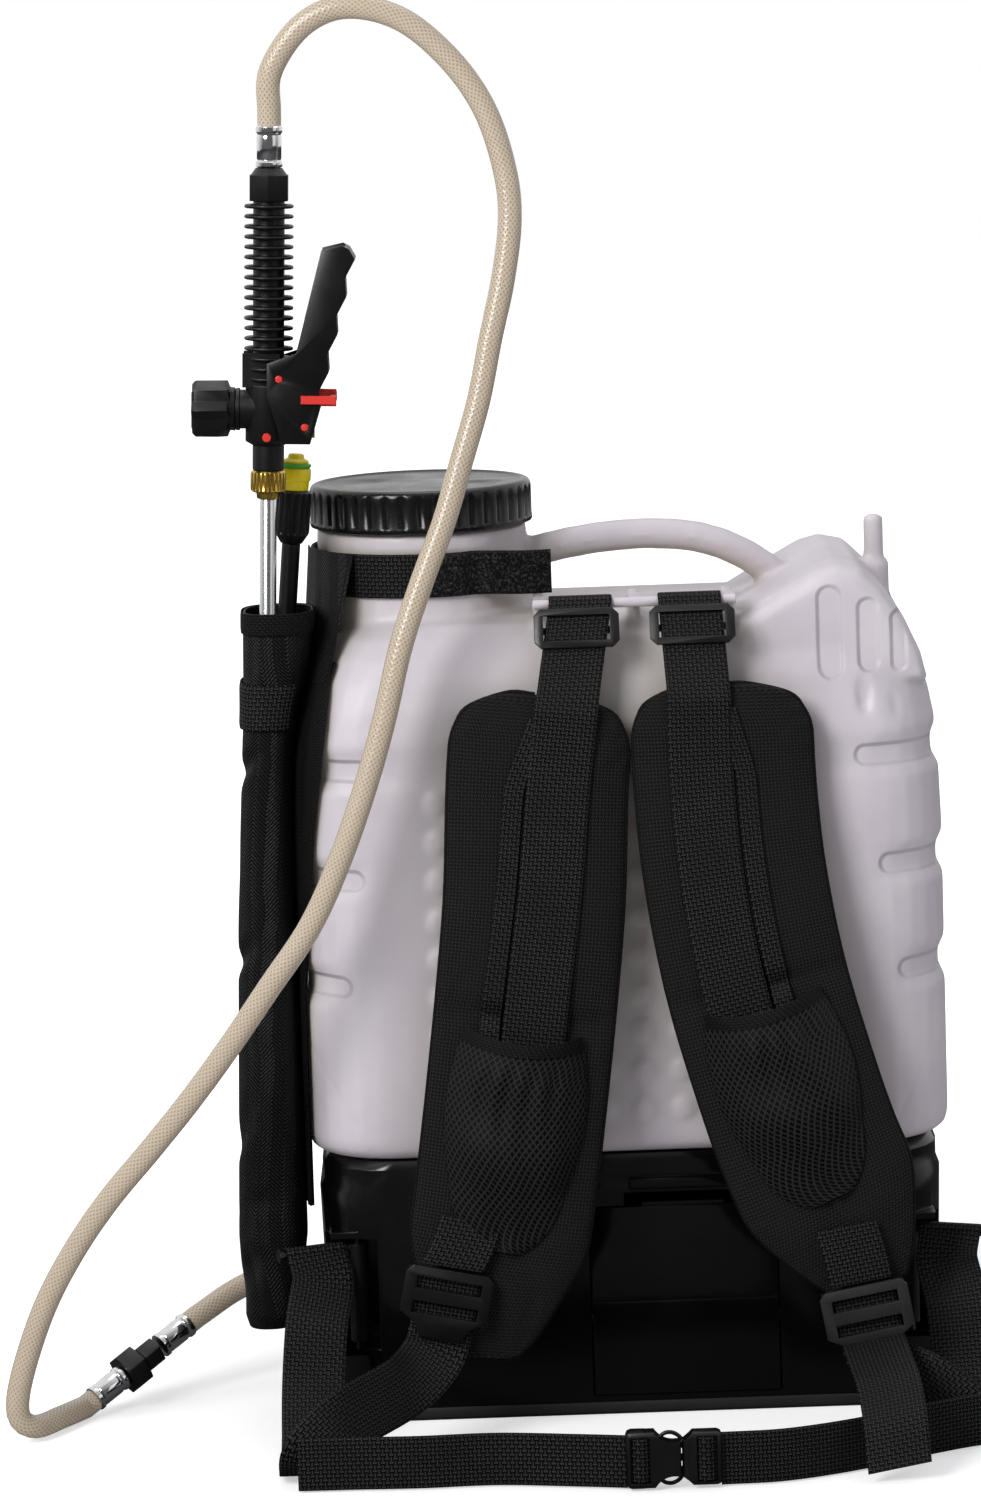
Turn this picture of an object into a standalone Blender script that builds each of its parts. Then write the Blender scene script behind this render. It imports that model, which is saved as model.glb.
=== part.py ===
"""Backpack sprayer: a translucent tank on a battery base, with harness, wand holster, trigger gun and hose.

Metres, +Z up, +X to the right as the wearer's side is seen, -Y towards the wearer.
The origin is the middle of the base's underside.
"""

import math

import bmesh
import bpy
import numpy as np
from mathutils import Vector

# Driving dimensions, in metres and degrees.
GAP = 0.0003
CUT = 0.010

# Base
BASE_WIDTH = 0.374
BASE_DEPTH = 0.205
BASE_HEIGHT = 0.160
BASE_CORNER = 0.042
BASE_WALL = 0.004
BASE_EDGE = 0.005
BASE_DRAFT = 0.003
BASE_STEP = 0.002
BASE_STEP_DROP = 0.016
RIDGE_SIZE = (0.064, 0.006, 0.007)
RIDGE_RISE = 0.0065
RIDGE_BEVEL = 0.0015
NICHE_WALL = 0.004
NICHE_INSET = 0.006
PLATE_THICKNESS = 0.008
COVER_WIDTH = 0.113
COVER_HEIGHT = 0.117
COVER_CENTRE_X = 0.030
COVER_SILL = 0.012
COVER_CLEARANCE = 0.0008
COVER_DEPTH = 0.009
COVER_HINGE = 0.0020
COVER_LINE = 0.0016
LATCH_RISE = 0.002
LATCH_WIDTH = 0.049
FINGER_SLOT_WIDTH = 0.070
FINGER_SLOT_HEIGHT = 0.007
PIN_RADIUS = 0.003
PIN_INSET_X = 0.022
PIN_INSET_Y = 0.013
PIN_NICHE_LOW = 0.045
PIN_NICHE_HEIGHT = 0.068
PIN_NICHE_SIZE = 0.034
BATTERY_SIZE = (0.098, 0.064, 0.094)
MOTOR_RADIUS = 0.019
MOTOR_LENGTH = 0.062
PUMP_SIZE = (0.052, 0.034, 0.050)
PUMP_X = -0.098
PUMP_Y = 0.040
BLOCK_BEVEL = 0.003
LINE_RADIUS = 0.006
LINE_BORE = 0.004
OUTLET_TAIL = 0.012
OUTLET_FLANGE = 0.006
OUTLET_FLANGE_THICKNESS = 0.004
ELBOW_BORE = 0.003
ELBOW_TAIL = 0.014
ELBOW_FLANGE = 0.004
ELBOW_FLANGE_THICKNESS = 0.005
DELIVERY_HEIGHT = 0.030
OUTLET_HEIGHT = 0.072
OUTLET_Y = 0.012
SWITCH_X = 0.105
SWITCH_SIZE = (0.018, 0.012, 0.024)
SWITCH_BACK = 0.0035
SWITCH_DIP = 0.003
SWITCH_TILT = 0.0005
SWITCH_PLAY = 0.94
SOCKET_X = 0.060
PLUG_LENGTH = 0.006
PLUG_HEAD = 0.003
PLUG_HEAD_THICKNESS = 0.0025
SOCKET_RADIUS = 0.0075
CONTROL_HEIGHT = 0.090

# Tank
TANK_WIDTH = 0.386
TANK_DEPTH = 0.210
TANK_CORNER = 0.046
CAVITY_LEVELS = (0.75, 0.45, 0.2)
TANK_WALL = 0.0035
SHOULDER = 0.085
SHOULDER_INSET = 0.040
TAPER = 0.005
TAPER_START = 0.350
FOOT_ROUND = 0.012
LEDGE_HEIGHT = 0.481
GROOVE_DEPTH = 0.004
GROOVE_WIDTH = 0.013
GROOVE_HEIGHTS = (0.267, 0.331, 0.396)
GROOVE_STARTS = (0.164, 0.153, 0.139)
GROOVE_RUN_OUT = 0.012
HUMP_PEAK_X = 0.1315
HUMP_PEAK = 0.026
HUMP_DEPTH = 0.176
HUMP_BEVEL = 0.010
HUMP_REACH = 0.068
HUMP_SIDE = 0.008
HUMP_RIGHT = ((0.0, -0.045), (-0.004, -0.028), (-0.014, -0.006))
HUMP_TOP = ((0.0265, -0.014), (0.015, -0.003), (0.0, 0.0), (-0.012, -0.003), (-0.036, -0.016))
HUMP_LEFT = ((0.008, -0.004), (0.002, -0.016), (0.0, -0.045))
FLUTE_HALF_SIZE = (0.0075, 0.008, 0.030)
FLUTE_XS = (0.122, 0.146, 0.166)
FLUTE_HEIGHT = 0.452
FLUTE_SINK = 0.002
FLUTE_STEP_BACK = 0.003
FLUTE_STEP_DOWN = 0.004
NECK_X = -0.112
NECK_RADIUS = 0.063
NECK_THREAD_RADIUS = 0.0575
NECK_BORE = 0.0525
NECK_SHOULDER = 0.530
NECK_RIM = 0.5475
NECK_SINK = 0.040
NECK_FLARE = 0.004
NECK_FLARE_TOP = 0.010
NECK_BEAD = (0.028, 0.032, 0.036)
NECK_BEAD_DEPTH = 0.0018
HANDLE_RADIUS = 0.0097
HANDLE_TOP = 0.5295
HANDLE_ARCH = ((-0.070, 0.018), (-0.045, 0.0085), (-0.010, 0.002), (0.025, 0.0), (0.058, 0.004), (0.085, 0.016),
               (0.105, 0.032), (0.118, 0.046))
RAIL_RADIUS = 0.003
RAIL_Y = -0.094
RAIL_RISE = 0.0095
RAIL_POST_XS = (-0.0435, 0.0125, 0.0680)
RAIL_OVERHANG = 0.004
RAIL_ARM = (0.007, 0.044, 0.0055)
RAIL_LEG = (0.030, 0.020)
RAIL_LEG_Y = -0.062
POST_X = 0.160
POST_TOP = 0.527
POST_RADIUS = 0.006
POST_SINK = 0.010
POST_COLLAR = 0.003
POST_COLLAR_DROP = 0.028
POST_TIP = 0.0015
OUTLET_SPIGOT_RADIUS = 0.008

# Filler
CAP_RADIUS = 0.067
CAP_HEIGHT = 0.0255
CAP_TOP_THICKNESS = 0.0045
CAP_FLUTES = 40
CAP_FLUTE_DEPTH = 0.0016
STRAINER_FLANGE = 0.0014
STRAINER_DEPTH = 0.070
STRAINER_PLAY = 0.0008
STRAINER_WALL = 0.0016
STRAINER_TAPER = 0.008
STRAINER_COLLAR = 0.010
FLANGE_INSET = 0.0005
CAP_EDGE = 0.003
CAP_PLAY = 0.0009
DENT_RADIUS = 0.013
DENT_DEPTH = 0.0015
DENT_PLACE = (0.034, -0.014)
VENT_HEAD = 0.009
VENT_HEAD_THICKNESS = 0.0015
VENT_SINK = 0.001
GASKET_THICKNESS = 0.002
VENT_RADIUS = 0.0028

# Side that the holster hangs on
BASE_SIDE = BASE_WIDTH / 2
SIDE_X = -max(TANK_WIDTH, BASE_WIDTH) / 2
SIDE_FRONT = -max(TANK_DEPTH, BASE_DEPTH) / 2

# Wand group: a local frame whose Z runs up the lance from the holster's floor
WAND_REACH = 0.0295
WAND_FOOT = (SIDE_X - WAND_REACH, -0.076, 0.055)
WAND_TILT = 2.5
LANCE_RADIUS = 0.005
LANCE_TOP = 0.519
LANCE_FOOT = 0.024
LANCE_NUT_RADIUS = 0.0105
LANCE_NUT_HEIGHT = 0.0125
LANCE_BORE = 0.004
LANCE_NUT_TAIL = 0.004
LANCE_NUT_TAIL_WALL = 0.001
LANCE_NUT_SHOULDER = 0.003
LANCE_NUT_EDGE = 0.001
JET_BORE = 0.0008
JET_FACE = 0.003
JET_RADIUS = 0.0075
JET_LENGTH = 0.020
JET_CONE = 0.008
BODY_RADIUS = 0.0135
BODY_LOW = 0.5365
BODY_HIGH = 0.570
GRIP_TOP = 0.6765
GRIP_CORE_RADIUS = 0.009
RIB_RADIUS = 0.0145
RIB_COUNT = 18
RIB_SHARE = 0.4
RIB_FIRST = 0.3
RIB_SLOPE = 0.0003
SPIGOT_RADIUS = 0.0093
SPIGOT_SLOPE = 0.002
GUN_BORE = 0.0032
HOSE_NUT_HEIGHT = 0.0190
HOSE_NUT_RADIUS = 0.0128
HOSE_NUT_CONE = 0.004
HOSE_NUT_LAP = 0.001
HOSE_NUT_STEP = 0.0015
FERRULE_RADIUS = 0.0078
FERRULE_LENGTH = 0.0240
FERRULE_RING = 0.003
FERRULE_RING_SLOPE = 0.001
FERRULE_WAIST = 0.0008
VALVE_AXIS = 0.555
BRANCH_RADIUS = 0.0115
BRANCH_LENGTH = 0.0190
CHAMBER_RADIUS = 0.0070
CHAMBER_END = 0.0060
VALVE_CAP_RADIUS = 0.0168
VALVE_CAP_LENGTH = 0.0255
VALVE_CAP_FLUTES = 8
VALVE_CAP_COLLAR = 0.004
VALVE_CAP_COLLAR_LENGTH = 0.009
VALVE_CAP_SLOPE = 0.0015
VALVE_CAP_EDGE = 0.002
VALVE_CAP_GROOVE = 0.0035
VALVE_CAP_RIM = 0.007
VALVE_CAP_DISH = 0.002
STEM_RADIUS = 0.0025
STEM_HEAD_RADIUS = 0.0064
STEM_HEAD_LEFT = -0.0100
STEM_HEAD_LENGTH = 0.0040
STEM_END = 0.0142
STEM_LAP = 0.0003
TONGUE_END = 0.0055
TONGUE_THICKNESS = 0.003
TONGUE_DROP = 0.0075
TONGUE_RISE = 0.0004
LINK_PLAY = 0.0006
SPRING_WIRE = 0.0005
SPRING_RADIUS = 0.0047
SPRING_TURNS = 4
PIVOT_X = 0.0065
PIVOT_Z = 0.574
LINK_X = 0.0217
LINK_Z = 0.546
LINK_LIFT = 0.0040
TRIGGER_PIN_RADIUS = 0.0022
LEVER_TOP = 0.652
LEVER_BACK = ((0.031, 0.649), (0.0165, 0.589), (-0.0005, 0.583))
LEVER_EDGE_LOW = (0.0290, 0.556)
LEVER_EDGE_HIGH = (0.0490, 0.644)
LEVER_TIP = ((0.047, 0.650), (0.043, LEVER_TOP))
LEVER_TOE = 0.010
LEVER_HEEL_X = 0.0085
LEVER_TOE_X = 0.025
LEVER_WAVES = 4
LEVER_WAVE = 0.0016
LEVER_STEPS = 16
LEVER_WIDTH = 0.0330
LEVER_CHEEK = 0.0016
LEVER_WEB = 0.0045
LOCK_LEFT = 0.0205
LOCK_SIZE = (0.018, 0.0060, 0.0105)
LOCK_Z = 0.5622
LOCK_WINDOW = (0.0052, 0.020, 0.0038)
LOCK_WINDOW_SHIFT = 0.0030
PIN_PROUD = 0.001

# Spare lance
SPARE_INSET = 0.009
SPARE_TOP = (SIDE_X + SPARE_INSET, -0.048, 0.580)
SPARE_TILT = 5.6
SPARE_LENGTH = 0.415
SPARE_RADIUS = 0.0055
COLLAR_RADIUS = 0.0105
COLLAR_LENGTH = 0.0255
COLLAR_RIBS = 14
NOZZLE_RADIUS = 0.0092
NOZZLE_LENGTH = 0.0215
NOZZLE_TIP = ((0.0, 0.0110), (0.0022, 0.0104), (0.0022, 0.0076), (0.0010, 0.0070), (0.0025, 0.0030), (0.0057, 0.0022),
              (0.0062, 0.0))
COLLAR_TAIL = 0.006
COLLAR_TAIL_WALL = 0.001
COLLAR_GROOVE = 0.0012
COLLAR_EDGE = 0.001
COLLAR_ROUND = 0.0015

# Holster
BAG_MOUTH = 0.489
BAG_HEIGHTS = (0.055, 0.062, 0.110, 0.300, 0.400, 0.430, 0.460, BAG_MOUTH)
BAG_OUTER = (0.0400, 0.0420, 0.0440, 0.0365, 0.0302, 0.0280, 0.0270, 0.0260)
BAG_INNER = (0.0130, 0.0090, 0.0025, 0.0015, -0.0005, -0.0045, -0.0130, -0.0160)
BAG_FOOT_DRAW = (0.012, 0.004, 0.0)
BAG_SIDES = 20
BAG_SQUARENESS = 0.75
BAG_WALL = 0.0015
BAG_FLOOR = 0.0035
BAG_DEPTH = 0.051
BAG_CENTRE_Y = -0.062
FLAP_LIFT = 0.0018
FLAP_BACK = 0.020
FLAP_STEPS = 4
FLAP_HEIGHTS = (0.130, 0.240, 0.350, 0.400, 0.420, 0.435, 0.448, 0.458)
FLAP_EDGE_HEIGHTS = (0.110, 0.260, 0.356, 0.406, 0.448, 0.470)
FLAP_EDGE_REACHES = (0.0040, 0.0050, 0.0130, 0.0200, 0.0260, 0.0350)
NECK_STRAP_WIDTH = 0.026
NECK_STRAP_PLAY = 0.0035
NECK_STRAP_RISE = 0.0046
NECK_STRAP_END = ((0.0765, -0.062), (0.060, -0.064))
NECK_STRAP_SWEEP = (300, 100, -10)
WRAP_STRAP_SPAN = (5, 18)
WRAP_STRAP_WIDTH = 0.027
WRAP_STRAP_HEIGHT = 0.434

# Harness
PAD_WIDTH = 0.105
PAD_THICKNESS = 0.017
PAD_SEAM_DRAW = 0.30
PAD_SEAM = 0.48
PAD_SEAM_WIDTH = 0.018
PAD_ROUND = 0.085
PAD_END_WIDTH = 0.40
PAD_END_THICKNESS = 0.35
PAD_TAPER_START = 0.8
PAD_TAPER = 0.45
PAD_CROWN = 3.2
PAD_SIDES = 16
PAD_SHARES = (0.0, 0.01, 0.025, 0.05, 0.10, 0.15, 0.20, 0.25, 0.30, 0.35, 0.40, 0.45, 0.46, 0.48, 0.50, 0.52, 0.55,
              0.60, 0.65, 0.70, 0.75, 0.80, 0.85, 0.90, 0.95, 0.975, 0.99, 1.0)
WEBBING_WIDTH = 0.037
WEBBING_THICKNESS = 0.0016
POCKET_WIDTH = 0.080
POCKET_BULGE = 0.014
POCKET_WALL = 0.0012
POCKET_TOP = 0.50
POCKET_END = 0.83
POCKET_ROWS = 8
POCKET_HALF_COLUMNS = 3
POCKET_FILL_END = 0.55
POCKET_NARROWS = 0.35
POCKET_SLACK = 0.12
POCKET_FLAT = 0.015
GLIDE_SIZE = (0.050, 0.0240)
GLIDE_BAR = 0.0042
GLIDE_RAIL = 0.0022
GLIDE_CORNER = 0.004
GLIDE_CHEEK = 0.0042
GLIDE_CHEEK_EXTRA = 0.001
GLIDE_CHEEK_STEP = 0.0004
BAR_THICKNESS = 0.002
BAR_INSET = 0.004
SLIDER_PLAY = 0.002
LADDER_SIZE = (0.052, 0.034)
LADDER_TAB = 0.008
LADDER_THICKNESS = 0.003
LADDER_CORNER = 0.004
LADDER_SHOULDER = 0.006
LADDER_TAB_INSETS = (0.010, 0.014)
LADDER_SLOT = 0.0075
LADDER_SLOT_SHIFT = 0.0075
LADDER_BAR = 0.005
LADDER_BAR_DROP = 0.0045
LADDER_CHEEK_STEP = 0.0005
BELT_WIDTH = 0.031
BELT_LIFT = 0.0012
BUCKLE_LENGTH = 0.055
BUCKLE_HEIGHT = 0.034
BUCKLE_THICKNESS = 0.012
BUCKLE_BEVEL = 0.003
SOCKET_SHARE = 0.58
SOCKET_WALLS = (0.006, 0.0025, 0.0045)
SOCKET_WINDOW = (0.014, 0.008, 0.012)
SOCKET_WINDOW_SHARE = 0.55
TONGUE_INSET = 0.001
PRONG_SHARE = 0.7
PRONG_ROOT = 0.004
PRONG_WIDTH = 0.005
PRONG_SPREAD = 0.0085
GUIDE_HEIGHT = 0.003

LEFT_RAIL_X = -0.0195
RIGHT_RAIL_X = 0.0445
LEFT_WEBBING_OFFSETS = (0.0135, 0.006)
RIGHT_WEBBING_OFFSETS = (-0.0135, -0.0135)
WEBBING_PLAY = 0.0008
RAIL_PLAY = 0.0002
RAIL_TURN = (250, 20, -24)
UPPER_START = 0.02
UPPER_STEPS = 19
UPPER_STAY = 0.75
POCKET_TUCK = 0.035
GLIDE_DROP = 0.018
HOOK_HEIGHT = 0.060
HOOK_SLEEVE = 0.003
HOOK_REACH = 0.050
HOOK_ARM_RADIUS = 0.0025
HOOK_SWEEP = 20.0
HOOK_STOP = 0.0025
HOOK_STOP_RISE = 0.002
HOOK_LAP = 0.0015
ARM_TURN = (240, 1, -24)
ARM_DROP = (0.008, 0.016)

# Hose
HOSE_RADIUS = 0.0070
COUPLING_RADIUS = 0.0135
COUPLING_STEP = 0.0035
COUPLING_EDGE = 0.002
COUPLING_LENGTH = 0.030
COUPLING_MIDDLE = (-0.301, -0.044, 0.0275)
COUPLING_HEADING = (0.715, 0.55, 0.43)
OUTLET_STUB = 0.012

# Routes of the soft pieces, chosen by hand from the photo
LEFT_PAD_ROUTE = [(-0.043, -0.1150, 0.440), (-0.0485, -0.1200, 0.389), (-0.0525, -0.1300, 0.322),
                  (-0.060, -0.1390, 0.258), (-0.0695, -0.1450, 0.189), (-0.077, -0.1480, 0.140),
                  (-0.084, -0.1500, 0.100), (-0.089, -0.1500, 0.052)]
RIGHT_PAD_ROUTE = [(0.061, -0.1150, 0.443), (0.061, -0.1200, 0.392), (0.0650, -0.1300, 0.334),
                   (0.075, -0.1390, 0.273), (0.090, -0.1460, 0.216), (0.1045, -0.1500, 0.170),
                   (0.120, -0.1530, 0.134), (0.142, -0.1550, 0.086)]
LEFT_LOCK = (-0.112, -0.1623, 0.093)
LEFT_LOCK_ACROSS = (0.978, 0.0, -0.208)
LEFT_LOCK_ALONG = (-0.208, 0.0, -0.978)
RIGHT_LOCK = (0.134, -0.1655, 0.076)
RIGHT_LOCK_ACROSS = (0.985, 0.0, 0.174)
RIGHT_LOCK_ALONG = (0.174, 0.0, -0.985)
LEFT_LOWER = [((-BASE_SIDE - 0.0030, -0.1280, 0.070), (1.0, 0.1, 0.0)),
              ((-BASE_SIDE - 0.0060, -0.1430, 0.035), (1.0, 0.0, 0.0)),
              ((-BASE_SIDE - 0.0065, -0.1640, 0.008), (1.0, 0.0, 0.0)),
              ((-BASE_SIDE - 0.0065, -0.1900, 0.004), (1.0, 0.0, 0.0)),
              ((-BASE_SIDE - 0.0060, -0.2200, 0.006), (1.0, 0.0, 0.0)),
              ((-BASE_SIDE - 0.0030, -0.2350, 0.022), (0.95, 0.0, -0.3)),
              ((-0.1700, -0.2220, 0.038), (0.6, 0.1, -0.8)), ((-0.1380, -0.1840, 0.046), (0.6, 0.2, -0.7)),
              ((-0.1220, -0.1660, 0.058), (0.9, 0.0, -0.3)), ((-0.1165, LEFT_LOCK[1], 0.072), LEFT_LOCK_ACROSS),
              (LEFT_LOCK, LEFT_LOCK_ACROSS), ((-0.1092, LEFT_LOCK[1], 0.106), LEFT_LOCK_ACROSS)]
RIGHT_LOWER = [((BASE_SIDE + 0.0030, -0.1250, 0.070), (1.0, 0.0, 0.0)),
               ((BASE_SIDE + 0.0050, -0.1380, 0.035), (1.0, 0.0, 0.0)),
               ((BASE_SIDE + 0.0050, -0.1560, 0.008), (1.0, 0.0, 0.0)),
               ((BASE_SIDE + 0.0030, -0.1780, 0.006), (1.0, 0.0, 0.0)),
               ((BASE_SIDE - 0.0020, -0.1880, 0.020), (0.9, 0.0, 0.3)), ((0.1650, -0.1800, 0.036), (0.6, 0.0, 0.8)),
               ((0.1450, -0.1680, 0.042), (0.85, 0.0, 0.5)), ((0.1377, RIGHT_LOCK[1], 0.055), RIGHT_LOCK_ACROSS),
               (RIGHT_LOCK, RIGHT_LOCK_ACROSS), ((0.1319, RIGHT_LOCK[1], 0.088), RIGHT_LOCK_ACROSS)]
TAIL_ROUTE = [(0.1370, RIGHT_LOCK[1] - 0.0051, 0.060), (0.1390, -0.2000, 0.055), (0.1410, -0.2250, 0.050),
              (0.1425, -0.2470, 0.036), (0.1440, -0.2580, 0.009)]
BUCKLE_LEFT = (-0.012, -0.252)
LEFT_BELT = [(-BASE_SIDE - 0.0130, -0.2365), (-0.1700, -0.2372), (-0.1300, -0.2390), (-0.0850, -0.2380),
             (-0.0400, -0.2460), (-0.0125, -0.2520)]
RIGHT_BELT = [(0.0435, -0.2520), (0.0800, -0.2490), (0.1220, -0.2330), (0.1650, -0.2080), (0.1900, -0.1952),
              (BASE_SIDE + 0.0180, -0.1900)]
HOSE_ROUTE = [(-0.1890, -0.0765, 0.8060), (-0.1700, -0.0775, 0.8315), (-0.1440, -0.0790, 0.8415),
              (-0.1125, -0.0810, 0.8335), (-0.0848, -0.0840, 0.8095), (-0.0655, -0.0880, 0.7800),
              (-0.0552, -0.0920, 0.7455), (-0.0532, -0.0960, 0.7165), (-0.0585, -0.1010, 0.6820),
              (-0.0670, -0.1060, 0.6480), (-0.0750, -0.1110, 0.6135), (-0.0860, -0.1170, 0.5795),
              (-0.0970, -0.1230, 0.5460), (-0.1130, -0.1300, 0.5070), (-0.1255, -0.1360, 0.4725),
              (-0.1360, -0.1410, 0.4330), (-0.1490, -0.1450, 0.3925), (-0.1648, -0.1480, 0.3520),
              (-0.1835, -0.1490, 0.3140), (-0.2085, -0.1490, 0.2790), (-0.2335, -0.1470, 0.2440),
              (-0.2580, -0.1440, 0.2120), (-0.2830, -0.1400, 0.1820), (-0.3085, -0.1360, 0.1525),
              (-0.3310, -0.1310, 0.1210), (-0.3510, -0.1260, 0.0850), (-0.3665, -0.1230, 0.0430),
              (-0.3700, -0.1210, 0.0190), (-0.3610, -0.1150, 0.0095), (-0.3460, -0.0920, 0.0085)]
TAIL_HOSE_ROUTE = [(-0.2420, -0.0010, 0.0600)]


# Scene and materials

for old in list(bpy.data.objects):
    bpy.data.objects.remove(old, do_unlink=True)

PARTS = bpy.data.collections.new("backpack_sprayer")
TOOLS = bpy.data.collections.new("cutters")
bpy.context.scene.collection.children.link(PARTS)
bpy.context.scene.collection.children.link(TOOLS)


def material(name, color, roughness, metallic=0.0):
    """A Principled material from an sRGB hex colour."""
    made = bpy.data.materials.new(name)
    made.use_nodes = True
    shader = made.node_tree.nodes["Principled BSDF"]
    channels = [int(color[i:i + 2], 16) / 255 for i in (0, 2, 4)]
    linear = [c / 12.92 if c <= 0.04045 else ((c + 0.055) / 1.055) ** 2.4 for c in channels]
    shader.inputs["Base Color"].default_value = (*linear, 1.0)
    shader.inputs["Roughness"].default_value = roughness
    shader.inputs["Metallic"].default_value = metallic
    made.diffuse_color = (*linear, 1.0)
    return made


TANK_PLASTIC = material("milky_polyethylene", "dcdae4", 0.45)
BLACK_PLASTIC = material("black_gloss_plastic", "17171a", 0.25)
MATTE_PLASTIC = material("black_matte_plastic", "1d1d1f", 0.55)
FABRIC = material("black_nylon", "1b1b1d", 0.85)
MESH_FABRIC = material("black_mesh", "26262a", 0.9)
RUBBER = material("black_rubber", "202022", 0.8)
RED_PLASTIC = material("red_plastic", "d01f1c", 0.4)
YELLOW_PLASTIC = material("yellow_plastic", "f0c419", 0.4)
BRASS = material("brass", "c9a24b", 0.3, 1.0)
STEEL = material("stainless_steel", "c4c6c8", 0.25, 1.0)
CHROME = material("chrome", "d8d9db", 0.12, 1.0)
HOSE_PVC = material("braided_pvc", "e6e0cf", 0.35)


# Modelling helpers

def keep(obj, finish, parent=None):
    """Put a finished piece in the parts collection with its material."""
    for holder in list(obj.users_collection):
        holder.objects.unlink(obj)
    PARTS.objects.link(obj)
    obj.data.materials.clear()
    obj.data.materials.append(finish)
    obj.parent = parent
    return obj


def tool(obj, parent=None):
    """Put a Boolean operand in its own collection, out of the render."""
    for holder in list(obj.users_collection):
        holder.objects.unlink(obj)
    TOOLS.objects.link(obj)
    obj.hide_render = True
    obj.display_type = "WIRE"
    obj.parent = parent
    return obj


def empty(name, location, tilt=0.0):
    """An empty that carries a group, turned about Y by a tilt in degrees."""
    made = bpy.data.objects.new(name, None)
    made.location = location
    made.rotation_euler = (0, math.radians(tilt), 0)
    PARTS.objects.link(made)
    return made


def from_bmesh(name, bm):
    """An object from a bmesh whose faces look outwards."""
    bmesh.ops.recalc_face_normals(bm, faces=bm.faces)
    mesh = bpy.data.meshes.new(name)
    bm.to_mesh(mesh)
    bm.free()
    made = bpy.data.objects.new(name, mesh)
    bpy.context.scene.collection.objects.link(made)
    return made


def rounded(obj, width, segments=2):
    """Round an object's sharp edges."""
    bevel = obj.modifiers.new("round", "BEVEL")
    bevel.width = width
    bevel.segments = segments
    bevel.limit_method = "ANGLE"
    return obj


def box(name, size, centre, bevel=0.0, segments=2):
    """A box of a size about a centre, with rounded edges if a bevel is given."""
    bm = bmesh.new()
    bmesh.ops.create_cube(bm, size=1.0)
    bmesh.ops.scale(bm, vec=size, verts=bm.verts)
    made = from_bmesh(name, bm)
    made.location = centre
    if bevel > 0:
        rounded(made, bevel, segments)
    return made


def rod(name, radius, length, centre, axis="Z", sides=16, tip_radius=None):
    """A cylinder or cone frustum about a centre, along an axis."""
    bm = bmesh.new()
    end = radius if tip_radius is None else tip_radius
    bmesh.ops.create_cone(bm, cap_ends=True, segments=sides, radius1=radius, radius2=end, depth=length)
    made = from_bmesh(name, bm)
    made.location = centre
    turn = {"X": (0, math.pi / 2, 0), "Y": (math.pi / 2, 0, 0), "Z": (0, 0, 0)}
    made.rotation_euler = turn[axis]
    return made


def signed_volume(obj):
    """Volume of the evaluated mesh, negative where its faces look inwards."""
    graph = bpy.context.evaluated_depsgraph_get()
    graph.update()
    shape = obj.evaluated_get(graph)
    mesh = shape.to_mesh()
    mesh.calc_loop_triangles()
    total = 0.0
    for triangle in mesh.loop_triangles:
        a, b, c = (mesh.vertices[i].co for i in triangle.vertices)
        total += a.dot(b.cross(c)) / 6.0
    shape.to_mesh_clear()
    return total


def turned(name, profile, steps=24, closed=False):
    """A profile of (radius, height) points turned about Z with a Screw modifier."""
    bm = bmesh.new()
    verts = [bm.verts.new((radius, 0.0, height)) for radius, height in profile]
    for first, second in zip(verts, verts[1:]):
        bm.edges.new((first, second))
    if closed:
        bm.edges.new((verts[-1], verts[0]))
    mesh = bpy.data.meshes.new(name)
    bm.to_mesh(mesh)
    bm.free()
    made = bpy.data.objects.new(name, mesh)
    bpy.context.scene.collection.objects.link(made)
    screw = made.modifiers.new("turn", "SCREW")
    screw.axis = "Z"
    screw.angle = 2 * math.pi
    screw.steps = steps
    screw.render_steps = steps
    screw.use_merge_vertices = True
    screw.merge_threshold = 0.00005
    screw.use_normal_calculate = True
    screw.use_smooth_shade = False
    if signed_volume(made) < 0:
        screw.use_normal_flip = True
    return made


def loft(name, rings):
    """A closed solid through rings of points, each with the same count, capped at both ends."""
    bm = bmesh.new()
    loops = [[bm.verts.new(point) for point in ring] for ring in rings]
    count = len(loops[0])
    for lower, upper in zip(loops, loops[1:]):
        for i in range(count):
            j = (i + 1) % count
            bm.faces.new((lower[i], lower[j], upper[j], upper[i]))
    bm.faces.new(loops[0])
    bm.faces.new(loops[-1])
    return from_bmesh(name, bm)


def sheet(name, rows, thickness):
    """A grid bent through rows of points, then given its thickness by Solidify."""
    bm = bmesh.new()
    down, along = len(rows) - 1, len(rows[0]) - 1
    bmesh.ops.create_grid(bm, x_segments=along, y_segments=down, size=1.0)
    for vert in bm.verts:
        column = round((vert.co.x + 1) / 2 * along)
        row = round((vert.co.y + 1) / 2 * down)
        vert.co = rows[row][column]
    made = from_bmesh(name, bm)
    thick = made.modifiers.new("thickness", "SOLIDIFY")
    thick.thickness = thickness
    thick.offset = 0.0
    thick.use_even_offset = True
    return made


def ribbon(name, centres, across, width, thickness=WEBBING_THICKNESS):
    """A strap along a line of centres, with the direction across it at each."""
    low = [Vector(c) - Vector(a) * width / 2 for c, a in zip(centres, across)]
    high = [Vector(c) + Vector(a) * width / 2 for c, a in zip(centres, across)]
    return sheet(name, [low, high], thickness)


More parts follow.
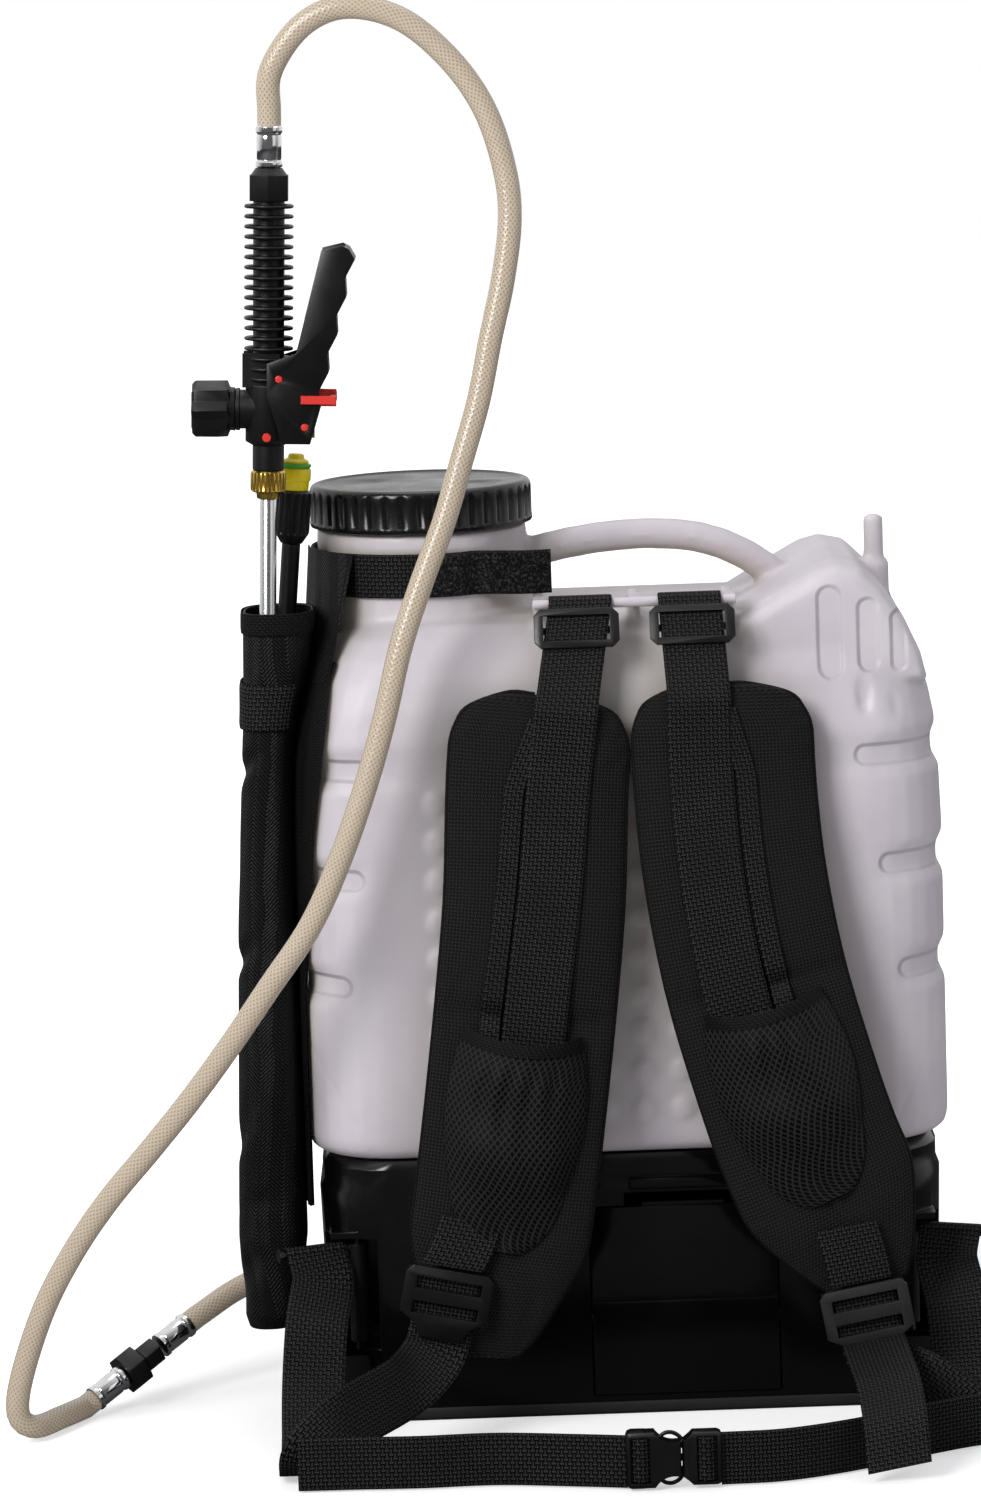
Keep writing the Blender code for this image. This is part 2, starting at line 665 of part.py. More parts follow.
def solid_mesh(obj):
    """A mesh object in place of a curve object, with its caps joined on, so that Booleans can use it."""
    bpy.context.view_layer.update()
    mesh = bpy.data.meshes.new_from_object(obj)
    bm = bmesh.new()
    bm.from_mesh(mesh)
    bmesh.ops.remove_doubles(bm, verts=bm.verts, dist=0.00001)
    name = obj.name
    bpy.data.objects.remove(obj, do_unlink=True)
    return from_bmesh(name, bm)


def tube(name, points, radius, resolution=2):
    """A round tube along points, with filled ends."""
    curve = bpy.data.curves.new(name, "CURVE")
    curve.dimensions = "3D"
    curve.bevel_depth = radius
    curve.bevel_resolution = resolution
    curve.use_fill_caps = True
    spline = curve.splines.new("POLY")
    spline.points.add(len(points) - 1)
    for slot, point in zip(spline.points, points):
        slot.co = (*point, 1.0)
    made = bpy.data.objects.new(name, curve)
    bpy.context.scene.collection.objects.link(made)
    return made


def plate(name, outline, thickness, bevel=0.0, holes=()):
    """A flat outline in the object's XY plane, of a thickness about it."""
    curve = bpy.data.curves.new(name, "CURVE")
    curve.dimensions = "2D"
    curve.fill_mode = "BOTH"
    curve.extrude = thickness / 2 - bevel
    curve.bevel_depth = bevel
    curve.bevel_resolution = 1 if bevel else 0
    curve.offset = -bevel
    for loop in (outline, *holes):
        spline = curve.splines.new("POLY")
        spline.points.add(len(loop) - 1)
        spline.use_cyclic_u = True
        for slot, point in zip(spline.points, loop):
            slot.co = (point[0], point[1], 0.0, 1.0)
    made = bpy.data.objects.new(name, curve)
    bpy.context.scene.collection.objects.link(made)
    return solid_mesh(made)


def combine(target, operand, operation):
    """Join or cut with an exact Boolean."""
    made = target.modifiers.new(operand.name, "BOOLEAN")
    made.object = operand
    made.operation = operation
    made.solver = "EXACT"


def smooth_line(points, count):
    """Evenly spaced points on a smooth curve through the given points."""
    knots = np.array(points, float)
    padded = np.vstack([2 * knots[0] - knots[1], knots, 2 * knots[-1] - knots[-2]])
    fine = []
    for i in range(len(knots) - 1):
        a, b, c, d = padded[i:i + 4]
        for t in np.linspace(0, 1, 24, endpoint=False):
            fine.append(0.5 * (2 * b + (c - a) * t + (2 * a - 5 * b + 4 * c - d) * t ** 2
                               + (3 * b - a - 3 * c + d) * t ** 3))
    fine.append(knots[-1])
    fine = np.array(fine)
    steps = np.linalg.norm(np.diff(fine, axis=0), axis=1)
    distance = np.concatenate([[0], np.cumsum(steps)])
    wanted = np.linspace(0, distance[-1], count)
    return np.stack([np.interp(wanted, distance, fine[:, k]) for k in range(3)], axis=1)


def led_line(start, route, end, lead_in, lead_out, count):
    """A smooth line whose first and last stretch are straight, along a lead vector at each end."""
    start, end = np.array(start, float), np.array(end, float)
    inner = smooth_line([start + lead_in, *route, end - lead_out], count - 2)
    return np.vstack([start, inner, end])


def rounded_rectangle(half_width, half_depth, corner, per_corner=8):
    """Points and outward normals of a rounded rectangle, anticlockwise from the right side."""
    radius = min(corner, half_width - 0.001, half_depth - 0.001)
    points, normals = [], []
    for quarter in range(4):
        sign_x = 1 if quarter in (0, 3) else -1
        sign_y = 1 if quarter in (0, 1) else -1
        for i in range(per_corner):
            angle = math.pi / 2 * (quarter + i / (per_corner - 1))
            normal = (math.cos(angle), math.sin(angle))
            points.append((sign_x * (half_width - radius) + radius * normal[0],
                           sign_y * (half_depth - radius) + radius * normal[1]))
            normals.append(normal)
    return points, normals


def ease(value):
    """A smooth step from 0 to 1."""
    t = min(1.0, max(0.0, value))
    return t * t * (3 - 2 * t)


# Tank

TANK_BOTTOM = BASE_HEIGHT + GAP


def tank_inset(height):
    """How far the wall is drawn in at a height, for the rounded foot, taper and shoulder."""
    inset = 0.0
    rise = height - TANK_BOTTOM
    if rise < FOOT_ROUND:
        inset += FOOT_ROUND * (1 - math.sqrt(1 - (1 - rise / FOOT_ROUND) ** 2))
    inset += TAPER * max(0.0, (height - TAPER_START) / (LEDGE_HEIGHT - TAPER_START))
    drop = LEDGE_HEIGHT - height
    if drop < SHOULDER:
        inset += SHOULDER_INSET * (1 - math.sqrt(max(0.0, 1 - (1 - drop / SHOULDER) ** 2)))
    return inset


def groove_inset(x, height):
    """Depth of the side grooves at a point of the wall."""
    depth = 0.0
    for level, start in zip(GROOVE_HEIGHTS, GROOVE_STARTS):
        near = 1 - abs(height - level) / GROOVE_WIDTH
        depth += GROOVE_DEPTH * ease(near * 1.6) * ease((abs(x) - start) / GROOVE_RUN_OUT)
    return depth


def tank_ring(height, wall=0.0, grooves=True, per_corner=7):
    """The tank's outline at a height, drawn in by a wall."""
    inset = tank_inset(height)
    points, normals = rounded_rectangle(TANK_WIDTH / 2 - inset - wall, TANK_DEPTH / 2 - inset - wall,
                                        TANK_CORNER, per_corner)
    ring = []
    for (x, y), (nx, ny) in zip(points, normals):
        depth = groove_inset(x, height) if grooves else 0.0
        ring.append((x - nx * depth, y - ny * depth, height))
    return ring


def tank_heights():
    """Heights of the tank's rings: close together at the foot, grooves and shoulder."""
    heights = [TANK_BOTTOM + FOOT_ROUND * share for share in (0.0, 0.15, 0.5, 1.0)]
    for level in GROOVE_HEIGHTS:
        heights += [level + GROOVE_WIDTH * share for share in (-1.0, -0.4, 0.4, 1.0)]
    heights += [LEDGE_HEIGHT - SHOULDER * share for share in (0.80, 0.60, 0.42, 0.26, 0.13, 0.04, 0.0)]
    return heights


def hump_outline():
    """The raised right shoulder, seen from the wearer's side."""
    peak = LEDGE_HEIGHT + HUMP_PEAK
    right = TANK_WIDTH / 2 - HUMP_SIDE
    left = HUMP_PEAK_X - HUMP_REACH
    return ([(right + x, LEDGE_HEIGHT + z) for x, z in HUMP_RIGHT]
            + [(HUMP_PEAK_X + x, peak + z) for x, z in HUMP_TOP]
            + [(left + x, LEDGE_HEIGHT + z) for x, z in HUMP_LEFT])


def make_tank():
    """The blow-moulded tank: body, raised shoulder, neck, handle, strap rail and hose post in one piece."""
    tank = keep(loft("tank", [tank_ring(height) for height in tank_heights()]), TANK_PLASTIC)

    hump = plate("tank_hump", hump_outline(), HUMP_DEPTH, HUMP_BEVEL)
    hump.rotation_euler = (math.pi / 2, 0, 0)
    combine(tank, tool(hump), "UNION")

    foot = LEDGE_HEIGHT - NECK_SINK
    bead = [LEDGE_HEIGHT + rise for rise in NECK_BEAD]
    neck = turned("tank_neck", [
        (0.0, foot), (NECK_RADIUS + NECK_FLARE, foot), (NECK_RADIUS + NECK_FLARE, LEDGE_HEIGHT - 2 * NECK_FLARE),
        (NECK_RADIUS + NECK_FLARE / 2, LEDGE_HEIGHT + NECK_FLARE_TOP), (NECK_RADIUS, bead[0]),
        (NECK_RADIUS - NECK_BEAD_DEPTH, bead[1]), (NECK_RADIUS, bead[2]),
        (NECK_RADIUS, NECK_SHOULDER), (NECK_THREAD_RADIUS, NECK_SHOULDER),
        (NECK_THREAD_RADIUS, NECK_RIM), (0.0, NECK_RIM)], 28)
    neck.location = (NECK_X, 0, 0)
    combine(tank, tool(neck), "UNION")

    middle = HANDLE_TOP - HANDLE_RADIUS
    arch = smooth_line([(x, 0, middle - drop) for x, drop in HANDLE_ARCH], 14)
    combine(tank, tool(solid_mesh(tube("tank_handle", arch, HANDLE_RADIUS, 3))), "UNION")

    rail_height = LEDGE_HEIGHT + RAIL_RISE
    rail_left, rail_right = RAIL_POST_XS[0] - RAIL_OVERHANG, RAIL_POST_XS[-1] + RAIL_OVERHANG
    rail = rod("tank_rail", RAIL_RADIUS, rail_right - rail_left,
               ((rail_left + rail_right) / 2, RAIL_Y, rail_height), "X", 10)
    combine(tank, tool(rail), "UNION")
    for number, x in enumerate(RAIL_POST_XS):
        arm = box(f"tank_rail_arm_{number}", RAIL_ARM, (x, RAIL_Y + RAIL_ARM[1] / 2, rail_height))
        combine(tank, tool(arm), "UNION")
        leg = box(f"tank_rail_leg_{number}", (RAIL_ARM[0], RAIL_LEG[0], rail_height - LEDGE_HEIGHT + RAIL_LEG[1]),
                  (x, RAIL_LEG_Y, (rail_height + LEDGE_HEIGHT - RAIL_LEG[1]) / 2))
        combine(tank, tool(leg), "UNION")

    post_foot = LEDGE_HEIGHT - POST_SINK
    collar_top = POST_TOP - POST_COLLAR_DROP
    post = turned("tank_post", [
        (0.0, post_foot), (POST_RADIUS + POST_COLLAR, post_foot), (POST_RADIUS + POST_COLLAR, collar_top),
        (POST_RADIUS, collar_top), (POST_RADIUS, POST_TOP - POST_TIP),
        (POST_RADIUS - POST_TIP, POST_TOP), (0.0, POST_TOP)], 16)
    post.location = (POST_X, 0, 0)
    combine(tank, tool(post), "UNION")

    for number, x in enumerate(FLUTE_XS):
        bm = bmesh.new()
        bmesh.ops.create_uvsphere(bm, u_segments=10, v_segments=6, radius=1.0)
        bmesh.ops.scale(bm, vec=FLUTE_HALF_SIZE, verts=bm.verts)
        flute = from_bmesh(f"tank_flute_{number}", bm)
        flute.location = (x, -TANK_DEPTH / 2 + FLUTE_SINK + FLUTE_STEP_BACK * number,
                          FLUTE_HEIGHT - FLUTE_STEP_DOWN * number)
        combine(tank, tool(flute), "DIFFERENCE")

    wall = TANK_WALL + GROOVE_DEPTH
    low = TANK_BOTTOM + TANK_WALL
    levels = [low, TANK_BOTTOM + FOOT_ROUND, TAPER_START]
    levels += [LEDGE_HEIGHT - wall - SHOULDER * share for share in CAVITY_LEVELS]
    rings = [[(x, y, z) for x, y, z in tank_ring(level, wall, False, 5)] for level in levels]
    combine(tank, tool(loft("tank_cavity", rings)), "DIFFERENCE")
    bore_low = LEDGE_HEIGHT - NECK_SINK - 2 * CUT
    bore = rod("tank_bore", NECK_BORE, NECK_RIM + CUT - bore_low,
               (NECK_X, 0, (NECK_RIM + CUT + bore_low) / 2), "Z", 28)
    combine(tank, tool(bore), "DIFFERENCE")
    drain = rod("tank_drain", OUTLET_SPIGOT_RADIUS + GAP, 3 * CUT, (PUMP_X, PUMP_Y, TANK_BOTTOM), "Z", 16)
    combine(tank, tool(drain), "DIFFERENCE")


# Filler

FLANGE_LOW = NECK_RIM + GAP
GASKET_LOW = FLANGE_LOW + STRAINER_FLANGE + GAP
CAP_CEILING = GASKET_LOW + GASKET_THICKNESS + GAP
CAP_TOP = CAP_CEILING + CAP_TOP_THICKNESS
CAP_LOW = CAP_TOP - CAP_HEIGHT


def make_strainer():
    """The basket that hangs in the filler neck by its flange."""
    outer = NECK_BORE - STRAINER_PLAY
    wall = STRAINER_WALL
    flange = NECK_THREAD_RADIUS - FLANGE_INSET
    collar = FLANGE_LOW - STRAINER_COLLAR
    low = FLANGE_LOW - STRAINER_DEPTH
    high = FLANGE_LOW + STRAINER_FLANGE
    strainer = turned("filler_strainer", [
        (0.0, low), (outer - STRAINER_TAPER, low), (outer, collar), (outer, FLANGE_LOW), (flange, FLANGE_LOW),
        (flange, high), (outer - wall, high), (outer - wall, collar), (outer - STRAINER_TAPER - wall, low + wall),
        (0.0, low + wall)], 24)
    keep(strainer, MATTE_PLASTIC)
    strainer.location = (NECK_X, 0, 0)


def make_gasket():
    """The ring that the cap presses on the strainer's flange."""
    inner, outer = NECK_BORE - CAP_EDGE, NECK_THREAD_RADIUS - FLANGE_INSET
    high = GASKET_LOW + GASKET_THICKNESS
    gasket = turned("cap_gasket", [(inner, GASKET_LOW), (outer, GASKET_LOW), (outer, high), (inner, high)],
                    24, True)
    keep(gasket, RUBBER)
    gasket.location = (NECK_X, 0, 0)


def fluted_ring(radius, depth, flutes, height):
    """A ring of points whose radius rises and falls with the flutes."""
    ring = []
    for i in range(flutes * 2):
        angle = math.pi * i / flutes
        reach = radius - depth * (i % 2)
        ring.append((reach * math.cos(angle), reach * math.sin(angle), height))
    return ring


def make_cap():
    """The fluted screw cap, hollow below, with two finger dents and a vent hole in its top."""
    bore = NECK_THREAD_RADIUS + CAP_PLAY
    edge = CAP_EDGE
    rings = [
        fluted_ring(bore, 0.0, CAP_FLUTES, CAP_CEILING), fluted_ring(bore, 0.0, CAP_FLUTES, CAP_LOW),
        fluted_ring(CAP_RADIUS, CAP_FLUTE_DEPTH, CAP_FLUTES, CAP_LOW),
        fluted_ring(CAP_RADIUS, CAP_FLUTE_DEPTH, CAP_FLUTES, CAP_TOP - edge),
        fluted_ring(CAP_RADIUS - edge, 0.0, CAP_FLUTES, CAP_TOP)]
    cap = keep(loft("filler_cap", rings), BLACK_PLASTIC)
    cap.location = (NECK_X, 0, 0)
    for number, side in enumerate((-1, 1)):
        dent = rod(f"cap_dent_{number}", DENT_RADIUS, 2 * DENT_DEPTH,
                   (NECK_X + side * DENT_PLACE[0], side * DENT_PLACE[1], CAP_TOP), "Z", 20)
        combine(cap, tool(dent), "DIFFERENCE")
    hole = rod("cap_vent_hole", VENT_RADIUS + GAP, 2 * CUT, (NECK_X, 0, CAP_TOP), "Z", 16)
    combine(cap, tool(hole), "DIFFERENCE")


def make_vent():
    """The rubber valve that lets air in through the cap."""
    high = CAP_CEILING - GAP
    vent = turned("cap_vent_valve", [
        (0.0, high - VENT_HEAD_THICKNESS), (VENT_HEAD, high - VENT_HEAD_THICKNESS), (VENT_HEAD, high),
        (VENT_RADIUS, high), (VENT_RADIUS, CAP_TOP - VENT_SINK), (0.0, CAP_TOP - VENT_SINK)], 16)
    keep(vent, RUBBER)
    vent.location = (NECK_X, 0, 0)


# Base

BASE_FRONT = -BASE_DEPTH / 2
COVER_FACE = BASE_FRONT + GAP
COVER_TOP = COVER_SILL + COVER_HEIGHT
PIN_X = BASE_WIDTH / 2 - PIN_INSET_X
PIN_Y = BASE_FRONT + PIN_INSET_Y
PIN_MIDDLE = PIN_NICHE_LOW + PIN_NICHE_HEIGHT / 2


def base_ring(height, inset=0.0, per_corner=6):
    """The base's outline at a height."""
    points, _ = rounded_rectangle(BASE_WIDTH / 2 - inset, BASE_DEPTH / 2 - inset, BASE_CORNER, per_corner)
    return [(x, y, height) for x, y in points]


def make_base_shell():
    """The gloss shell: open below, with the cover's opening, a finger slot and two strap pins in corner niches."""
    low = PLATE_THICKNESS + GAP
    step = BASE_HEIGHT - BASE_STEP_DROP
    shell = loft("base_shell", [
        base_ring(low, BASE_DRAFT), base_ring(step - BASE_EDGE), base_ring(step, BASE_STEP),
        base_ring(BASE_HEIGHT - BASE_EDGE, BASE_STEP), base_ring(BASE_HEIGHT, BASE_EDGE)])
    keep(shell, BLACK_PLASTIC)
    inside = loft("base_inside", [base_ring(low - CUT, BASE_WALL + BASE_DRAFT),
                                  base_ring(BASE_HEIGHT - BASE_WALL, BASE_WALL + BASE_DRAFT)])
    combine(shell, tool(inside), "DIFFERENCE")

    opening = box("base_opening", (COVER_WIDTH, 3 * CUT, COVER_HEIGHT),
                  (COVER_CENTRE_X, BASE_FRONT, COVER_SILL + COVER_HEIGHT / 2))
    combine(shell, tool(opening), "DIFFERENCE")
    ridge = box("base_ridge", RIDGE_SIZE,
                (COVER_CENTRE_X, BASE_FRONT, COVER_TOP + FINGER_SLOT_HEIGHT + RIDGE_RISE), RIDGE_BEVEL)
    combine(shell, tool(ridge), "UNION")
    slot = box("base_finger_slot", (FINGER_SLOT_WIDTH, 3 * CUT, FINGER_SLOT_HEIGHT + LATCH_RISE),
               (COVER_CENTRE_X, BASE_FRONT, COVER_TOP + FINGER_SLOT_HEIGHT / 2))
    combine(shell, tool(slot), "DIFFERENCE")

    for name, side in (("left", -1), ("right", 1)):
        across = PIN_NICHE_SIZE + 2 * NICHE_WALL
        block = box(f"base_block_{name}", (across, across, PIN_NICHE_HEIGHT + 2 * NICHE_WALL),
                    (side * (BASE_WIDTH / 2 - NICHE_INSET - across / 2),
                     BASE_FRONT + NICHE_INSET + across / 2, PIN_MIDDLE))
        combine(shell, tool(block), "UNION")
        across = PIN_NICHE_SIZE + 2 * CUT
        niche = box(f"base_niche_{name}", (across, across, PIN_NICHE_HEIGHT),
                    (side * (BASE_WIDTH / 2 + 2 * CUT - across / 2), BASE_FRONT - 2 * CUT + across / 2, PIN_MIDDLE))
        combine(shell, tool(niche), "DIFFERENCE")
        pin = rod(f"base_pin_{name}", PIN_RADIUS, PIN_NICHE_HEIGHT + NICHE_WALL, (side * PIN_X, PIN_Y, PIN_MIDDLE))
        combine(shell, tool(pin), "UNION")

    drain = rod("base_drain", OUTLET_SPIGOT_RADIUS + GAP, 2 * CUT, (PUMP_X, PUMP_Y, BASE_HEIGHT))
    combine(shell, tool(drain), "DIFFERENCE")
    outlet = rod("base_outlet", LINE_RADIUS + GAP, 3 * CUT, (-BASE_WIDTH / 2, OUTLET_Y, OUTLET_HEIGHT), "X")
    combine(shell, tool(outlet), "DIFFERENCE")
    switch = box("base_switch_hole", (SWITCH_SIZE[0] + 2 * GAP, 3 * CUT, SWITCH_SIZE[2] + 2 * GAP),
                 (SWITCH_X, BASE_DEPTH / 2, CONTROL_HEIGHT))
    combine(shell, tool(switch), "DIFFERENCE")
    socket = rod("base_socket_hole", SOCKET_RADIUS, 3 * CUT, (SOCKET_X, BASE_DEPTH / 2, CONTROL_HEIGHT), "Y")
    combine(shell, tool(socket), "DIFFERENCE")


def make_base_plate():
    """The floor of the base, which the sprayer stands on."""
    bottom = loft("base_plate", [base_ring(0.0, 2 * BASE_STEP), base_ring(BASE_STEP, BASE_STEP),
                                 base_ring(PLATE_THICKNESS, BASE_STEP)])
    keep(bottom, MATTE_PLASTIC)


def make_battery_cover():
    """The cover over the battery, hinged at its foot, with a latch tongue that stands in the finger slot."""
    hinge = empty("cover_hinge", (COVER_CENTRE_X, COVER_FACE + COVER_HINGE, COVER_SILL + COVER_HINGE))
    width = COVER_WIDTH - 2 * COVER_CLEARANCE
    height = COVER_HEIGHT - 2 * COVER_CLEARANCE
    middle_y = COVER_DEPTH / 2 - COVER_HINGE
    middle_z = COVER_HEIGHT / 2 - COVER_HINGE
    cover = box("battery_cover", (width, COVER_DEPTH, height), (0, middle_y, middle_z), COVER_CLEARANCE)
    keep(cover, BLACK_PLASTIC, hinge)
    hollow = box("cover_hollow", (width - 2 * BASE_WALL, COVER_DEPTH, height - 2 * BASE_WALL),
                 (0, middle_y + BASE_WALL, middle_z))
    combine(cover, tool(hollow, hinge), "DIFFERENCE")
    tongue = box("cover_tongue", (LATCH_WIDTH, BASE_WALL, 2 * LATCH_RISE),
                 (0, middle_y, COVER_HEIGHT - COVER_CLEARANCE - COVER_HINGE))
    combine(cover, tool(tongue, hinge), "UNION")
    line = box("cover_line", (COVER_WIDTH, COVER_LINE, COVER_LINE), (0, -COVER_HINGE, middle_z))
    combine(cover, tool(line, hinge), "DIFFERENCE")


def make_battery_and_pump():
    """What the base holds: battery pack, pump with its motor, and the lines between them."""
    floor = PLATE_THICKNESS + GAP
    battery = box("battery_pack", BATTERY_SIZE,
                  (COVER_CENTRE_X, COVER_FACE + COVER_DEPTH + 2 * GAP + BATTERY_SIZE[1] / 2,
                   floor + BATTERY_SIZE[2] / 2), BLOCK_BEVEL)
    keep(battery, MATTE_PLASTIC)

    pump = box("pump_head", PUMP_SIZE, (PUMP_X, PUMP_Y, floor + PUMP_SIZE[2] / 2), BLOCK_BEVEL)
    keep(pump, MATTE_PLASTIC)
    motor_y = PUMP_Y - PUMP_SIZE[1] / 2 - GAP - MOTOR_LENGTH / 2
    motor = rod("pump_motor", MOTOR_RADIUS, MOTOR_LENGTH, (PUMP_X, motor_y, floor + MOTOR_RADIUS), "Y", 20)
    keep(motor, STEEL)

    pump_top = floor + PUMP_SIZE[2] + GAP
    deck = BASE_HEIGHT - BASE_WALL
    collar_low = deck - GAP - OUTLET_FLANGE_THICKNESS
    tail_low = collar_low - OUTLET_TAIL
    flange = OUTLET_SPIGOT_RADIUS + OUTLET_FLANGE
    high = TANK_BOTTOM + TANK_WALL
    outlet = turned("tank_outlet", [
        (LINE_BORE, tail_low), (LINE_RADIUS, tail_low), (LINE_RADIUS, collar_low), (flange, collar_low),
        (flange, deck - GAP), (OUTLET_SPIGOT_RADIUS, deck - GAP), (OUTLET_SPIGOT_RADIUS, high),
        (LINE_BORE, high)], 16, True)
    keep(outlet, BLACK_PLASTIC)
    outlet.location = (PUMP_X, PUMP_Y, 0)
    keep(rod("suction_hose", LINE_RADIUS, tail_low - GAP - pump_top,
             (PUMP_X, PUMP_Y, (tail_low - GAP + pump_top) / 2), "Z", 12), RUBBER)

    wall = -BASE_WIDTH / 2
    elbow = turned("outlet_elbow", [
        (ELBOW_BORE, -ELBOW_TAIL), (LINE_RADIUS, -ELBOW_TAIL), (LINE_RADIUS, GAP),
        (LINE_RADIUS + ELBOW_FLANGE, GAP), (LINE_RADIUS + ELBOW_FLANGE, ELBOW_FLANGE_THICKNESS),
        (LINE_RADIUS, ELBOW_FLANGE_THICKNESS), (LINE_RADIUS, OUTLET_STUB), (ELBOW_BORE, OUTLET_STUB)], 16, True)
    keep(elbow, BLACK_PLASTIC)
    elbow.location = (wall, OUTLET_Y, OUTLET_HEIGHT)
    elbow.rotation_euler = (0, -math.pi / 2, 0)
    line_start = (PUMP_X - PUMP_SIZE[0] / 2 - GAP, PUMP_Y, floor + DELIVERY_HEIGHT)
    line_end = (wall + ELBOW_TAIL + GAP, OUTLET_Y, OUTLET_HEIGHT)
    line = led_line(line_start, [], line_end, (-LINE_RADIUS, 0, 0), (-LINE_RADIUS, 0, 0), 9)
    keep(tube("delivery_hose", line, LINE_RADIUS), RUBBER)


def make_controls():
    """The rocker switch and the plugged charging socket on the outer face."""
    back = BASE_DEPTH / 2
    pivot = back - BASE_WALL
    width, depth, height = SWITCH_SIZE
    outline = [(-SWITCH_BACK, -height / 2), (depth / 2 - SWITCH_TILT, -height / 2), (depth / 2 - SWITCH_DIP, 0.0),
               (depth / 2 + SWITCH_TILT, height / 2), (-SWITCH_BACK, height / 2)]
    rocker = plate("power_switch", outline, width - 2 * GAP)
    keep(rocker, RED_PLASTIC)
    rocker.location = (SWITCH_X, pivot, CONTROL_HEIGHT)
    rocker.rotation_euler = (math.pi / 2, 0, math.pi / 2)
    rocker.scale = (1.0, SWITCH_PLAY, 1.0)

    face = back + GAP
    cap = turned("charge_cap", [
        (0.0, -PLUG_LENGTH), (SOCKET_RADIUS - GAP, -PLUG_LENGTH), (SOCKET_RADIUS - GAP, 0.0),
        (SOCKET_RADIUS + PLUG_HEAD, 0.0), (SOCKET_RADIUS + PLUG_HEAD, PLUG_HEAD_THICKNESS),
        (0.0, PLUG_HEAD_THICKNESS)], 16)
    keep(cap, RUBBER)
    cap.location = (SOCKET_X, face, CONTROL_HEIGHT)
    cap.rotation_euler = (-math.pi / 2, 0, 0)


# Trigger gun, in the wand frame

def grip_profile():
    """The gun body's turned outline: spigot, valve block, ribbed grip and threaded end."""
    profile = [(GUN_BORE, LANCE_TOP + GAP), (SPIGOT_RADIUS, LANCE_TOP + GAP), (SPIGOT_RADIUS, BODY_LOW - SPIGOT_SLOPE),
               (BODY_RADIUS, BODY_LOW), (BODY_RADIUS, BODY_HIGH)]
    pitch = (GRIP_TOP - BODY_HIGH) / RIB_COUNT
    for rib in range(RIB_COUNT):
        start = BODY_HIGH + pitch * (rib + RIB_FIRST)
        end = start + pitch * RIB_SHARE
        profile += [(GRIP_CORE_RADIUS, start), (RIB_RADIUS, start + RIB_SLOPE), (RIB_RADIUS, end),
                    (GRIP_CORE_RADIUS, end + RIB_SLOPE)]
    profile += [(GRIP_CORE_RADIUS, GRIP_TOP), (GUN_BORE, GRIP_TOP)]
    return profile


def make_gun(wand):
    """The gun body with its side branch, valve chamber and pin holes."""
    body = keep(turned("gun_body", grip_profile(), 12, True), BLACK_PLASTIC, wand)
    branch = rod("gun_branch", BRANCH_RADIUS, BRANCH_LENGTH, (-BRANCH_LENGTH / 2, 0, VALVE_AXIS), "X", 16)
    combine(body, tool(branch, wand), "UNION")
    chamber = rod("gun_chamber", CHAMBER_RADIUS, CHAMBER_END + BRANCH_LENGTH + CUT,
                  ((CHAMBER_END - BRANCH_LENGTH - CUT) / 2, 0, VALVE_AXIS), "X", 16)
    combine(body, tool(chamber, wand), "DIFFERENCE")
    guide = rod("gun_guide", STEM_RADIUS + GAP, 3 * CUT, (CUT, 0, VALVE_AXIS), "X", 12)
    combine(body, tool(guide, wand), "DIFFERENCE")
    hole = rod("gun_pivot_hole", TRIGGER_PIN_RADIUS + GAP, LEVER_WIDTH + CUT, (PIVOT_X, 0, PIVOT_Z), "Y", 12)
    combine(body, tool(hole, wand), "DIFFERENCE")

    nut_low = GRIP_TOP + GAP
    hexagon = HOSE_NUT_HEIGHT - HOSE_NUT_CONE
    nut = rod("hose_nut", HOSE_NUT_RADIUS, hexagon, (0, 0, nut_low + hexagon / 2), "Z", 6)
    keep(nut, BLACK_PLASTIC, wand)
    length = HOSE_NUT_CONE + HOSE_NUT_LAP
    cone = rod("hose_nut_cone", HOSE_NUT_RADIUS - HOSE_NUT_STEP, length,
               (0, 0, nut_low + HOSE_NUT_HEIGHT - length / 2), "Z", 16, FERRULE_RADIUS)
    combine(nut, tool(cone, wand), "UNION")
    ferrule_low = nut_low + HOSE_NUT_HEIGHT + GAP
    keep(ferrule("gun_ferrule"), CHROME, wand).location = (0, 0, ferrule_low)


def ferrule(name):
    """A crimped sleeve with a rolled ring at each end."""
    ring, length, waist = FERRULE_RADIUS, FERRULE_LENGTH, FERRULE_RADIUS - FERRULE_WAIST
    foot = FERRULE_RING + FERRULE_RING_SLOPE
    return turned(name, [
        (0.0, 0.0), (ring, 0.0), (ring, FERRULE_RING), (waist, foot), (waist, length - foot),
        (ring, length - FERRULE_RING), (ring, length), (0.0, length)], 14)


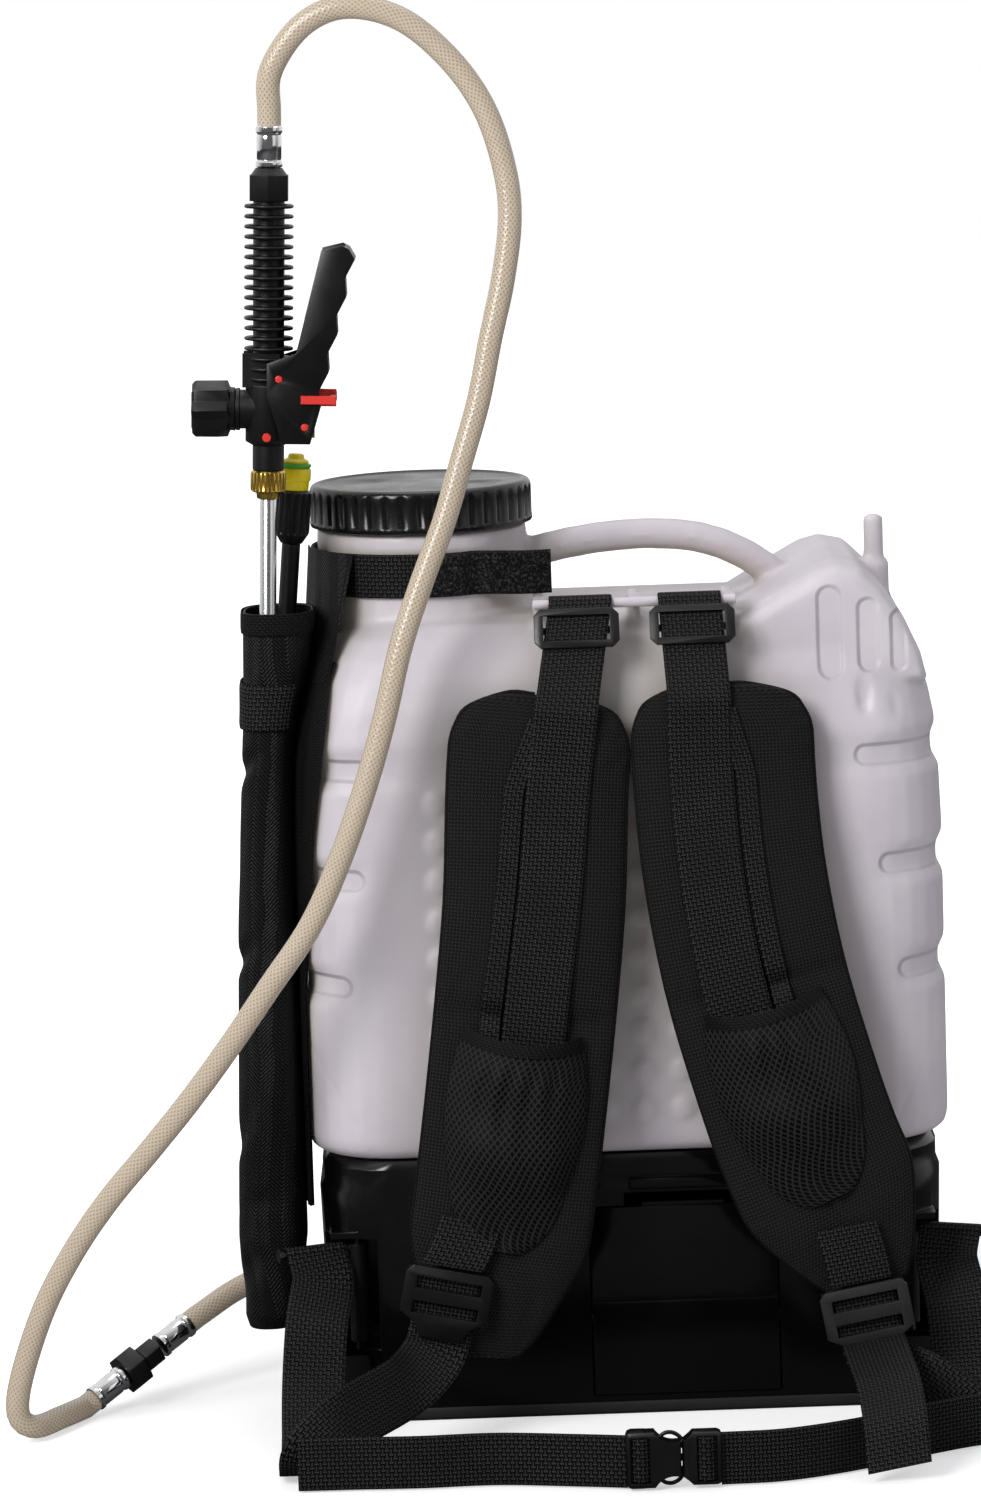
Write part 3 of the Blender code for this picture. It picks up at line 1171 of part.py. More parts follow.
def make_valve(wand):
    """The spring valve across the gun: stem with its slotted tongue, spring and fluted end cap."""
    stem = turned("valve_stem", [
        (0.0, 0.0), (STEM_HEAD_RADIUS, 0.0), (STEM_HEAD_RADIUS, STEM_HEAD_LENGTH), (STEM_RADIUS, STEM_HEAD_LENGTH),
        (STEM_RADIUS, STEM_END - STEM_HEAD_LEFT), (0.0, STEM_END - STEM_HEAD_LEFT)], 14)
    keep(stem, BRASS, wand)
    stem.location = (STEM_HEAD_LEFT, 0, VALVE_AXIS)
    stem.rotation_euler = (0, math.pi / 2, 0)
    tongue_low, tongue_high = LINK_Z - TONGUE_DROP, VALVE_AXIS + TONGUE_RISE
    tongue_left, tongue_right = STEM_END - STEM_LAP, LINK_X + TONGUE_END
    tongue = box("stem_tongue", (tongue_right - tongue_left, TONGUE_THICKNESS, tongue_high - tongue_low),
                 ((tongue_right + tongue_left) / 2, 0, (tongue_high + tongue_low) / 2))
    combine(stem, tool(tongue, wand), "UNION")
    slot_low, slot_high = LINK_Z - TRIGGER_PIN_RADIUS - LINK_PLAY, LINK_Z + TRIGGER_PIN_RADIUS + LINK_LIFT
    slot = box("stem_slot", (2 * (TRIGGER_PIN_RADIUS + LINK_PLAY), CUT, slot_high - slot_low),
               (LINK_X, 0, (slot_low + slot_high) / 2))
    combine(stem, tool(slot, wand), "DIFFERENCE")

    start = STEM_HEAD_LEFT + STEM_HEAD_LENGTH + GAP + SPRING_WIRE
    end = CHAMBER_END - GAP - SPRING_WIRE
    coil = []
    for i in range(SPRING_TURNS * 8 + 1):
        turn = 2 * math.pi * i / 8
        coil.append((start + (end - start) * i / (SPRING_TURNS * 8), SPRING_RADIUS * math.cos(turn),
                     VALVE_AXIS + SPRING_RADIUS * math.sin(turn)))
    print("valve spring gap between turns, mm:",
          round(((end - start) / SPRING_TURNS - 2 * SPRING_WIRE) * 1000, 2))
    keep(tube("valve_spring", coil, SPRING_WIRE, 0), STEEL, wand)

    inner = -BRANCH_LENGTH - GAP
    outer = inner - VALVE_CAP_LENGTH
    collar = VALVE_CAP_RADIUS - VALVE_CAP_COLLAR
    flutes, groove = VALVE_CAP_FLUTES, VALVE_CAP_GROOVE
    rings = [fluted_ring(collar, 0.0, flutes, 0.0), fluted_ring(collar, 0.0, flutes, VALVE_CAP_COLLAR_LENGTH),
             fluted_ring(VALVE_CAP_RADIUS, groove, flutes, VALVE_CAP_COLLAR_LENGTH + VALVE_CAP_SLOPE),
             fluted_ring(VALVE_CAP_RADIUS, groove, flutes, VALVE_CAP_LENGTH - VALVE_CAP_EDGE),
             fluted_ring(VALVE_CAP_RADIUS - VALVE_CAP_EDGE, groove, flutes, VALVE_CAP_LENGTH)]
    cap = keep(loft("valve_cap", rings), BLACK_PLASTIC, wand)
    cap.location = (inner, 0, VALVE_AXIS)
    cap.rotation_euler = (0, -math.pi / 2, 0)
    dish = rod("valve_cap_dish", VALVE_CAP_RADIUS - VALVE_CAP_RIM, 2 * VALVE_CAP_DISH, (outer, 0, VALVE_AXIS), "X",
               16)
    combine(cap, tool(dish, wand), "DIFFERENCE")


def lever_outline():
    """The trigger seen from the side, from its top left corner, with four finger waves on its right edge."""
    outline = [*LEVER_BACK, (LEVER_BACK[-1][0], PIVOT_Z - LEVER_TOE),
               (LEVER_HEEL_X, LINK_Z - LEVER_TOE), (LEVER_TOE_X, LINK_Z - LEVER_TOE)]
    low, high = LEVER_EDGE_LOW, LEVER_EDGE_HIGH
    for i in range(LEVER_STEPS + 1):
        share = i / LEVER_STEPS
        wave = LEVER_WAVE * math.cos(share * LEVER_WAVES * 2 * math.pi)
        outline.append((low[0] + (high[0] - low[0]) * share + wave, low[1] + (high[1] - low[1]) * share))
    return [*outline, *LEVER_TIP]


def make_trigger(wand):
    """The trigger lever, a channel that straddles the gun, with its pins and the sliding lock tab."""
    lever = plate("trigger_lever", [(x - PIVOT_X, z - PIVOT_Z) for x, z in lever_outline()], LEVER_WIDTH)
    keep(lever, BLACK_PLASTIC, wand)
    lever.location = (PIVOT_X, 0, PIVOT_Z)
    lever.rotation_euler = (math.pi / 2, 0, 0)
    low, high = LEVER_EDGE_LOW, LEVER_EDGE_HIGH
    lean = math.atan2(high[0] - low[0], high[1] - low[1])
    reach = LEVER_TOP - LEVER_BACK[-1][1]
    web_x, web_z = (low[0] + high[0]) / 2 - LEVER_WAVE - LEVER_WEB, (low[1] + high[1]) / 2
    channel = box("lever_channel", (reach, LEVER_WIDTH - 2 * LEVER_CHEEK, 3 * reach),
                  (web_x - reach / 2 * math.cos(lean), 0, web_z + reach / 2 * math.sin(lean)))
    channel.rotation_euler = (0, lean, 0)
    combine(lever, tool(channel, wand), "DIFFERENCE")
    fork_top = LOCK_Z - LOCK_SIZE[2] / 2 - GAP
    fork = box("lever_fork", (2 * reach, LEVER_WIDTH - 2 * LEVER_CHEEK, reach), (0, 0, fork_top - reach / 2))
    combine(lever, tool(fork, wand), "DIFFERENCE")
    for name, x, z in (("pivot", PIVOT_X, PIVOT_Z), ("link", LINK_X, LINK_Z)):
        hole = rod(f"lever_{name}_hole", TRIGGER_PIN_RADIUS + GAP, LEVER_WIDTH + CUT, (x, 0, z), "Y", 12)
        combine(lever, tool(hole, wand), "DIFFERENCE")
    lock_middle = (LOCK_LEFT + LOCK_SIZE[0] / 2, 0, LOCK_Z)
    slot = box("lever_lock_slot", (reach, LOCK_SIZE[1] + 2 * GAP, LOCK_SIZE[2] + 2 * GAP), lock_middle)
    combine(lever, tool(slot, wand), "DIFFERENCE")

    pin_length = LEVER_WIDTH + PIN_PROUD
    for name, x, z in (("trigger_pivot_pin", PIVOT_X, PIVOT_Z), ("stem_link_pin", LINK_X, LINK_Z)):
        keep(rod(name, TRIGGER_PIN_RADIUS, pin_length, (x, 0, z), "Y", 12), RED_PLASTIC, wand)

    lock = keep(box("trigger_lock", LOCK_SIZE, lock_middle), RED_PLASTIC, wand)
    window = box("lock_window", LOCK_WINDOW, (lock_middle[0] + LOCK_WINDOW_SHIFT, 0, LOCK_Z))
    combine(lock, tool(window, wand), "DIFFERENCE")


def make_lance(wand):
    """The steel lance with its brass union nut above and its nozzle below."""
    lance = turned("lance_tube", [(LANCE_BORE, LANCE_FOOT), (LANCE_RADIUS, LANCE_FOOT), (LANCE_RADIUS, LANCE_TOP),
                                  (LANCE_BORE, LANCE_TOP)], 14, True)
    keep(lance, STEEL, wand)
    bore = LANCE_RADIUS + GAP
    high = LANCE_TOP
    low = high - LANCE_NUT_HEIGHT
    nut = turned("lance_nut", [
        (bore, low - LANCE_NUT_TAIL), (bore + LANCE_NUT_TAIL_WALL, low - LANCE_NUT_TAIL),
        (LANCE_NUT_RADIUS - LANCE_NUT_SHOULDER, low), (LANCE_NUT_RADIUS, low + LANCE_NUT_EDGE),
        (LANCE_NUT_RADIUS, high - LANCE_NUT_EDGE), (LANCE_NUT_RADIUS - LANCE_NUT_EDGE, high), (bore, high)], 12, True)
    keep(nut, BRASS, wand)
    nozzle = turned("lance_nozzle", [
        (JET_BORE, LANCE_FOOT - JET_LENGTH), (JET_FACE, LANCE_FOOT - JET_LENGTH),
        (JET_RADIUS, LANCE_FOOT - JET_LENGTH + JET_CONE), (JET_RADIUS, LANCE_FOOT - GAP),
        (JET_BORE, LANCE_FOOT - GAP)], 14, True)
    keep(nozzle, BRASS, wand)


def make_spare_lance():
    """The spare plastic lance that stands in the holster, with a ribbed collar, a nozzle and its ring."""
    spare = empty("spare_axis", SPARE_TOP, SPARE_TILT)
    nozzle_low = -NOZZLE_LENGTH
    collar_high = nozzle_low - GAP
    collar_low = collar_high - COLLAR_LENGTH
    nozzle = turned("spare_nozzle", [
        (0.0, nozzle_low), (NOZZLE_RADIUS, nozzle_low), *[(NOZZLE_RADIUS - draw, -drop) for draw, drop in NOZZLE_TIP],
        (0.0, 0.0)], 20)
    keep(nozzle, YELLOW_PLASTIC, spare)
    tail_low = collar_low - COLLAR_TAIL
    rings = [fluted_ring(SPARE_RADIUS + COLLAR_TAIL_WALL, 0.0, COLLAR_RIBS, tail_low),
             fluted_ring(COLLAR_RADIUS, COLLAR_GROOVE, COLLAR_RIBS, collar_low),
             fluted_ring(COLLAR_RADIUS, COLLAR_GROOVE, COLLAR_RIBS, collar_high - COLLAR_EDGE),
             fluted_ring(COLLAR_RADIUS - COLLAR_ROUND, 0.0, COLLAR_RIBS, collar_high)]
    keep(loft("spare_collar", rings), BLACK_PLASTIC, spare)
    tube_high = tail_low - GAP
    length = SPARE_LENGTH + tube_high
    keep(rod("spare_lance_tube", SPARE_RADIUS, length, (0, 0, tube_high - length / 2), "Z", 14), BLACK_PLASTIC, spare)


# Holster

def bag_ring(height, inset=0.0):
    """The pouch's oval outline at a height above the ground, drawn in by an inset."""
    left = SIDE_X - np.interp(height, BAG_HEIGHTS, BAG_OUTER)
    right = SIDE_X - np.interp(height, BAG_HEIGHTS, BAG_INNER)
    depth = BAG_DEPTH - np.interp(height, BAG_HEIGHTS[:len(BAG_FOOT_DRAW)], BAG_FOOT_DRAW)
    ring = []
    for i in range(BAG_SIDES):
        angle = 2 * math.pi * i / BAG_SIDES
        c, s = math.cos(angle), math.sin(angle)
        x = (left + right) / 2 + ((right - left) / 2 - inset) * math.copysign(abs(c) ** BAG_SQUARENESS, c)
        y = BAG_CENTRE_Y + (depth / 2 - inset) * math.copysign(abs(s) ** BAG_SQUARENESS, s)
        ring.append((x, y, float(height)))
    return ring


def flap_edge(height):
    """X of the flap's bound edge on the tank's corner."""
    return SIDE_X + float(np.interp(height, FLAP_EDGE_HEIGHTS, FLAP_EDGE_REACHES))


def flap_row(height):
    """Points from the tank's side round its front left corner to the flap's edge, straight down below the tank."""
    inset = tank_inset(max(height, TANK_BOTTOM + FOOT_ROUND))
    middle_x = TANK_CORNER + inset + SIDE_X
    middle_y = TANK_CORNER + inset + SIDE_FRONT
    reach = TANK_CORNER + FLAP_LIFT
    row = [(middle_x - reach, BAG_CENTRE_Y + FLAP_BACK, height)]
    last = math.acos((middle_x - flap_edge(height)) / TANK_CORNER)
    for i in range(FLAP_STEPS + 1):
        angle = last * i / FLAP_STEPS
        row.append((middle_x - reach * math.cos(angle), middle_y - reach * math.sin(angle), height))
    return row


def make_bag():
    """The holster: an open pouch beside the tank with a flap that lies on the tank's corner."""
    bag = keep(loft("wand_bag", [bag_ring(height) for height in BAG_HEIGHTS]), FABRIC)
    rows = [flap_row(height) for height in FLAP_HEIGHTS]
    combine(bag, tool(sheet("bag_flap", rows, BAG_WALL)), "UNION")
    hollow_heights = [height + BAG_FLOOR for height in BAG_HEIGHTS[:2]] + list(BAG_HEIGHTS[2:-1])
    hollow_heights.append(BAG_MOUTH + CUT)
    hollow = loft("bag_hollow", [bag_ring(height, BAG_WALL) for height in hollow_heights])
    combine(bag, tool(hollow), "DIFFERENCE")


def make_bag_straps():
    """The strap round the filler neck and the band round the pouch."""
    radius = NECK_RADIUS + NECK_STRAP_PLAY
    height = BAG_MOUTH + NECK_STRAP_RISE + NECK_STRAP_WIDTH / 2
    centres = [(NECK_X + x, y, height) for x, y in NECK_STRAP_END]
    for degrees in range(*NECK_STRAP_SWEEP):
        angle = math.radians(degrees)
        centres.append((NECK_X + radius * math.cos(angle), radius * math.sin(angle), height))
    keep(ribbon("bag_neck_strap", centres, [(0, 0, 1)] * len(centres), NECK_STRAP_WIDTH), FABRIC)

    out = -WEBBING_THICKNESS / 2 - WEBBING_PLAY
    first, last = WRAP_STRAP_SPAN
    edges = [bag_ring(WRAP_STRAP_HEIGHT + side * WRAP_STRAP_WIDTH / 2, out)[first:last] for side in (-1, 1)]
    keep(sheet("bag_wrap_strap", edges, WEBBING_THICKNESS), FABRIC)


# Shoulder harness

PAD_ROWS = 25


class Strap:
    """A pad's centre line with its frame: along, across to the right, and out to the wearer."""

    def __init__(self, route):
        self.centres = smooth_line(route, PAD_ROWS)
        tangents = np.gradient(self.centres, axis=0)
        self.along = tangents / np.linalg.norm(tangents, axis=1)[:, None]
        across = np.cross(np.array([0.0, -1.0, 0.0]), self.along)
        self.across = across / np.linalg.norm(across, axis=1)[:, None]
        self.out = np.cross(self.along, self.across)

    def size(self, share):
        """Width and thickness of the pad at a share of its length."""
        end = min(share, 1 - share)
        round_off = math.sqrt(max(0.0, 1 - (1 - min(1.0, end / PAD_ROUND)) ** 2))
        width = PAD_WIDTH * (PAD_END_WIDTH + (1 - PAD_END_WIDTH) * round_off)
        width *= 1 - PAD_TAPER * ease((share - PAD_TAPER_START) / (1 - PAD_TAPER_START))
        seam = PAD_SEAM_DRAW * math.exp(-((share - PAD_SEAM) / PAD_SEAM_WIDTH) ** 2)
        return width, PAD_THICKNESS * (PAD_END_THICKNESS + (1 - PAD_END_THICKNESS) * round_off) * (1 - seam)

    def surface(self, share, offset):
        """Height of the pad's face above its centre line, at an offset across."""
        width, thickness = self.size(share)
        edge = min(0.999, abs(2 * offset / width))
        return thickness / 2 * (1 - edge ** PAD_CROWN) ** (1 / PAD_CROWN)

    def point(self, share, offset, lift):
        """A world point at a share of the length, across and out from the centre line."""
        spot = share * (PAD_ROWS - 1)
        row = min(int(spot), PAD_ROWS - 2)
        blend = spot - row
        pick = [(1 - blend) * values[row] + blend * values[row + 1]
                for values in (self.centres, self.across, self.out)]
        return tuple(float(v) for v in pick[0] + offset * pick[1] + lift * pick[2])

    def direction(self, share):
        """The direction across the pad at a share of its length."""
        row = round(share * (PAD_ROWS - 1))
        return tuple(float(v) for v in self.across[row])


def make_pad(name, strap):
    """A padded shoulder strap: crowned on both faces, drawn in at its ends and along its seam."""
    rings = []
    for share in PAD_SHARES:
        width, thickness = strap.size(share)
        ring = []
        for i in range(PAD_SIDES):
            angle = 2 * math.pi * i / PAD_SIDES
            c, s = math.cos(angle), math.sin(angle)
            offset = width / 2 * math.copysign(abs(c) ** (2 / PAD_CROWN), c)
            lift = thickness / 2 * math.copysign(abs(s) ** (2 / PAD_CROWN), s)
            ring.append(strap.point(share, offset, lift))
        rings.append(ring)
    keep(loft(name, rings), FABRIC)


def make_pocket(name, strap):
    """A mesh pocket that bulges from the pad and is open at its top."""
    rows = []
    for i in range(POCKET_ROWS + 1):
        down = i / POCKET_ROWS
        share = POCKET_TOP + (POCKET_END - POCKET_TOP) * down
        fill = 1 - ease((down - POCKET_FILL_END) / (1 - POCKET_FILL_END))
        half = POCKET_WIDTH / 2 * (1 - POCKET_NARROWS * ease(2 * down - 1))
        row = []
        for j in range(2 * POCKET_HALF_COLUMNS + 1):
            offset = half * (j / POCKET_HALF_COLUMNS - 1)
            bulge = POCKET_BULGE * (1 - (offset / half) ** 2) * (POCKET_SLACK + (1 - POCKET_SLACK) * fill)
            base = strap.surface(share, 0.0 if abs(offset) < POCKET_FLAT else offset)
            row.append(strap.point(share, offset, base + POCKET_WALL + bulge))
        rows.append(row)
    keep(sheet(name, rows, POCKET_WALL), MESH_FABRIC)


def squared(centres, across):
    """The across directions, turned square to the run of the centres."""
    tangents = np.gradient(np.array([tuple(c) for c in centres]), axis=0)
    tangents /= np.linalg.norm(tangents, axis=1)[:, None]
    square = np.array([tuple(a) for a in across], float)
    square -= tangents * np.sum(square * tangents, axis=1)[:, None]
    square /= np.linalg.norm(square, axis=1)[:, None]
    return [Vector(direction) for direction in square]


def make_upper_webbing(name, strap, rail_x, offsets):
    """The webbing that is sewn round the tank's rail and runs down the pad into its pocket."""
    rail_height = LEDGE_HEIGHT + RAIL_RISE
    reach = RAIL_RADIUS + GAP + WEBBING_THICKNESS / 2 + RAIL_PLAY
    centres, across = [], []
    for degrees in range(*RAIL_TURN):
        angle = math.radians(degrees)
        centres.append((rail_x, RAIL_Y - reach * math.cos(angle), rail_height + reach * math.sin(angle)))
        across.append((1, 0, 0))
    loop_end = len(centres)
    lift = PAD_THICKNESS / 2 + WEBBING_THICKNESS / 2 + 2 * GAP
    for i in range(UPPER_STEPS + 1):
        share = UPPER_START + (POCKET_TOP + POCKET_TUCK - UPPER_START) * i / UPPER_STEPS
        offset = offsets[0] + (offsets[1] - offsets[0]) * ease(share / POCKET_TOP)
        centres.append(strap.point(share, offset, lift))
        across.append(strap.direction(share))
    run = Vector(centres[loop_end]) - Vector(centres[loop_end - 1])
    stay = Vector(centres[loop_end - 1]) + run * UPPER_STAY
    centres.insert(loop_end, tuple(stay))
    across.insert(loop_end, (1, 0, 0))
    keep(ribbon(name, centres, across, WEBBING_WIDTH), FABRIC)
    return Vector(centres[loop_end - 1]) + run.normalized() * GLIDE_DROP, run


def oriented(obj, centre, across, along):
    """Place a piece with its X across and its Y against a strap's run."""
    x_axis = Vector(across).normalized()
    z_axis = x_axis.cross(-Vector(along)).normalized()
    y_axis = z_axis.cross(x_axis)
    rotation = [[x_axis[k], y_axis[k], z_axis[k]] for k in range(3)]
    turn = np.array(rotation)
    obj.rotation_euler = matrix_euler(turn)
    obj.location = centre
    return obj


def matrix_euler(turn):
    """Euler angles in XYZ order of a rotation matrix."""
    y = math.asin(max(-1.0, min(1.0, -turn[2][0])))
    x = math.atan2(turn[2][1], turn[2][2])
    z = math.atan2(turn[1][0], turn[0][0])
    return (x, y, z)


def rectangle(width, height, shift=(0.0, 0.0), corner=0.0):
    """A rectangle's corner points, cut off at the corners if a corner is given."""
    w, h = width / 2, height / 2
    points = [(w - corner, -h), (w, -h + corner), (w, h - corner), (w - corner, h),
              (-w + corner, h), (-w, h - corner), (-w, -h + corner), (-w + corner, -h)]
    if corner == 0.0:
        points = [(w, -h), (w, h), (-w, h), (-w, -h)]
    return [(x + shift[0], y + shift[1]) for x, y in points]


def make_glide(name, centre, across, along):
    """A tri-glide: a frame in front of the webbing and a middle bar behind it."""
    width, height = GLIDE_SIZE
    inner = rectangle(WEBBING_WIDTH + SLIDER_PLAY, height - 2 * GLIDE_BAR)
    front = WEBBING_THICKNESS / 2 + WEBBING_PLAY
    frame = plate(name, rectangle(width, height, (0, 0), GLIDE_CORNER), GLIDE_RAIL, 0.0, (inner[::-1],))
    keep(frame, MATTE_PLASTIC)
    carrier = empty(f"{name}_seat", (0, 0, 0))
    oriented(carrier, centre, across, along)
    frame.parent = carrier
    frame.location = (0, 0, front + GLIDE_RAIL / 2)
    bar_back = -WEBBING_THICKNESS / 2 - WEBBING_PLAY - BAR_THICKNESS
    bar = box(f"{name}_bar", (width - BAR_INSET, GLIDE_BAR, BAR_THICKNESS), (0, 0, bar_back + BAR_THICKNESS / 2))
    combine(frame, tool(bar, carrier), "UNION")
    for side in (-1, 1):
        x = side * (WEBBING_WIDTH + SLIDER_PLAY + GLIDE_CHEEK) / 2
        high = front + GLIDE_RAIL - GLIDE_CHEEK_STEP
        cheek = box(f"{name}_cheek_{side}", (GLIDE_CHEEK, GLIDE_BAR + GLIDE_CHEEK_EXTRA, high - bar_back),
                    (x, 0, (high + bar_back) / 2))
        combine(frame, tool(cheek, carrier), "UNION")


def make_ladder_lock(name, centre, across, along):
    """A ladder lock: a toothed frame over the webbing, a bar behind it and a lifting tab."""
    width, height = LADDER_SIZE
    front = WEBBING_THICKNESS / 2 + WEBBING_PLAY
    half, top = width / 2, height / 2
    root, tip = half - LADDER_TAB_INSETS[0], half - LADDER_TAB_INSETS[1]
    tab = [(root, -top), (half, LADDER_SHOULDER - top), (half, top - LADDER_CORNER), (half - LADDER_CORNER, top),
           (LADDER_CORNER - half, top), (-half, top - LADDER_CORNER), (-half, LADDER_SHOULDER - top), (-root, -top),
           (-tip, -top - LADDER_TAB), (tip, -top - LADDER_TAB)]
    upper = rectangle(WEBBING_WIDTH + SLIDER_PLAY, LADDER_SLOT, (0, LADDER_SLOT_SHIFT))
    lower = rectangle(WEBBING_WIDTH + SLIDER_PLAY, LADDER_SLOT, (0, -LADDER_SLOT_SHIFT))
    frame = plate(name, tab, LADDER_THICKNESS, 0.0, (upper[::-1], lower[::-1]))
    keep(frame, MATTE_PLASTIC)
    carrier = empty(f"{name}_seat", (0, 0, 0))
    oriented(carrier, centre, across, along)
    frame.parent = carrier
    frame.location = (0, 0, front + LADDER_THICKNESS / 2)
    bar_back = -WEBBING_THICKNESS / 2 - WEBBING_PLAY - BAR_THICKNESS
    bar_y = top - LADDER_BAR_DROP
    bar = box(f"{name}_bar", (width - BAR_INSET, LADDER_BAR, BAR_THICKNESS), (0, bar_y, bar_back + BAR_THICKNESS / 2))
    combine(frame, tool(bar, carrier), "UNION")
    for side in (-1, 1):
        x = side * (WEBBING_WIDTH + SLIDER_PLAY + LADDER_BAR) / 2
        high = front + LADDER_THICKNESS - LADDER_CHEEK_STEP
        cheek = box(f"{name}_cheek_{side}", (LADDER_BAR, LADDER_BAR, high - bar_back),
                    (x, bar_y, (high + bar_back) / 2))
        combine(frame, tool(cheek, carrier), "UNION")


# Lower webbing, hooks and waist belt

HOOK_HEAD = (math.cos(math.radians(HOOK_SWEEP)), -math.sin(math.radians(HOOK_SWEEP)))
HOOK_ARM_Z = PIN_MIDDLE + HOOK_HEIGHT / 2 - HOOK_ARM_RADIUS


def hook_point(side, reach):
    """A point on a hook's arm, at a distance from the pin."""
    return (side * (PIN_X + HOOK_HEAD[0] * reach), PIN_Y + HOOK_HEAD[1] * reach, HOOK_ARM_Z)


def make_hook(name, side):
    """A strap hook: a sleeve on the base's pin with an arm that carries the webbing and a stop at its end."""
    low = PIN_MIDDLE - HOOK_HEIGHT / 2
    high = PIN_MIDDLE + HOOK_HEIGHT / 2
    inner, outer = PIN_RADIUS + GAP, PIN_RADIUS + HOOK_SLEEVE
    hook = keep(turned(name, [(inner, low), (outer, low), (outer, high), (inner, high)], 14, True), MATTE_PLASTIC)
    hook.location = (side * PIN_X, PIN_Y, 0)
    arm = tube(f"{name}_arm", [hook_point(side, PIN_RADIUS + HOOK_LAP), hook_point(side, HOOK_REACH)], HOOK_ARM_RADIUS)
    combine(hook, tool(solid_mesh(arm)), "UNION")
    stop = tube(f"{name}_stop", [hook_point(side, HOOK_REACH - HOOK_STOP), hook_point(side, HOOK_REACH)],
                HOOK_ARM_RADIUS + HOOK_STOP_RISE)
    combine(hook, tool(solid_mesh(stop)), "UNION")


def arm_loop(side):
    """The webbing's turn over a hook's arm, from below and behind it to its front, and a straight drop."""
    front = Vector((side * HOOK_HEAD[1], -HOOK_HEAD[0], 0))
    middle = Vector(hook_point(side, (HOOK_REACH + PIN_RADIUS + HOOK_SLEEVE - HOOK_STOP) / 2))
    reach = HOOK_ARM_RADIUS + GAP + WEBBING_THICKNESS / 2
    turn = []
    for degrees in range(*ARM_TURN):
        angle = math.radians(degrees)
        turn.append(middle + front * reach * math.cos(angle) + Vector((0, 0, 1)) * reach * math.sin(angle))
    drop = turn[-1] + front * ARM_DROP[0] - Vector((0, 0, ARM_DROP[1]))
    return turn, drop, Vector((HOOK_HEAD[0], side * HOOK_HEAD[1], 0))


def make_lower_webbing(name, side, route, count):
    """Slack webbing that hangs from a hook's arm to the ground and rises to a ladder lock."""
    loop, drop, arm = arm_loop(side)
    points = [loop[-1], drop] + [Vector(point) for point, _ in route]
    turns = [arm, arm] + [Vector(across) for _, across in route]
    run = smooth_line(points, count)
    spans = np.linalg.norm(np.diff(np.array([tuple(p) for p in points]), axis=0), axis=1)
    keys = np.concatenate([[0], np.cumsum(spans)]) / spans.sum()
    spread = np.linspace(0, 1, count)
    across = np.stack([np.interp(spread, keys, [turn[k] for turn in turns]) for k in range(3)], axis=1)
    centres = loop[:-1] + [Vector(c) for c in run]
    directions = squared(centres, [arm] * (len(loop) - 1) + [Vector(a) for a in across])
    return keep(ribbon(name, centres, directions, WEBBING_WIDTH), FABRIC)


def make_belt(name, route):
    """A waist belt half that stands on its edge on the ground."""
    middle = BELT_LIFT + BELT_WIDTH / 2
    centres = smooth_line([(x, y, middle) for x, y in route], 16)
    keep(ribbon(name, [tuple(c) for c in centres], [(0, 0, 1)] * 16, BELT_WIDTH), FABRIC)


def make_buckle():
    """The side-release buckle: a hollow socket and a tongue with two spring prongs and a guide."""
    left, y = BUCKLE_LEFT
    middle = BELT_LIFT + BUCKLE_HEIGHT / 2
    socket_length = BUCKLE_LENGTH * SOCKET_SHARE
    socket = box("buckle_socket", (socket_length, BUCKLE_THICKNESS, BUCKLE_HEIGHT),
                 (left + socket_length / 2, y, middle), BUCKLE_BEVEL)
    keep(socket, MATTE_PLASTIC)
    end_wall, face_wall, edge_wall = SOCKET_WALLS
    hollow = box("socket_hollow", (socket_length, BUCKLE_THICKNESS - 2 * face_wall, BUCKLE_HEIGHT - 2 * edge_wall),
                 (left + socket_length / 2 + end_wall, y, middle))
    combine(socket, tool(hollow), "DIFFERENCE")
    for side in (-1, 1):
        window = box(f"socket_window_{side}", SOCKET_WINDOW,
                     (left + socket_length * SOCKET_WINDOW_SHARE, y, middle + side * BUCKLE_HEIGHT / 2))
        combine(socket, tool(window), "DIFFERENCE")
    face = left + socket_length + GAP
    tongue_length = BUCKLE_LENGTH - socket_length - GAP
    tongue = box("buckle_tongue", (tongue_length, BUCKLE_THICKNESS - TONGUE_INSET, BUCKLE_HEIGHT - 2 * TONGUE_INSET),
                 (face + tongue_length / 2, y, middle), BUCKLE_BEVEL)
    keep(tongue, MATTE_PLASTIC)
    prong = socket_length * PRONG_SHARE
    for side in (-1, 0, 1):
        height = GUIDE_HEIGHT if side == 0 else PRONG_WIDTH
        arm = box(f"tongue_arm_{side}", (prong, PRONG_WIDTH, height),
                  (face - prong / 2 + PRONG_ROOT, y, middle + side * PRONG_SPREAD))
        combine(tongue, tool(arm), "UNION")


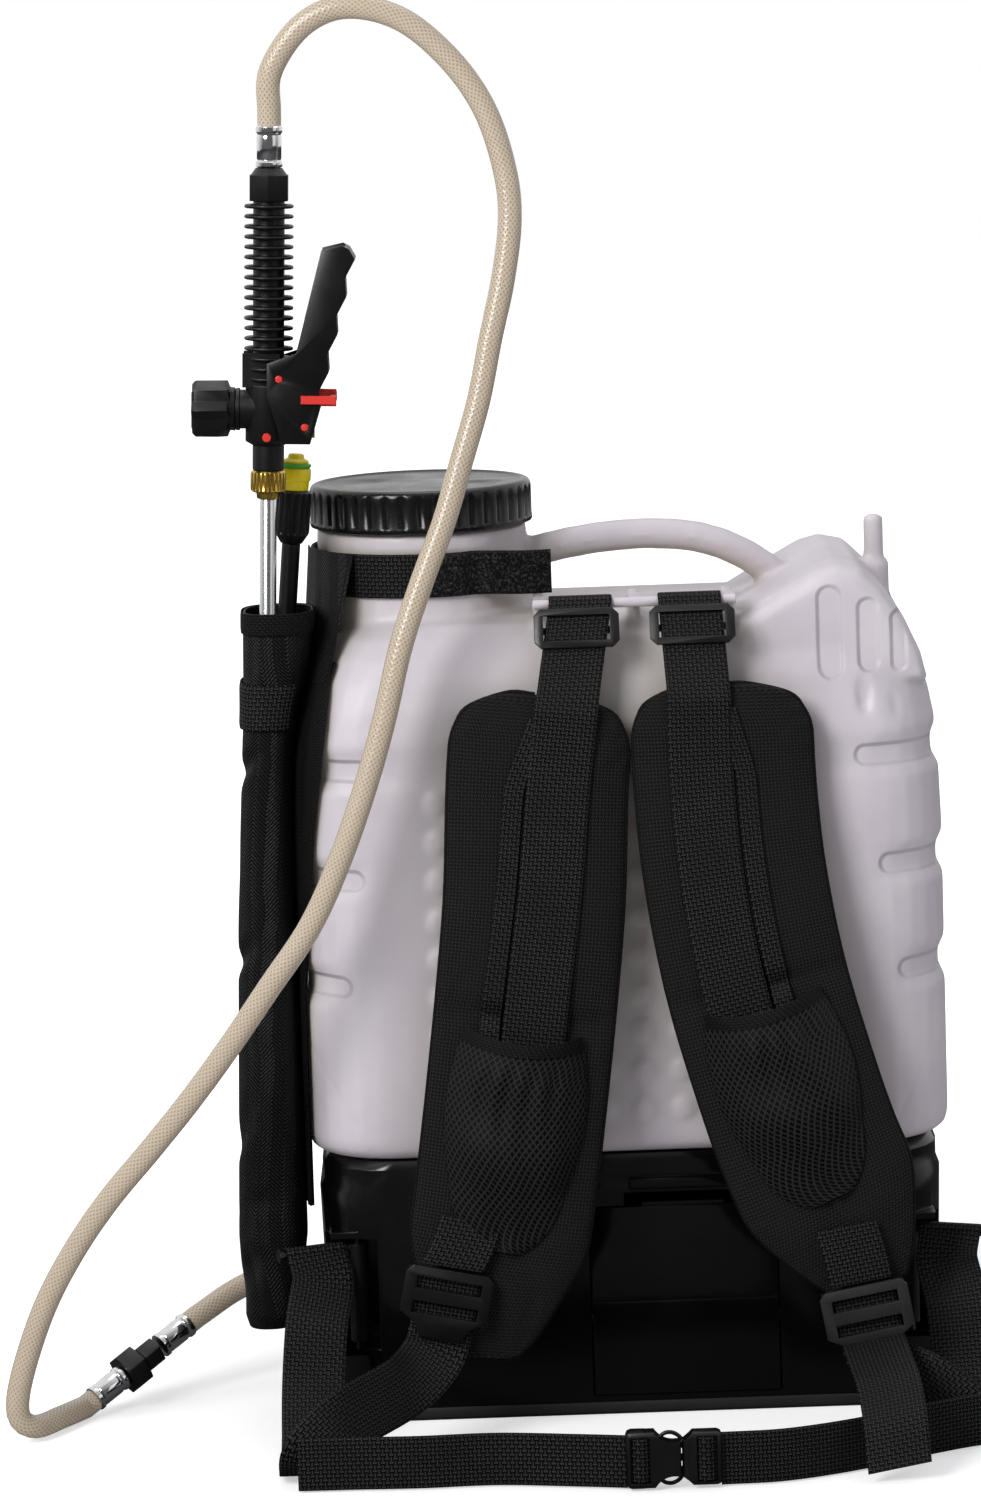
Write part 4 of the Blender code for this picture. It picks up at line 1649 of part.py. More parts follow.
def make_harness():
    """Both shoulder straps with their fittings, the lower webbing, hooks and belt."""
    for name, side, route, rail_x, offsets in (
            ("left", -1, LEFT_PAD_ROUTE, LEFT_RAIL_X, LEFT_WEBBING_OFFSETS),
            ("right", 1, RIGHT_PAD_ROUTE, RIGHT_RAIL_X, RIGHT_WEBBING_OFFSETS)):
        strap = Strap(route)
        make_pad(f"{name}_shoulder_pad", strap)
        make_pocket(f"{name}_mesh_pocket", strap)
        seat, along = make_upper_webbing(f"{name}_upper_webbing", strap, rail_x, offsets)
        make_glide(f"{name}_tri_glide", seat, (1, 0, 0), along)
        make_hook(f"{name}_strap_hook", side)
    make_ladder_lock("left_ladder_lock", LEFT_LOCK, LEFT_LOCK_ACROSS, LEFT_LOCK_ALONG)
    make_ladder_lock("right_ladder_lock", RIGHT_LOCK, RIGHT_LOCK_ACROSS, RIGHT_LOCK_ALONG)
    make_lower_webbing("left_lower_webbing", -1, LEFT_LOWER, 34)
    make_lower_webbing("right_lower_webbing", 1, RIGHT_LOWER, 28)
    tail = smooth_line(TAIL_ROUTE, 14)
    keep(ribbon("right_webbing_tail", [tuple(c) for c in tail], [RIGHT_LOCK_ACROSS] * 14, WEBBING_WIDTH), FABRIC)
    make_belt("left_belt", LEFT_BELT)
    make_belt("right_belt", RIGHT_BELT)
    make_buckle()


# Hose

def make_hose(wand):
    """The spray hose from the gun to the coupling, the coupling with a ferrule each side, and the tail to the base."""
    bpy.context.view_layer.update()
    top = GRIP_TOP + 3 * GAP + HOSE_NUT_HEIGHT + FERRULE_LENGTH
    start = wand.matrix_world @ Vector((0, 0, top))
    heading = Vector(COUPLING_HEADING).normalized()
    middle = Vector(COUPLING_MIDDLE)
    half = COUPLING_LENGTH / 2
    entry = middle - heading * (half + FERRULE_LENGTH + 2 * GAP)
    leave = middle + heading * (half + FERRULE_LENGTH + 2 * GAP)
    lead = wand.matrix_world.to_3x3() @ Vector((0, 0, HOSE_RADIUS))
    run = led_line(start, HOSE_ROUTE, entry, lead, heading * HOSE_RADIUS, 46)
    keep(tube("spray_hose", run, HOSE_RADIUS), HOSE_PVC)
    spout = (-BASE_WIDTH / 2 - OUTLET_STUB - GAP, OUTLET_Y, OUTLET_HEIGHT)
    rear = led_line(leave, TAIL_HOSE_ROUTE, spout, heading * HOSE_RADIUS, (HOSE_RADIUS, 0, 0), 10)
    keep(tube("hose_tail", rear, HOSE_RADIUS), HOSE_PVC)
    turn = heading.to_track_quat("Z", "Y").to_euler()
    for name, spot in (("lower_ferrule", entry + heading * GAP), ("upper_ferrule", middle + heading * (half + GAP))):
        sleeve = keep(ferrule(name), CHROME)
        sleeve.location = spot
        sleeve.rotation_euler = turn
    nut = COUPLING_RADIUS
    waist = nut - COUPLING_STEP
    profile = [(nut - COUPLING_STEP, -half), (nut, COUPLING_EDGE - half), (nut, -COUPLING_EDGE), (waist, 0.0),
               (waist, half - COUPLING_EDGE), (waist - COUPLING_EDGE, half)]
    rings = [fluted_ring(radius, 0.0, 3, height) for radius, height in profile]
    coupling = keep(loft("hose_coupling", rings), BLACK_PLASTIC)
    coupling.location = middle
    coupling.rotation_euler = turn


wand = empty("wand_axis", WAND_FOOT, WAND_TILT)
make_tank()
make_strainer()
make_gasket()
make_cap()
make_vent()
make_base_shell()
make_base_plate()
make_battery_cover()
make_battery_and_pump()
make_controls()
make_gun(wand)
make_valve(wand)
make_trigger(wand)
make_lance(wand)
make_spare_lance()
make_bag()
make_bag_straps()
make_harness()
make_hose(wand)
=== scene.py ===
# %% [markdown]
# # A battery knapsack sprayer, dressed on its CAD frame
# The CAD model gives every piece its place and its joint. This lesson gives the pieces the looks of the
# real thing: a milky blow-moulded tank on a gloss black base, a padded harness, a holster with a trigger
# gun, and a braided hose. Sizes are in metres, X to the right, Y away from the camera, Z up.

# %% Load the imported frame
import math

import bmesh
import bpy
import numpy as np
from mathutils import Matrix, Vector
from mathutils.bvhtree import BVHTree


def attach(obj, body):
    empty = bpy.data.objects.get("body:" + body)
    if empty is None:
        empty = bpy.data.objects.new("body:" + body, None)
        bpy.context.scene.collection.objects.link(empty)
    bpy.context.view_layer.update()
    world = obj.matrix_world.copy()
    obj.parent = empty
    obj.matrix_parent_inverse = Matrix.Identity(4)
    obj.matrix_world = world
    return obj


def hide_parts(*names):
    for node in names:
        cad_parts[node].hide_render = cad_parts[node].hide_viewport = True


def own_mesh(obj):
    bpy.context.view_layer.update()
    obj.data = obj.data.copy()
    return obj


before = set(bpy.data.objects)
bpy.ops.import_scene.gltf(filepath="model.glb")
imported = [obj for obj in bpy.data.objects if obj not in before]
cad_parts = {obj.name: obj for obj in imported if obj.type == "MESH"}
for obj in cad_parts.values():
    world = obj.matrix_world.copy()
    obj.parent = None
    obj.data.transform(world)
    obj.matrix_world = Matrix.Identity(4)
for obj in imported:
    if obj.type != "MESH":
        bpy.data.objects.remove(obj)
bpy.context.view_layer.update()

# %% [markdown]
# ## Camera
# The photograph was taken with a long lens from about three metres, looking 9 degrees down and tilted 2
# degrees. A camera can be placed by eye or solved from known points. It was solved from the base's edges
# and the lid's ellipse, so that a size measured on the photograph lands on the CAD piece it belongs to.

# %% Camera
PHOTO_SIZE = (981, 1500)
FOCAL_PIXELS = 5167.0
CAMERA_PLACE = Vector((-0.0751, -3.1015, 0.8818))
CAMERA_PITCH = math.radians(9.0)
CAMERA_ROLL = math.radians(2.0)
SENSOR_HEIGHT = 36.0

forward = Vector((0.0, math.cos(CAMERA_PITCH), -math.sin(CAMERA_PITCH)))
level_right = Vector((1.0, 0.0, 0.0))
level_up = level_right.cross(forward)
right = math.cos(CAMERA_ROLL) * level_right - math.sin(CAMERA_ROLL) * level_up
up = math.sin(CAMERA_ROLL) * level_right + math.cos(CAMERA_ROLL) * level_up
lens = bpy.data.cameras.new("photo_camera")
lens.sensor_fit = "VERTICAL"
lens.sensor_height = SENSOR_HEIGHT
lens.lens = FOCAL_PIXELS / PHOTO_SIZE[1] * SENSOR_HEIGHT
camera = bpy.data.objects.new("photo_camera", lens)
bpy.context.scene.collection.objects.link(camera)
camera.matrix_world = Matrix.Translation(CAMERA_PLACE) @ Matrix((right, up, -forward)).transposed().to_4x4()
bpy.context.scene.camera = camera
print("lens in mm", round(lens.lens, 1))

# %% [markdown]
# ## Colours and nodes
# Colours are written as sRGB hex codes, as a paint chart gives them. Blender mixes light in linear values,
# so one function turns a code to linear. A second small function adds a node with its settings and links.


# %% Colour and node helpers
def linear(code):
    """An sRGB hex colour as linear red, green, blue and alpha."""
    channels = [int(code[i:i + 2], 16) / 255 for i in (0, 2, 4)]
    return (*[c / 12.92 if c <= 0.04045 else ((c + 0.055) / 1.055) ** 2.4 for c in channels], 1.0)


def lighter(code):
    """A hex colour a step lighter."""
    return "".join(f"{min(255, int(int(code[i:i + 2], 16) * 1.25) + 3):02x}" for i in (0, 2, 4))


def new_finish(name):
    """An empty node material with its Principled shader."""
    finish = bpy.data.materials.new(name)
    finish.use_nodes = True
    return finish, finish.node_tree.nodes["Principled BSDF"]


def add(finish, kind, links=None, **settings):
    """Add a shader node with its settings; a link's value is a socket to join or a plain value to set."""
    node = finish.node_tree.nodes.new("ShaderNode" + kind)
    for name, value in settings.items():
        setattr(node, name, value)
    join(finish, node, links or {})
    return node


def join(finish, node, links):
    """Join sockets to a node's inputs, or set the inputs' plain values."""
    for socket, value in links.items():
        if isinstance(value, bpy.types.NodeSocket):
            finish.node_tree.links.new(value, node.inputs[socket])
        else:
            node.inputs[socket].default_value = value


def millimetres(size):
    """The scale of a noise texture whose features are about so many millimetres."""
    return 1000.0 / size


def bands(size):
    """The scale of a wave texture whose bands repeat every so many millimetres."""
    return 2 * math.pi / 20 * 1000.0 / size


print("helpers ready")

# %% [markdown]
# ## Studio
# The photograph is a product shot on white, with soft light from the front left and above. A pale floor, a
# surround that is white for the camera, and three large lamps give that. Black plastic mirrors what is
# round it, so in reflections the surround is what a studio has: a white backdrop behind the object and a
# dark room on the camera's side, and the floor is dim there too. The floor adds light of its own for the
# camera only: little near the object, where its shadow lies, and more further off, where the photograph is
# plain white.


# %% Floor, surround and lamps
def pick(*pieces):
    """Select these pieces alone, the first of them active; with none, deselect everything."""
    bpy.ops.object.select_all(action="DESELECT")
    for piece in pieces:
        piece.select_set(True)
    if pieces:
        bpy.context.view_layer.objects.active = pieces[0]


scene = bpy.context.scene
scene.view_settings.view_transform = "Standard"
FLOOR_SIZE = 14.0
FLOOR_BACK = 2.0
NEAR_PAPER, FAR_PAPER = 0.28, 0.75
NEAR_GLOW, FAR_GLOW = 0.50, 1.1
pick()
bpy.ops.mesh.primitive_plane_add(size=FLOOR_SIZE, location=(0, FLOOR_BACK, 0))
floor = bpy.context.object
floor.name = "studio_floor"
bpy.ops.object.transform_apply(location=True)
paper, paper_shader = new_finish("white_paper")
paper_rays = add(paper, "LightPath")
paper_tone = add(paper, "Mix", {0: paper_rays.outputs["Is Glossy Ray"], 6: linear("e9e9ea"),
                                7: linear("5c5c5e")}, data_type="RGBA")
join(paper, paper_shader, {"Base Color": paper_tone.outputs[2], "Roughness": 0.9, "Specular IOR Level": 0.0})
paper_glow = add(paper, "Emission", {"Color": (1, 1, 1, 1)})
paper_place = add(paper, "TexCoord")
paper_away = add(paper, "VectorMath", {0: paper_place.outputs["Object"]}, operation="LENGTH")
paper_far = add(paper, "MapRange", {"Value": paper_away.outputs["Value"], "From Min": NEAR_PAPER,
                                    "From Max": FAR_PAPER, "To Min": NEAR_GLOW, "To Max": FAR_GLOW})
paper_level = add(paper, "Math", {0: paper_rays.outputs["Is Camera Ray"], 1: paper_far.outputs[0]},
                  operation="MULTIPLY")
join(paper, paper_glow, {"Strength": paper_level.outputs[0]})
paper_sum = add(paper, "AddShader", {0: paper_shader.outputs[0], 1: paper_glow.outputs[0]})
join(paper, paper.node_tree.nodes["Material Output"], {"Surface": paper_sum.outputs[0]})
floor.data.materials.append(paper)

AMBIENT = 0.34
DARK_ROOM, BACKDROP = 0.11, 0.80
TO_BACKDROP = (0.0, 0.85, 0.53)
ROOM_END, BACKDROP_START = -0.45, 0.40
surround = bpy.data.worlds.new("white_studio")
scene.world = surround
surround.use_nodes = True
ambient = surround.node_tree.nodes["Background"]
join(surround, ambient, {"Color": linear("f3f5fa"), "Strength": AMBIENT})
white = add(surround, "Background", {"Color": (1, 1, 1, 1), "Strength": 1.0})
heading = add(surround, "TexCoord")
behind = add(surround, "VectorMath", {0: heading.outputs["Generated"], 1: TO_BACKDROP},
             operation="DOT_PRODUCT")
studio = add(surround, "MapRange", {"Value": behind.outputs["Value"], "From Min": ROOM_END,
                                    "From Max": BACKDROP_START, "To Min": DARK_ROOM, "To Max": BACKDROP})
dim = add(surround, "Background", {"Color": (1, 1, 1, 1), "Strength": studio.outputs[0]})
rays = add(surround, "LightPath")
mirrored = add(surround, "MixShader", {0: rays.outputs["Is Glossy Ray"], 1: ambient.outputs[0],
                                       2: dim.outputs[0]})
shown = add(surround, "MixShader", {0: rays.outputs["Is Camera Ray"], 1: mirrored.outputs[0],
                                    2: white.outputs[0]})
join(surround, surround.node_tree.nodes["World Output"], {"Surface": shown.outputs[0]})

for lamp_name, place, aim, size, watts in (
        ("key_softbox", (-1.7, -2.3, 2.1), (0.0, 0.0, 0.35), 1.3, 68.0),
        ("fill_softbox", (2.1, -2.0, 1.3), (0.0, 0.0, 0.3), 1.6, 4.5),
        ("top_softbox", (0.1, 0.5, 2.6), (0.0, 0.0, 0.3), 1.4, 8.5)):
    lamp = bpy.data.lights.new(lamp_name, "AREA")
    lamp.size = size
    lamp.energy = watts
    softbox = bpy.data.objects.new(lamp_name, lamp)
    scene.collection.objects.link(softbox)
    softbox.location = place
    softbox.rotation_euler = (Vector(aim) - Vector(place)).to_track_quat("-Z", "Y").to_euler()
    print(lamp_name, watts, "W")

# %% [markdown]
# ## Shapes that follow a line
# Hoses, straps and pads are long soft pieces. They could be curves with a bevel, but a curve has no UV map
# for its weave. So each is a skin through rings of points, with a UV map in metres: across, then along.


# %% Skins through rings of points
FINE_STEPS = 24
SIDE_HINT = (0.3, 1.0, 0.2)


def smooth_line(points, count):
    """Evenly spaced points on a smooth curve through the given points, as in the CAD source."""
    knots = np.array(points, float)
    padded = np.vstack([2 * knots[0] - knots[1], knots, 2 * knots[-1] - knots[-2]])
    fine = []
    for i in range(len(knots) - 1):
        a, b, c, d = padded[i:i + 4]
        for t in np.linspace(0, 1, FINE_STEPS, endpoint=False):
            fine.append(0.5 * (2 * b + (c - a) * t + (2 * a - 5 * b + 4 * c - d) * t ** 2
                               + (3 * b - a - 3 * c + d) * t ** 3))
    fine.append(knots[-1])
    fine = np.array(fine)
    distance = lengths_along(fine)
    wanted = np.linspace(0, distance[-1], count)
    return np.stack([np.interp(wanted, distance, fine[:, k]) for k in range(3)], axis=1)


def lengths_along(line):
    """Distance along a line at each of its points."""
    steps = np.linalg.norm(np.diff(np.array(line, float), axis=0), axis=1)
    return np.concatenate([[0.0], np.cumsum(steps)])


def unit(vectors):
    """Vectors of length one."""
    vectors = np.array(vectors, float)
    return vectors / np.linalg.norm(vectors, axis=-1, keepdims=True)


def new_piece(name, points, faces, places, finish):
    """A mesh object from points, faces and one UV place for each corner, with faces outwards."""
    mesh = bpy.data.meshes.new(name)
    mesh.from_pydata([tuple(p) for p in points], [], [tuple(int(c) for c in f) for f in faces])
    layer = mesh.uv_layers.new(name="metres")
    layer.data.foreach_set("uv", np.array(places, np.float32).ravel())
    bm = bmesh.new()
    bm.from_mesh(mesh)
    bmesh.ops.recalc_face_normals(bm, faces=bm.faces)
    bm.to_mesh(mesh)
    bm.free()
    mesh.materials.append(finish)
    piece = bpy.data.objects.new(name, mesh)
    scene.collection.objects.link(piece)
    smooth(piece)
    return piece


def smooth(piece, degrees=40.0):
    """Shade a piece smooth, with edges sharper than an angle left hard."""
    pick(piece)
    bpy.ops.object.shade_smooth_by_angle(angle=math.radians(degrees))


def lofted(name, rings, across, along, finish):
    """A closed skin through rings; across has one more value than a ring has points, for the seam."""
    rings = np.array(rings, float)
    rows, columns = rings.shape[:2]
    across = np.broadcast_to(np.array(across, float), (rows, columns + 1))
    faces, places = [], []
    for i in range(rows - 1):
        for j in range(columns):
            k = (j + 1) % columns
            faces.append((i * columns + j, i * columns + k, (i + 1) * columns + k, (i + 1) * columns + j))
            places += [(across[i, j], along[i]), (across[i, j + 1], along[i]),
                       (across[i + 1, j + 1], along[i + 1]), (across[i + 1, j], along[i + 1])]
    for row in (0, rows - 1):
        faces.append([row * columns + j for j in range(columns)])
        places += [(across[row, j], along[row]) for j in range(columns)]
    return new_piece(name, rings.reshape(-1, 3), faces, places, finish)


def hose_skin(name, path, radius, finish, around=28):
    """A round tube along a path, its frame carried along without twist."""
    path = np.array(path, float)
    tangents = unit(np.gradient(path, axis=0))
    side = unit(np.cross(tangents[0], SIDE_HINT))
    turns = np.linspace(0, 2 * math.pi, around, endpoint=False)
    rings = []
    for point, tangent in zip(path, tangents):
        side = unit(side - tangent * np.dot(side, tangent))
        up_side = np.cross(tangent, side)
        rings.append([point + radius * (math.cos(a) * side + math.sin(a) * up_side) for a in turns])
    across = np.linspace(0, 2 * math.pi * radius, around + 1)
    return lofted(name, rings, across, lengths_along(path), finish)


def dress(piece, slot, *nodes, body="sprayer"):
    """Let a piece stand for CAD nodes: it rides on their body and hides them; the slot is not used."""
    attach(piece, body)
    if nodes:
        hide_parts(*nodes)
    return piece


print("skins ready")

# %% [markdown]
# ## Hose finish
# The hose is soft PVC with a polyester braid inside it: cream, a little see-through, with a diamond net of
# yarn. The yarns could be modelled, but they lie under the surface, so two crossed wave patterns on the UV
# map draw them. The real yarns are about 1.5 mm apart, which is too fine to show, so the net is drawn at
# 2.2 mm.


# %% Braided PVC
BRAID_MM = 2.2
YARN_ANGLE = math.radians(38.0)


def crossed_yarns(finish, pitch_mm, **yarn):
    """Two sets of yarn that cross on the UV map, as one height; extra settings go to each set's wave."""
    place = add(finish, "TexCoord")
    sets = []
    for angle in (YARN_ANGLE, -YARN_ANGLE):
        slanted = add(finish, "Mapping", {"Vector": place.outputs["UV"], "Rotation": (0, 0, angle)})
        sets.append(add(finish, "TexWave", {"Vector": slanted.outputs[0], "Scale": bands(pitch_mm), **yarn},
                        bands_direction="X"))
    return add(finish, "Math", {0: sets[0].outputs["Fac"], 1: sets[1].outputs["Fac"]}, operation="MAXIMUM")


braided_pvc, shader = new_finish("braided_pvc")
net = crossed_yarns(braided_pvc, BRAID_MM, Distortion=0.4, Detail=1.0)
yarn_colour = add(braided_pvc, "Mix", {0: net.outputs[0], 6: linear("a5937c"), 7: linear("d6c7b2")},
                  data_type="RGBA")
bump = add(braided_pvc, "Bump", {"Height": net.outputs[0], "Strength": 0.25, "Distance": 0.0004})
join(braided_pvc, shader, {"Base Color": yarn_colour.outputs[2], "Roughness": 0.2, "IOR": 1.53,
                           "Subsurface Weight": 0.25, "Subsurface Radius": (1.0, 0.8, 0.5),
                           "Subsurface Scale": 0.003, "Normal": bump.outputs[0]})
print("braid pitch", BRAID_MM, "mm")

# %% [markdown]
# ## Metal finishes
# Chrome plate on the ferrules is nearly a mirror. Drawn stainless tube has fine lines along it, and turned
# brass has fine rings round it. Each gets a metal shader, with its lines as a stretched noise in its tone
# and gloss.

# %% Chrome, stainless steel and brass
METAL_LINES_MM = 0.8
metals = {}
for name, code, roughness, stretch in (("chrome_plate", "dcdde0", 0.09, (1.0, 1.0, 1.0)),
                                       ("drawn_stainless_steel", "c9cbce", 0.20, (1.0, 1.0, 0.02)),
                                       ("turned_brass", "d6ae55", 0.26, (0.05, 0.05, 1.0))):
    finish, shader = new_finish(name)
    place = add(finish, "TexCoord")
    stretched = add(finish, "Mapping", {"Vector": place.outputs["Object"], "Scale": stretch})
    lines = add(finish, "TexNoise", {"Vector": stretched.outputs[0], "Scale": millimetres(METAL_LINES_MM),
                                     "Detail": 3.0})
    spread = add(finish, "MapRange", {"Value": lines.outputs["Fac"], "To Min": roughness * 0.9,
                                      "To Max": roughness * 1.1})
    tone = add(finish, "Mix", {0: lines.outputs["Fac"], 6: linear(code), 7: linear(lighter(code))},
               data_type="RGBA")
    join(finish, shader, {"Base Color": tone.outputs[2], "Metallic": 1.0, "Roughness": spread.outputs[0]})
    metals[name] = finish
chrome = metals["chrome_plate"]
stainless = metals["drawn_stainless_steel"]
brass = metals["turned_brass"]
print("metals", len(metals))

# %% [markdown]
# ## Moulded plastic finishes
# The base is gloss ABS, the gun and buckles are glass-filled nylon with a dull skin, and the small red and
# yellow pieces are acetal. What tells them apart is how smooth the mould was. One function makes them: a
# fine grain that changes roughness and gives a faint bump, cloudy handling marks, and edges rounded for the
# light by a Bevel node.


# %% Moulded plastics
MARKS_MM = 34.0


def moulded(name, code, roughness, grain_mm, grain, edge_mm=0.5, marks=0.12):
    """A moulded plastic with a grain, cloudy marks and rounded edges."""
    finish, shader = new_finish(name)
    place = add(finish, "TexCoord")
    skin = add(finish, "TexNoise", {"Vector": place.outputs["Object"], "Scale": millimetres(grain_mm),
                                    "Detail": 4.0})
    cloud = add(finish, "TexNoise", {"Vector": place.outputs["Object"], "Scale": millimetres(MARKS_MM),
                                     "Detail": 5.0, "Roughness": 0.65})
    spread = add(finish, "MapRange", {"Value": cloud.outputs["Fac"], "From Min": 0.3, "From Max": 0.7,
                                      "To Min": roughness - marks / 2, "To Max": roughness + marks})
    light = add(finish, "MapRange", {"Value": cloud.outputs["Fac"], "From Min": 0.35, "From Max": 0.75,
                                     "To Min": 0.0, "To Max": 0.3})
    colour = add(finish, "Mix", {0: light.outputs[0], 6: linear(code), 7: linear(lighter(code))},
                 data_type="RGBA")
    edge = add(finish, "Bevel", {"Radius": edge_mm / 1000.0}, samples=4)
    bump = add(finish, "Bump", {"Height": skin.outputs["Fac"], "Strength": grain, "Distance": 0.0003,
                                "Normal": edge.outputs[0]})
    join(finish, shader, {"Base Color": colour.outputs[2], "Roughness": spread.outputs[0], "IOR": 1.52,
                          "Normal": bump.outputs[0]})
    return finish


gloss_abs = moulded("gloss_black_abs", "060607", 0.15, 5.0, 0.02, edge_mm=0.8, marks=0.10)
lid_plastic = moulded("black_polypropylene", "08080a", 0.24, 1.2, 0.06, edge_mm=0.6)
gun_nylon = moulded("glass_filled_nylon", "0a0a0b", 0.36, 0.9, 0.10)
buckle_nylon = moulded("dull_black_acetal", "0b0b0c", 0.34, 0.8, 0.10)
grey_nylon = moulded("worn_grey_acetal", "232120", 0.50, 0.8, 0.14)
inner_plastic = moulded("plain_black_plastic", "1c1c1e", 0.55, 1.0, 0.08)
red_acetal = moulded("red_acetal_resin", "e0342a", 0.34, 0.9, 0.05, edge_mm=0.4)
yellow_acetal = moulded("yellow_acetal", "f4dc12", 0.30, 0.9, 0.05, edge_mm=0.4)
green_acetal = moulded("green_acetal", "3fae3c", 0.32, 0.9, 0.05, edge_mm=0.4)
black_rubber = moulded("moulded_black_rubber", "1a1a1b", 0.75, 0.7, 0.12)
print("plastics ready")

# %% [markdown]
# ## Turned pieces
# Nuts, ferrules, nozzles, the lid and the ribbed grip are all round. By hand one draws half of the outline
# and spins it. A plane is merged to one vertex, the vertex is extruded along the outline, and Spin carries
# it round the axis. Doubles are then merged, the faces are turned outwards, and a matrix puts the piece
# where the CAD has it.


# %% Spin an outline
MERGE_DISTANCE = 0.00001


def turned(name, outline, finish, seat=Matrix(), steps=64, degrees=35.0):
    """Spin an outline of (radius, height) points about Z, then put it in its seat."""
    pick()
    bpy.ops.mesh.primitive_plane_add(size=0.001)
    piece = bpy.context.object
    piece.name = name
    piece.data.name = name
    bpy.ops.object.mode_set(mode="EDIT")
    bpy.ops.mesh.select_all(action="SELECT")
    bpy.ops.mesh.merge(type="CENTER")
    bpy.ops.transform.translate(value=(outline[0][0], 0, outline[0][1]))
    for (radius, height), (next_radius, next_height) in zip(outline, outline[1:]):
        step = (next_radius - radius, 0, next_height - height)
        bpy.ops.mesh.extrude_vertices_move(TRANSFORM_OT_translate={"value": step})
    bpy.ops.mesh.select_all(action="SELECT")
    bpy.ops.mesh.spin(steps=steps, angle=2 * math.pi, center=(0, 0, 0), axis=(0, 0, 1))
    bpy.ops.mesh.select_all(action="SELECT")
    bpy.ops.mesh.remove_doubles(threshold=MERGE_DISTANCE)
    bpy.ops.mesh.normals_make_consistent(inside=False)
    bpy.ops.object.mode_set(mode="OBJECT")
    piece.data.transform(seat)
    piece.data.materials.append(finish)
    smooth(piece, degrees)
    return piece


def coordinates(piece):
    """A mesh's points as an array."""
    points = np.empty(len(piece.data.vertices) * 3)
    piece.data.vertices.foreach_get("co", points)
    return points.reshape(-1, 3)


def move_points(piece, points):
    """Give a mesh new places for its points."""
    piece.data.vertices.foreach_set("co", np.array(points, float).ravel())
    piece.data.update()


print("spin ready")

# %% [markdown]
# ## Hose with its fittings
# The hose leaves the gun's ferrule, arches over the tank, hangs down in front of it and lies on the ground
# at the left, where a screw coupling joins it to a short tail that goes behind the holster to the base. The
# photograph shows it from end to end, so that is its length. The route repeats the CAD source's points. PVC
# hose of this size is stiff: it holds its arch.

# %% Hose route
GAP = 0.0003
HOSE_RADIUS = 0.0070
WAND_SEAT = Matrix.Translation((-0.2225, -0.076, 0.055)) @ Matrix.Rotation(math.radians(2.5), 4, "Y")
GRIP_TOP = 0.6765
HOSE_NUT_HEIGHT = 0.0190
FERRULE_LENGTH = 0.0240
COUPLING_MIDDLE = Vector((-0.301, -0.044, 0.0275))
COUPLING_HEADING = Vector((0.715, 0.55, 0.43)).normalized()
COUPLING_LENGTH = 0.030
SPOUT = Vector((-0.1993, 0.012, 0.072))
HOSE_ROUTE = [(-0.1890, -0.0765, 0.8060), (-0.1700, -0.0775, 0.8315), (-0.1440, -0.0790, 0.8415),
              (-0.1125, -0.0810, 0.8335), (-0.0848, -0.0840, 0.8095), (-0.0655, -0.0880, 0.7800),
              (-0.0552, -0.0920, 0.7455), (-0.0532, -0.0960, 0.7165), (-0.0585, -0.1010, 0.6820),
              (-0.0670, -0.1060, 0.6480), (-0.0750, -0.1110, 0.6135), (-0.0860, -0.1170, 0.5795),
              (-0.0970, -0.1230, 0.5460), (-0.1130, -0.1300, 0.5070), (-0.1255, -0.1360, 0.4725),
              (-0.1360, -0.1410, 0.4330), (-0.1490, -0.1450, 0.3925), (-0.1648, -0.1480, 0.3520),
              (-0.1835, -0.1490, 0.3140), (-0.2085, -0.1490, 0.2790), (-0.2335, -0.1470, 0.2440),
              (-0.2580, -0.1440, 0.2120), (-0.2830, -0.1400, 0.1820), (-0.3085, -0.1360, 0.1525),
              (-0.3310, -0.1310, 0.1210), (-0.3510, -0.1260, 0.0850), (-0.3665, -0.1230, 0.0430),
              (-0.3700, -0.1210, 0.0190), (-0.3610, -0.1150, 0.0095), (-0.3460, -0.0920, 0.0085)]
TAIL_ROUTE_POINT = (-0.2420, -0.0010, 0.0600)


def led_line(start, route, end, lead_in, lead_out, count):
    """A smooth line whose first and last stretch are straight, along a lead vector at each end."""
    inner = smooth_line([tuple(start + lead_in), *route, tuple(end - lead_out)], count - 2)
    return np.vstack([tuple(start), inner, tuple(end)])


hose_start = WAND_SEAT @ Vector((0, 0, GRIP_TOP + 3 * GAP + HOSE_NUT_HEIGHT + FERRULE_LENGTH))
half_joint = COUPLING_LENGTH / 2 + FERRULE_LENGTH + 2 * GAP
hose_end = COUPLING_MIDDLE - COUPLING_HEADING * half_joint
tail_start = COUPLING_MIDDLE + COUPLING_HEADING * half_joint
wand_lead = WAND_SEAT.to_3x3() @ Vector((0, 0, HOSE_RADIUS))
hose_path = led_line(hose_start, HOSE_ROUTE, hose_end, wand_lead, COUPLING_HEADING * HOSE_RADIUS, 260)
tail_path = led_line(tail_start, [TAIL_ROUTE_POINT], SPOUT, COUPLING_HEADING * HOSE_RADIUS,
                     Vector((HOSE_RADIUS, 0, 0)), 40)
spray_hose = hose_skin("braided_hose", hose_path, HOSE_RADIUS, braided_pvc)
hose_tail = hose_skin("braided_hose_tail", tail_path, HOSE_RADIUS, braided_pvc)
dress(spray_hose, "hose_pvc", "spray_hose")
dress(hose_tail, "hose_pvc", "hose_tail")

# %% [markdown]
# A ferrule is a short chromed sleeve that is pressed onto the hose. Its ends roll out and two crimps pull
# it in.

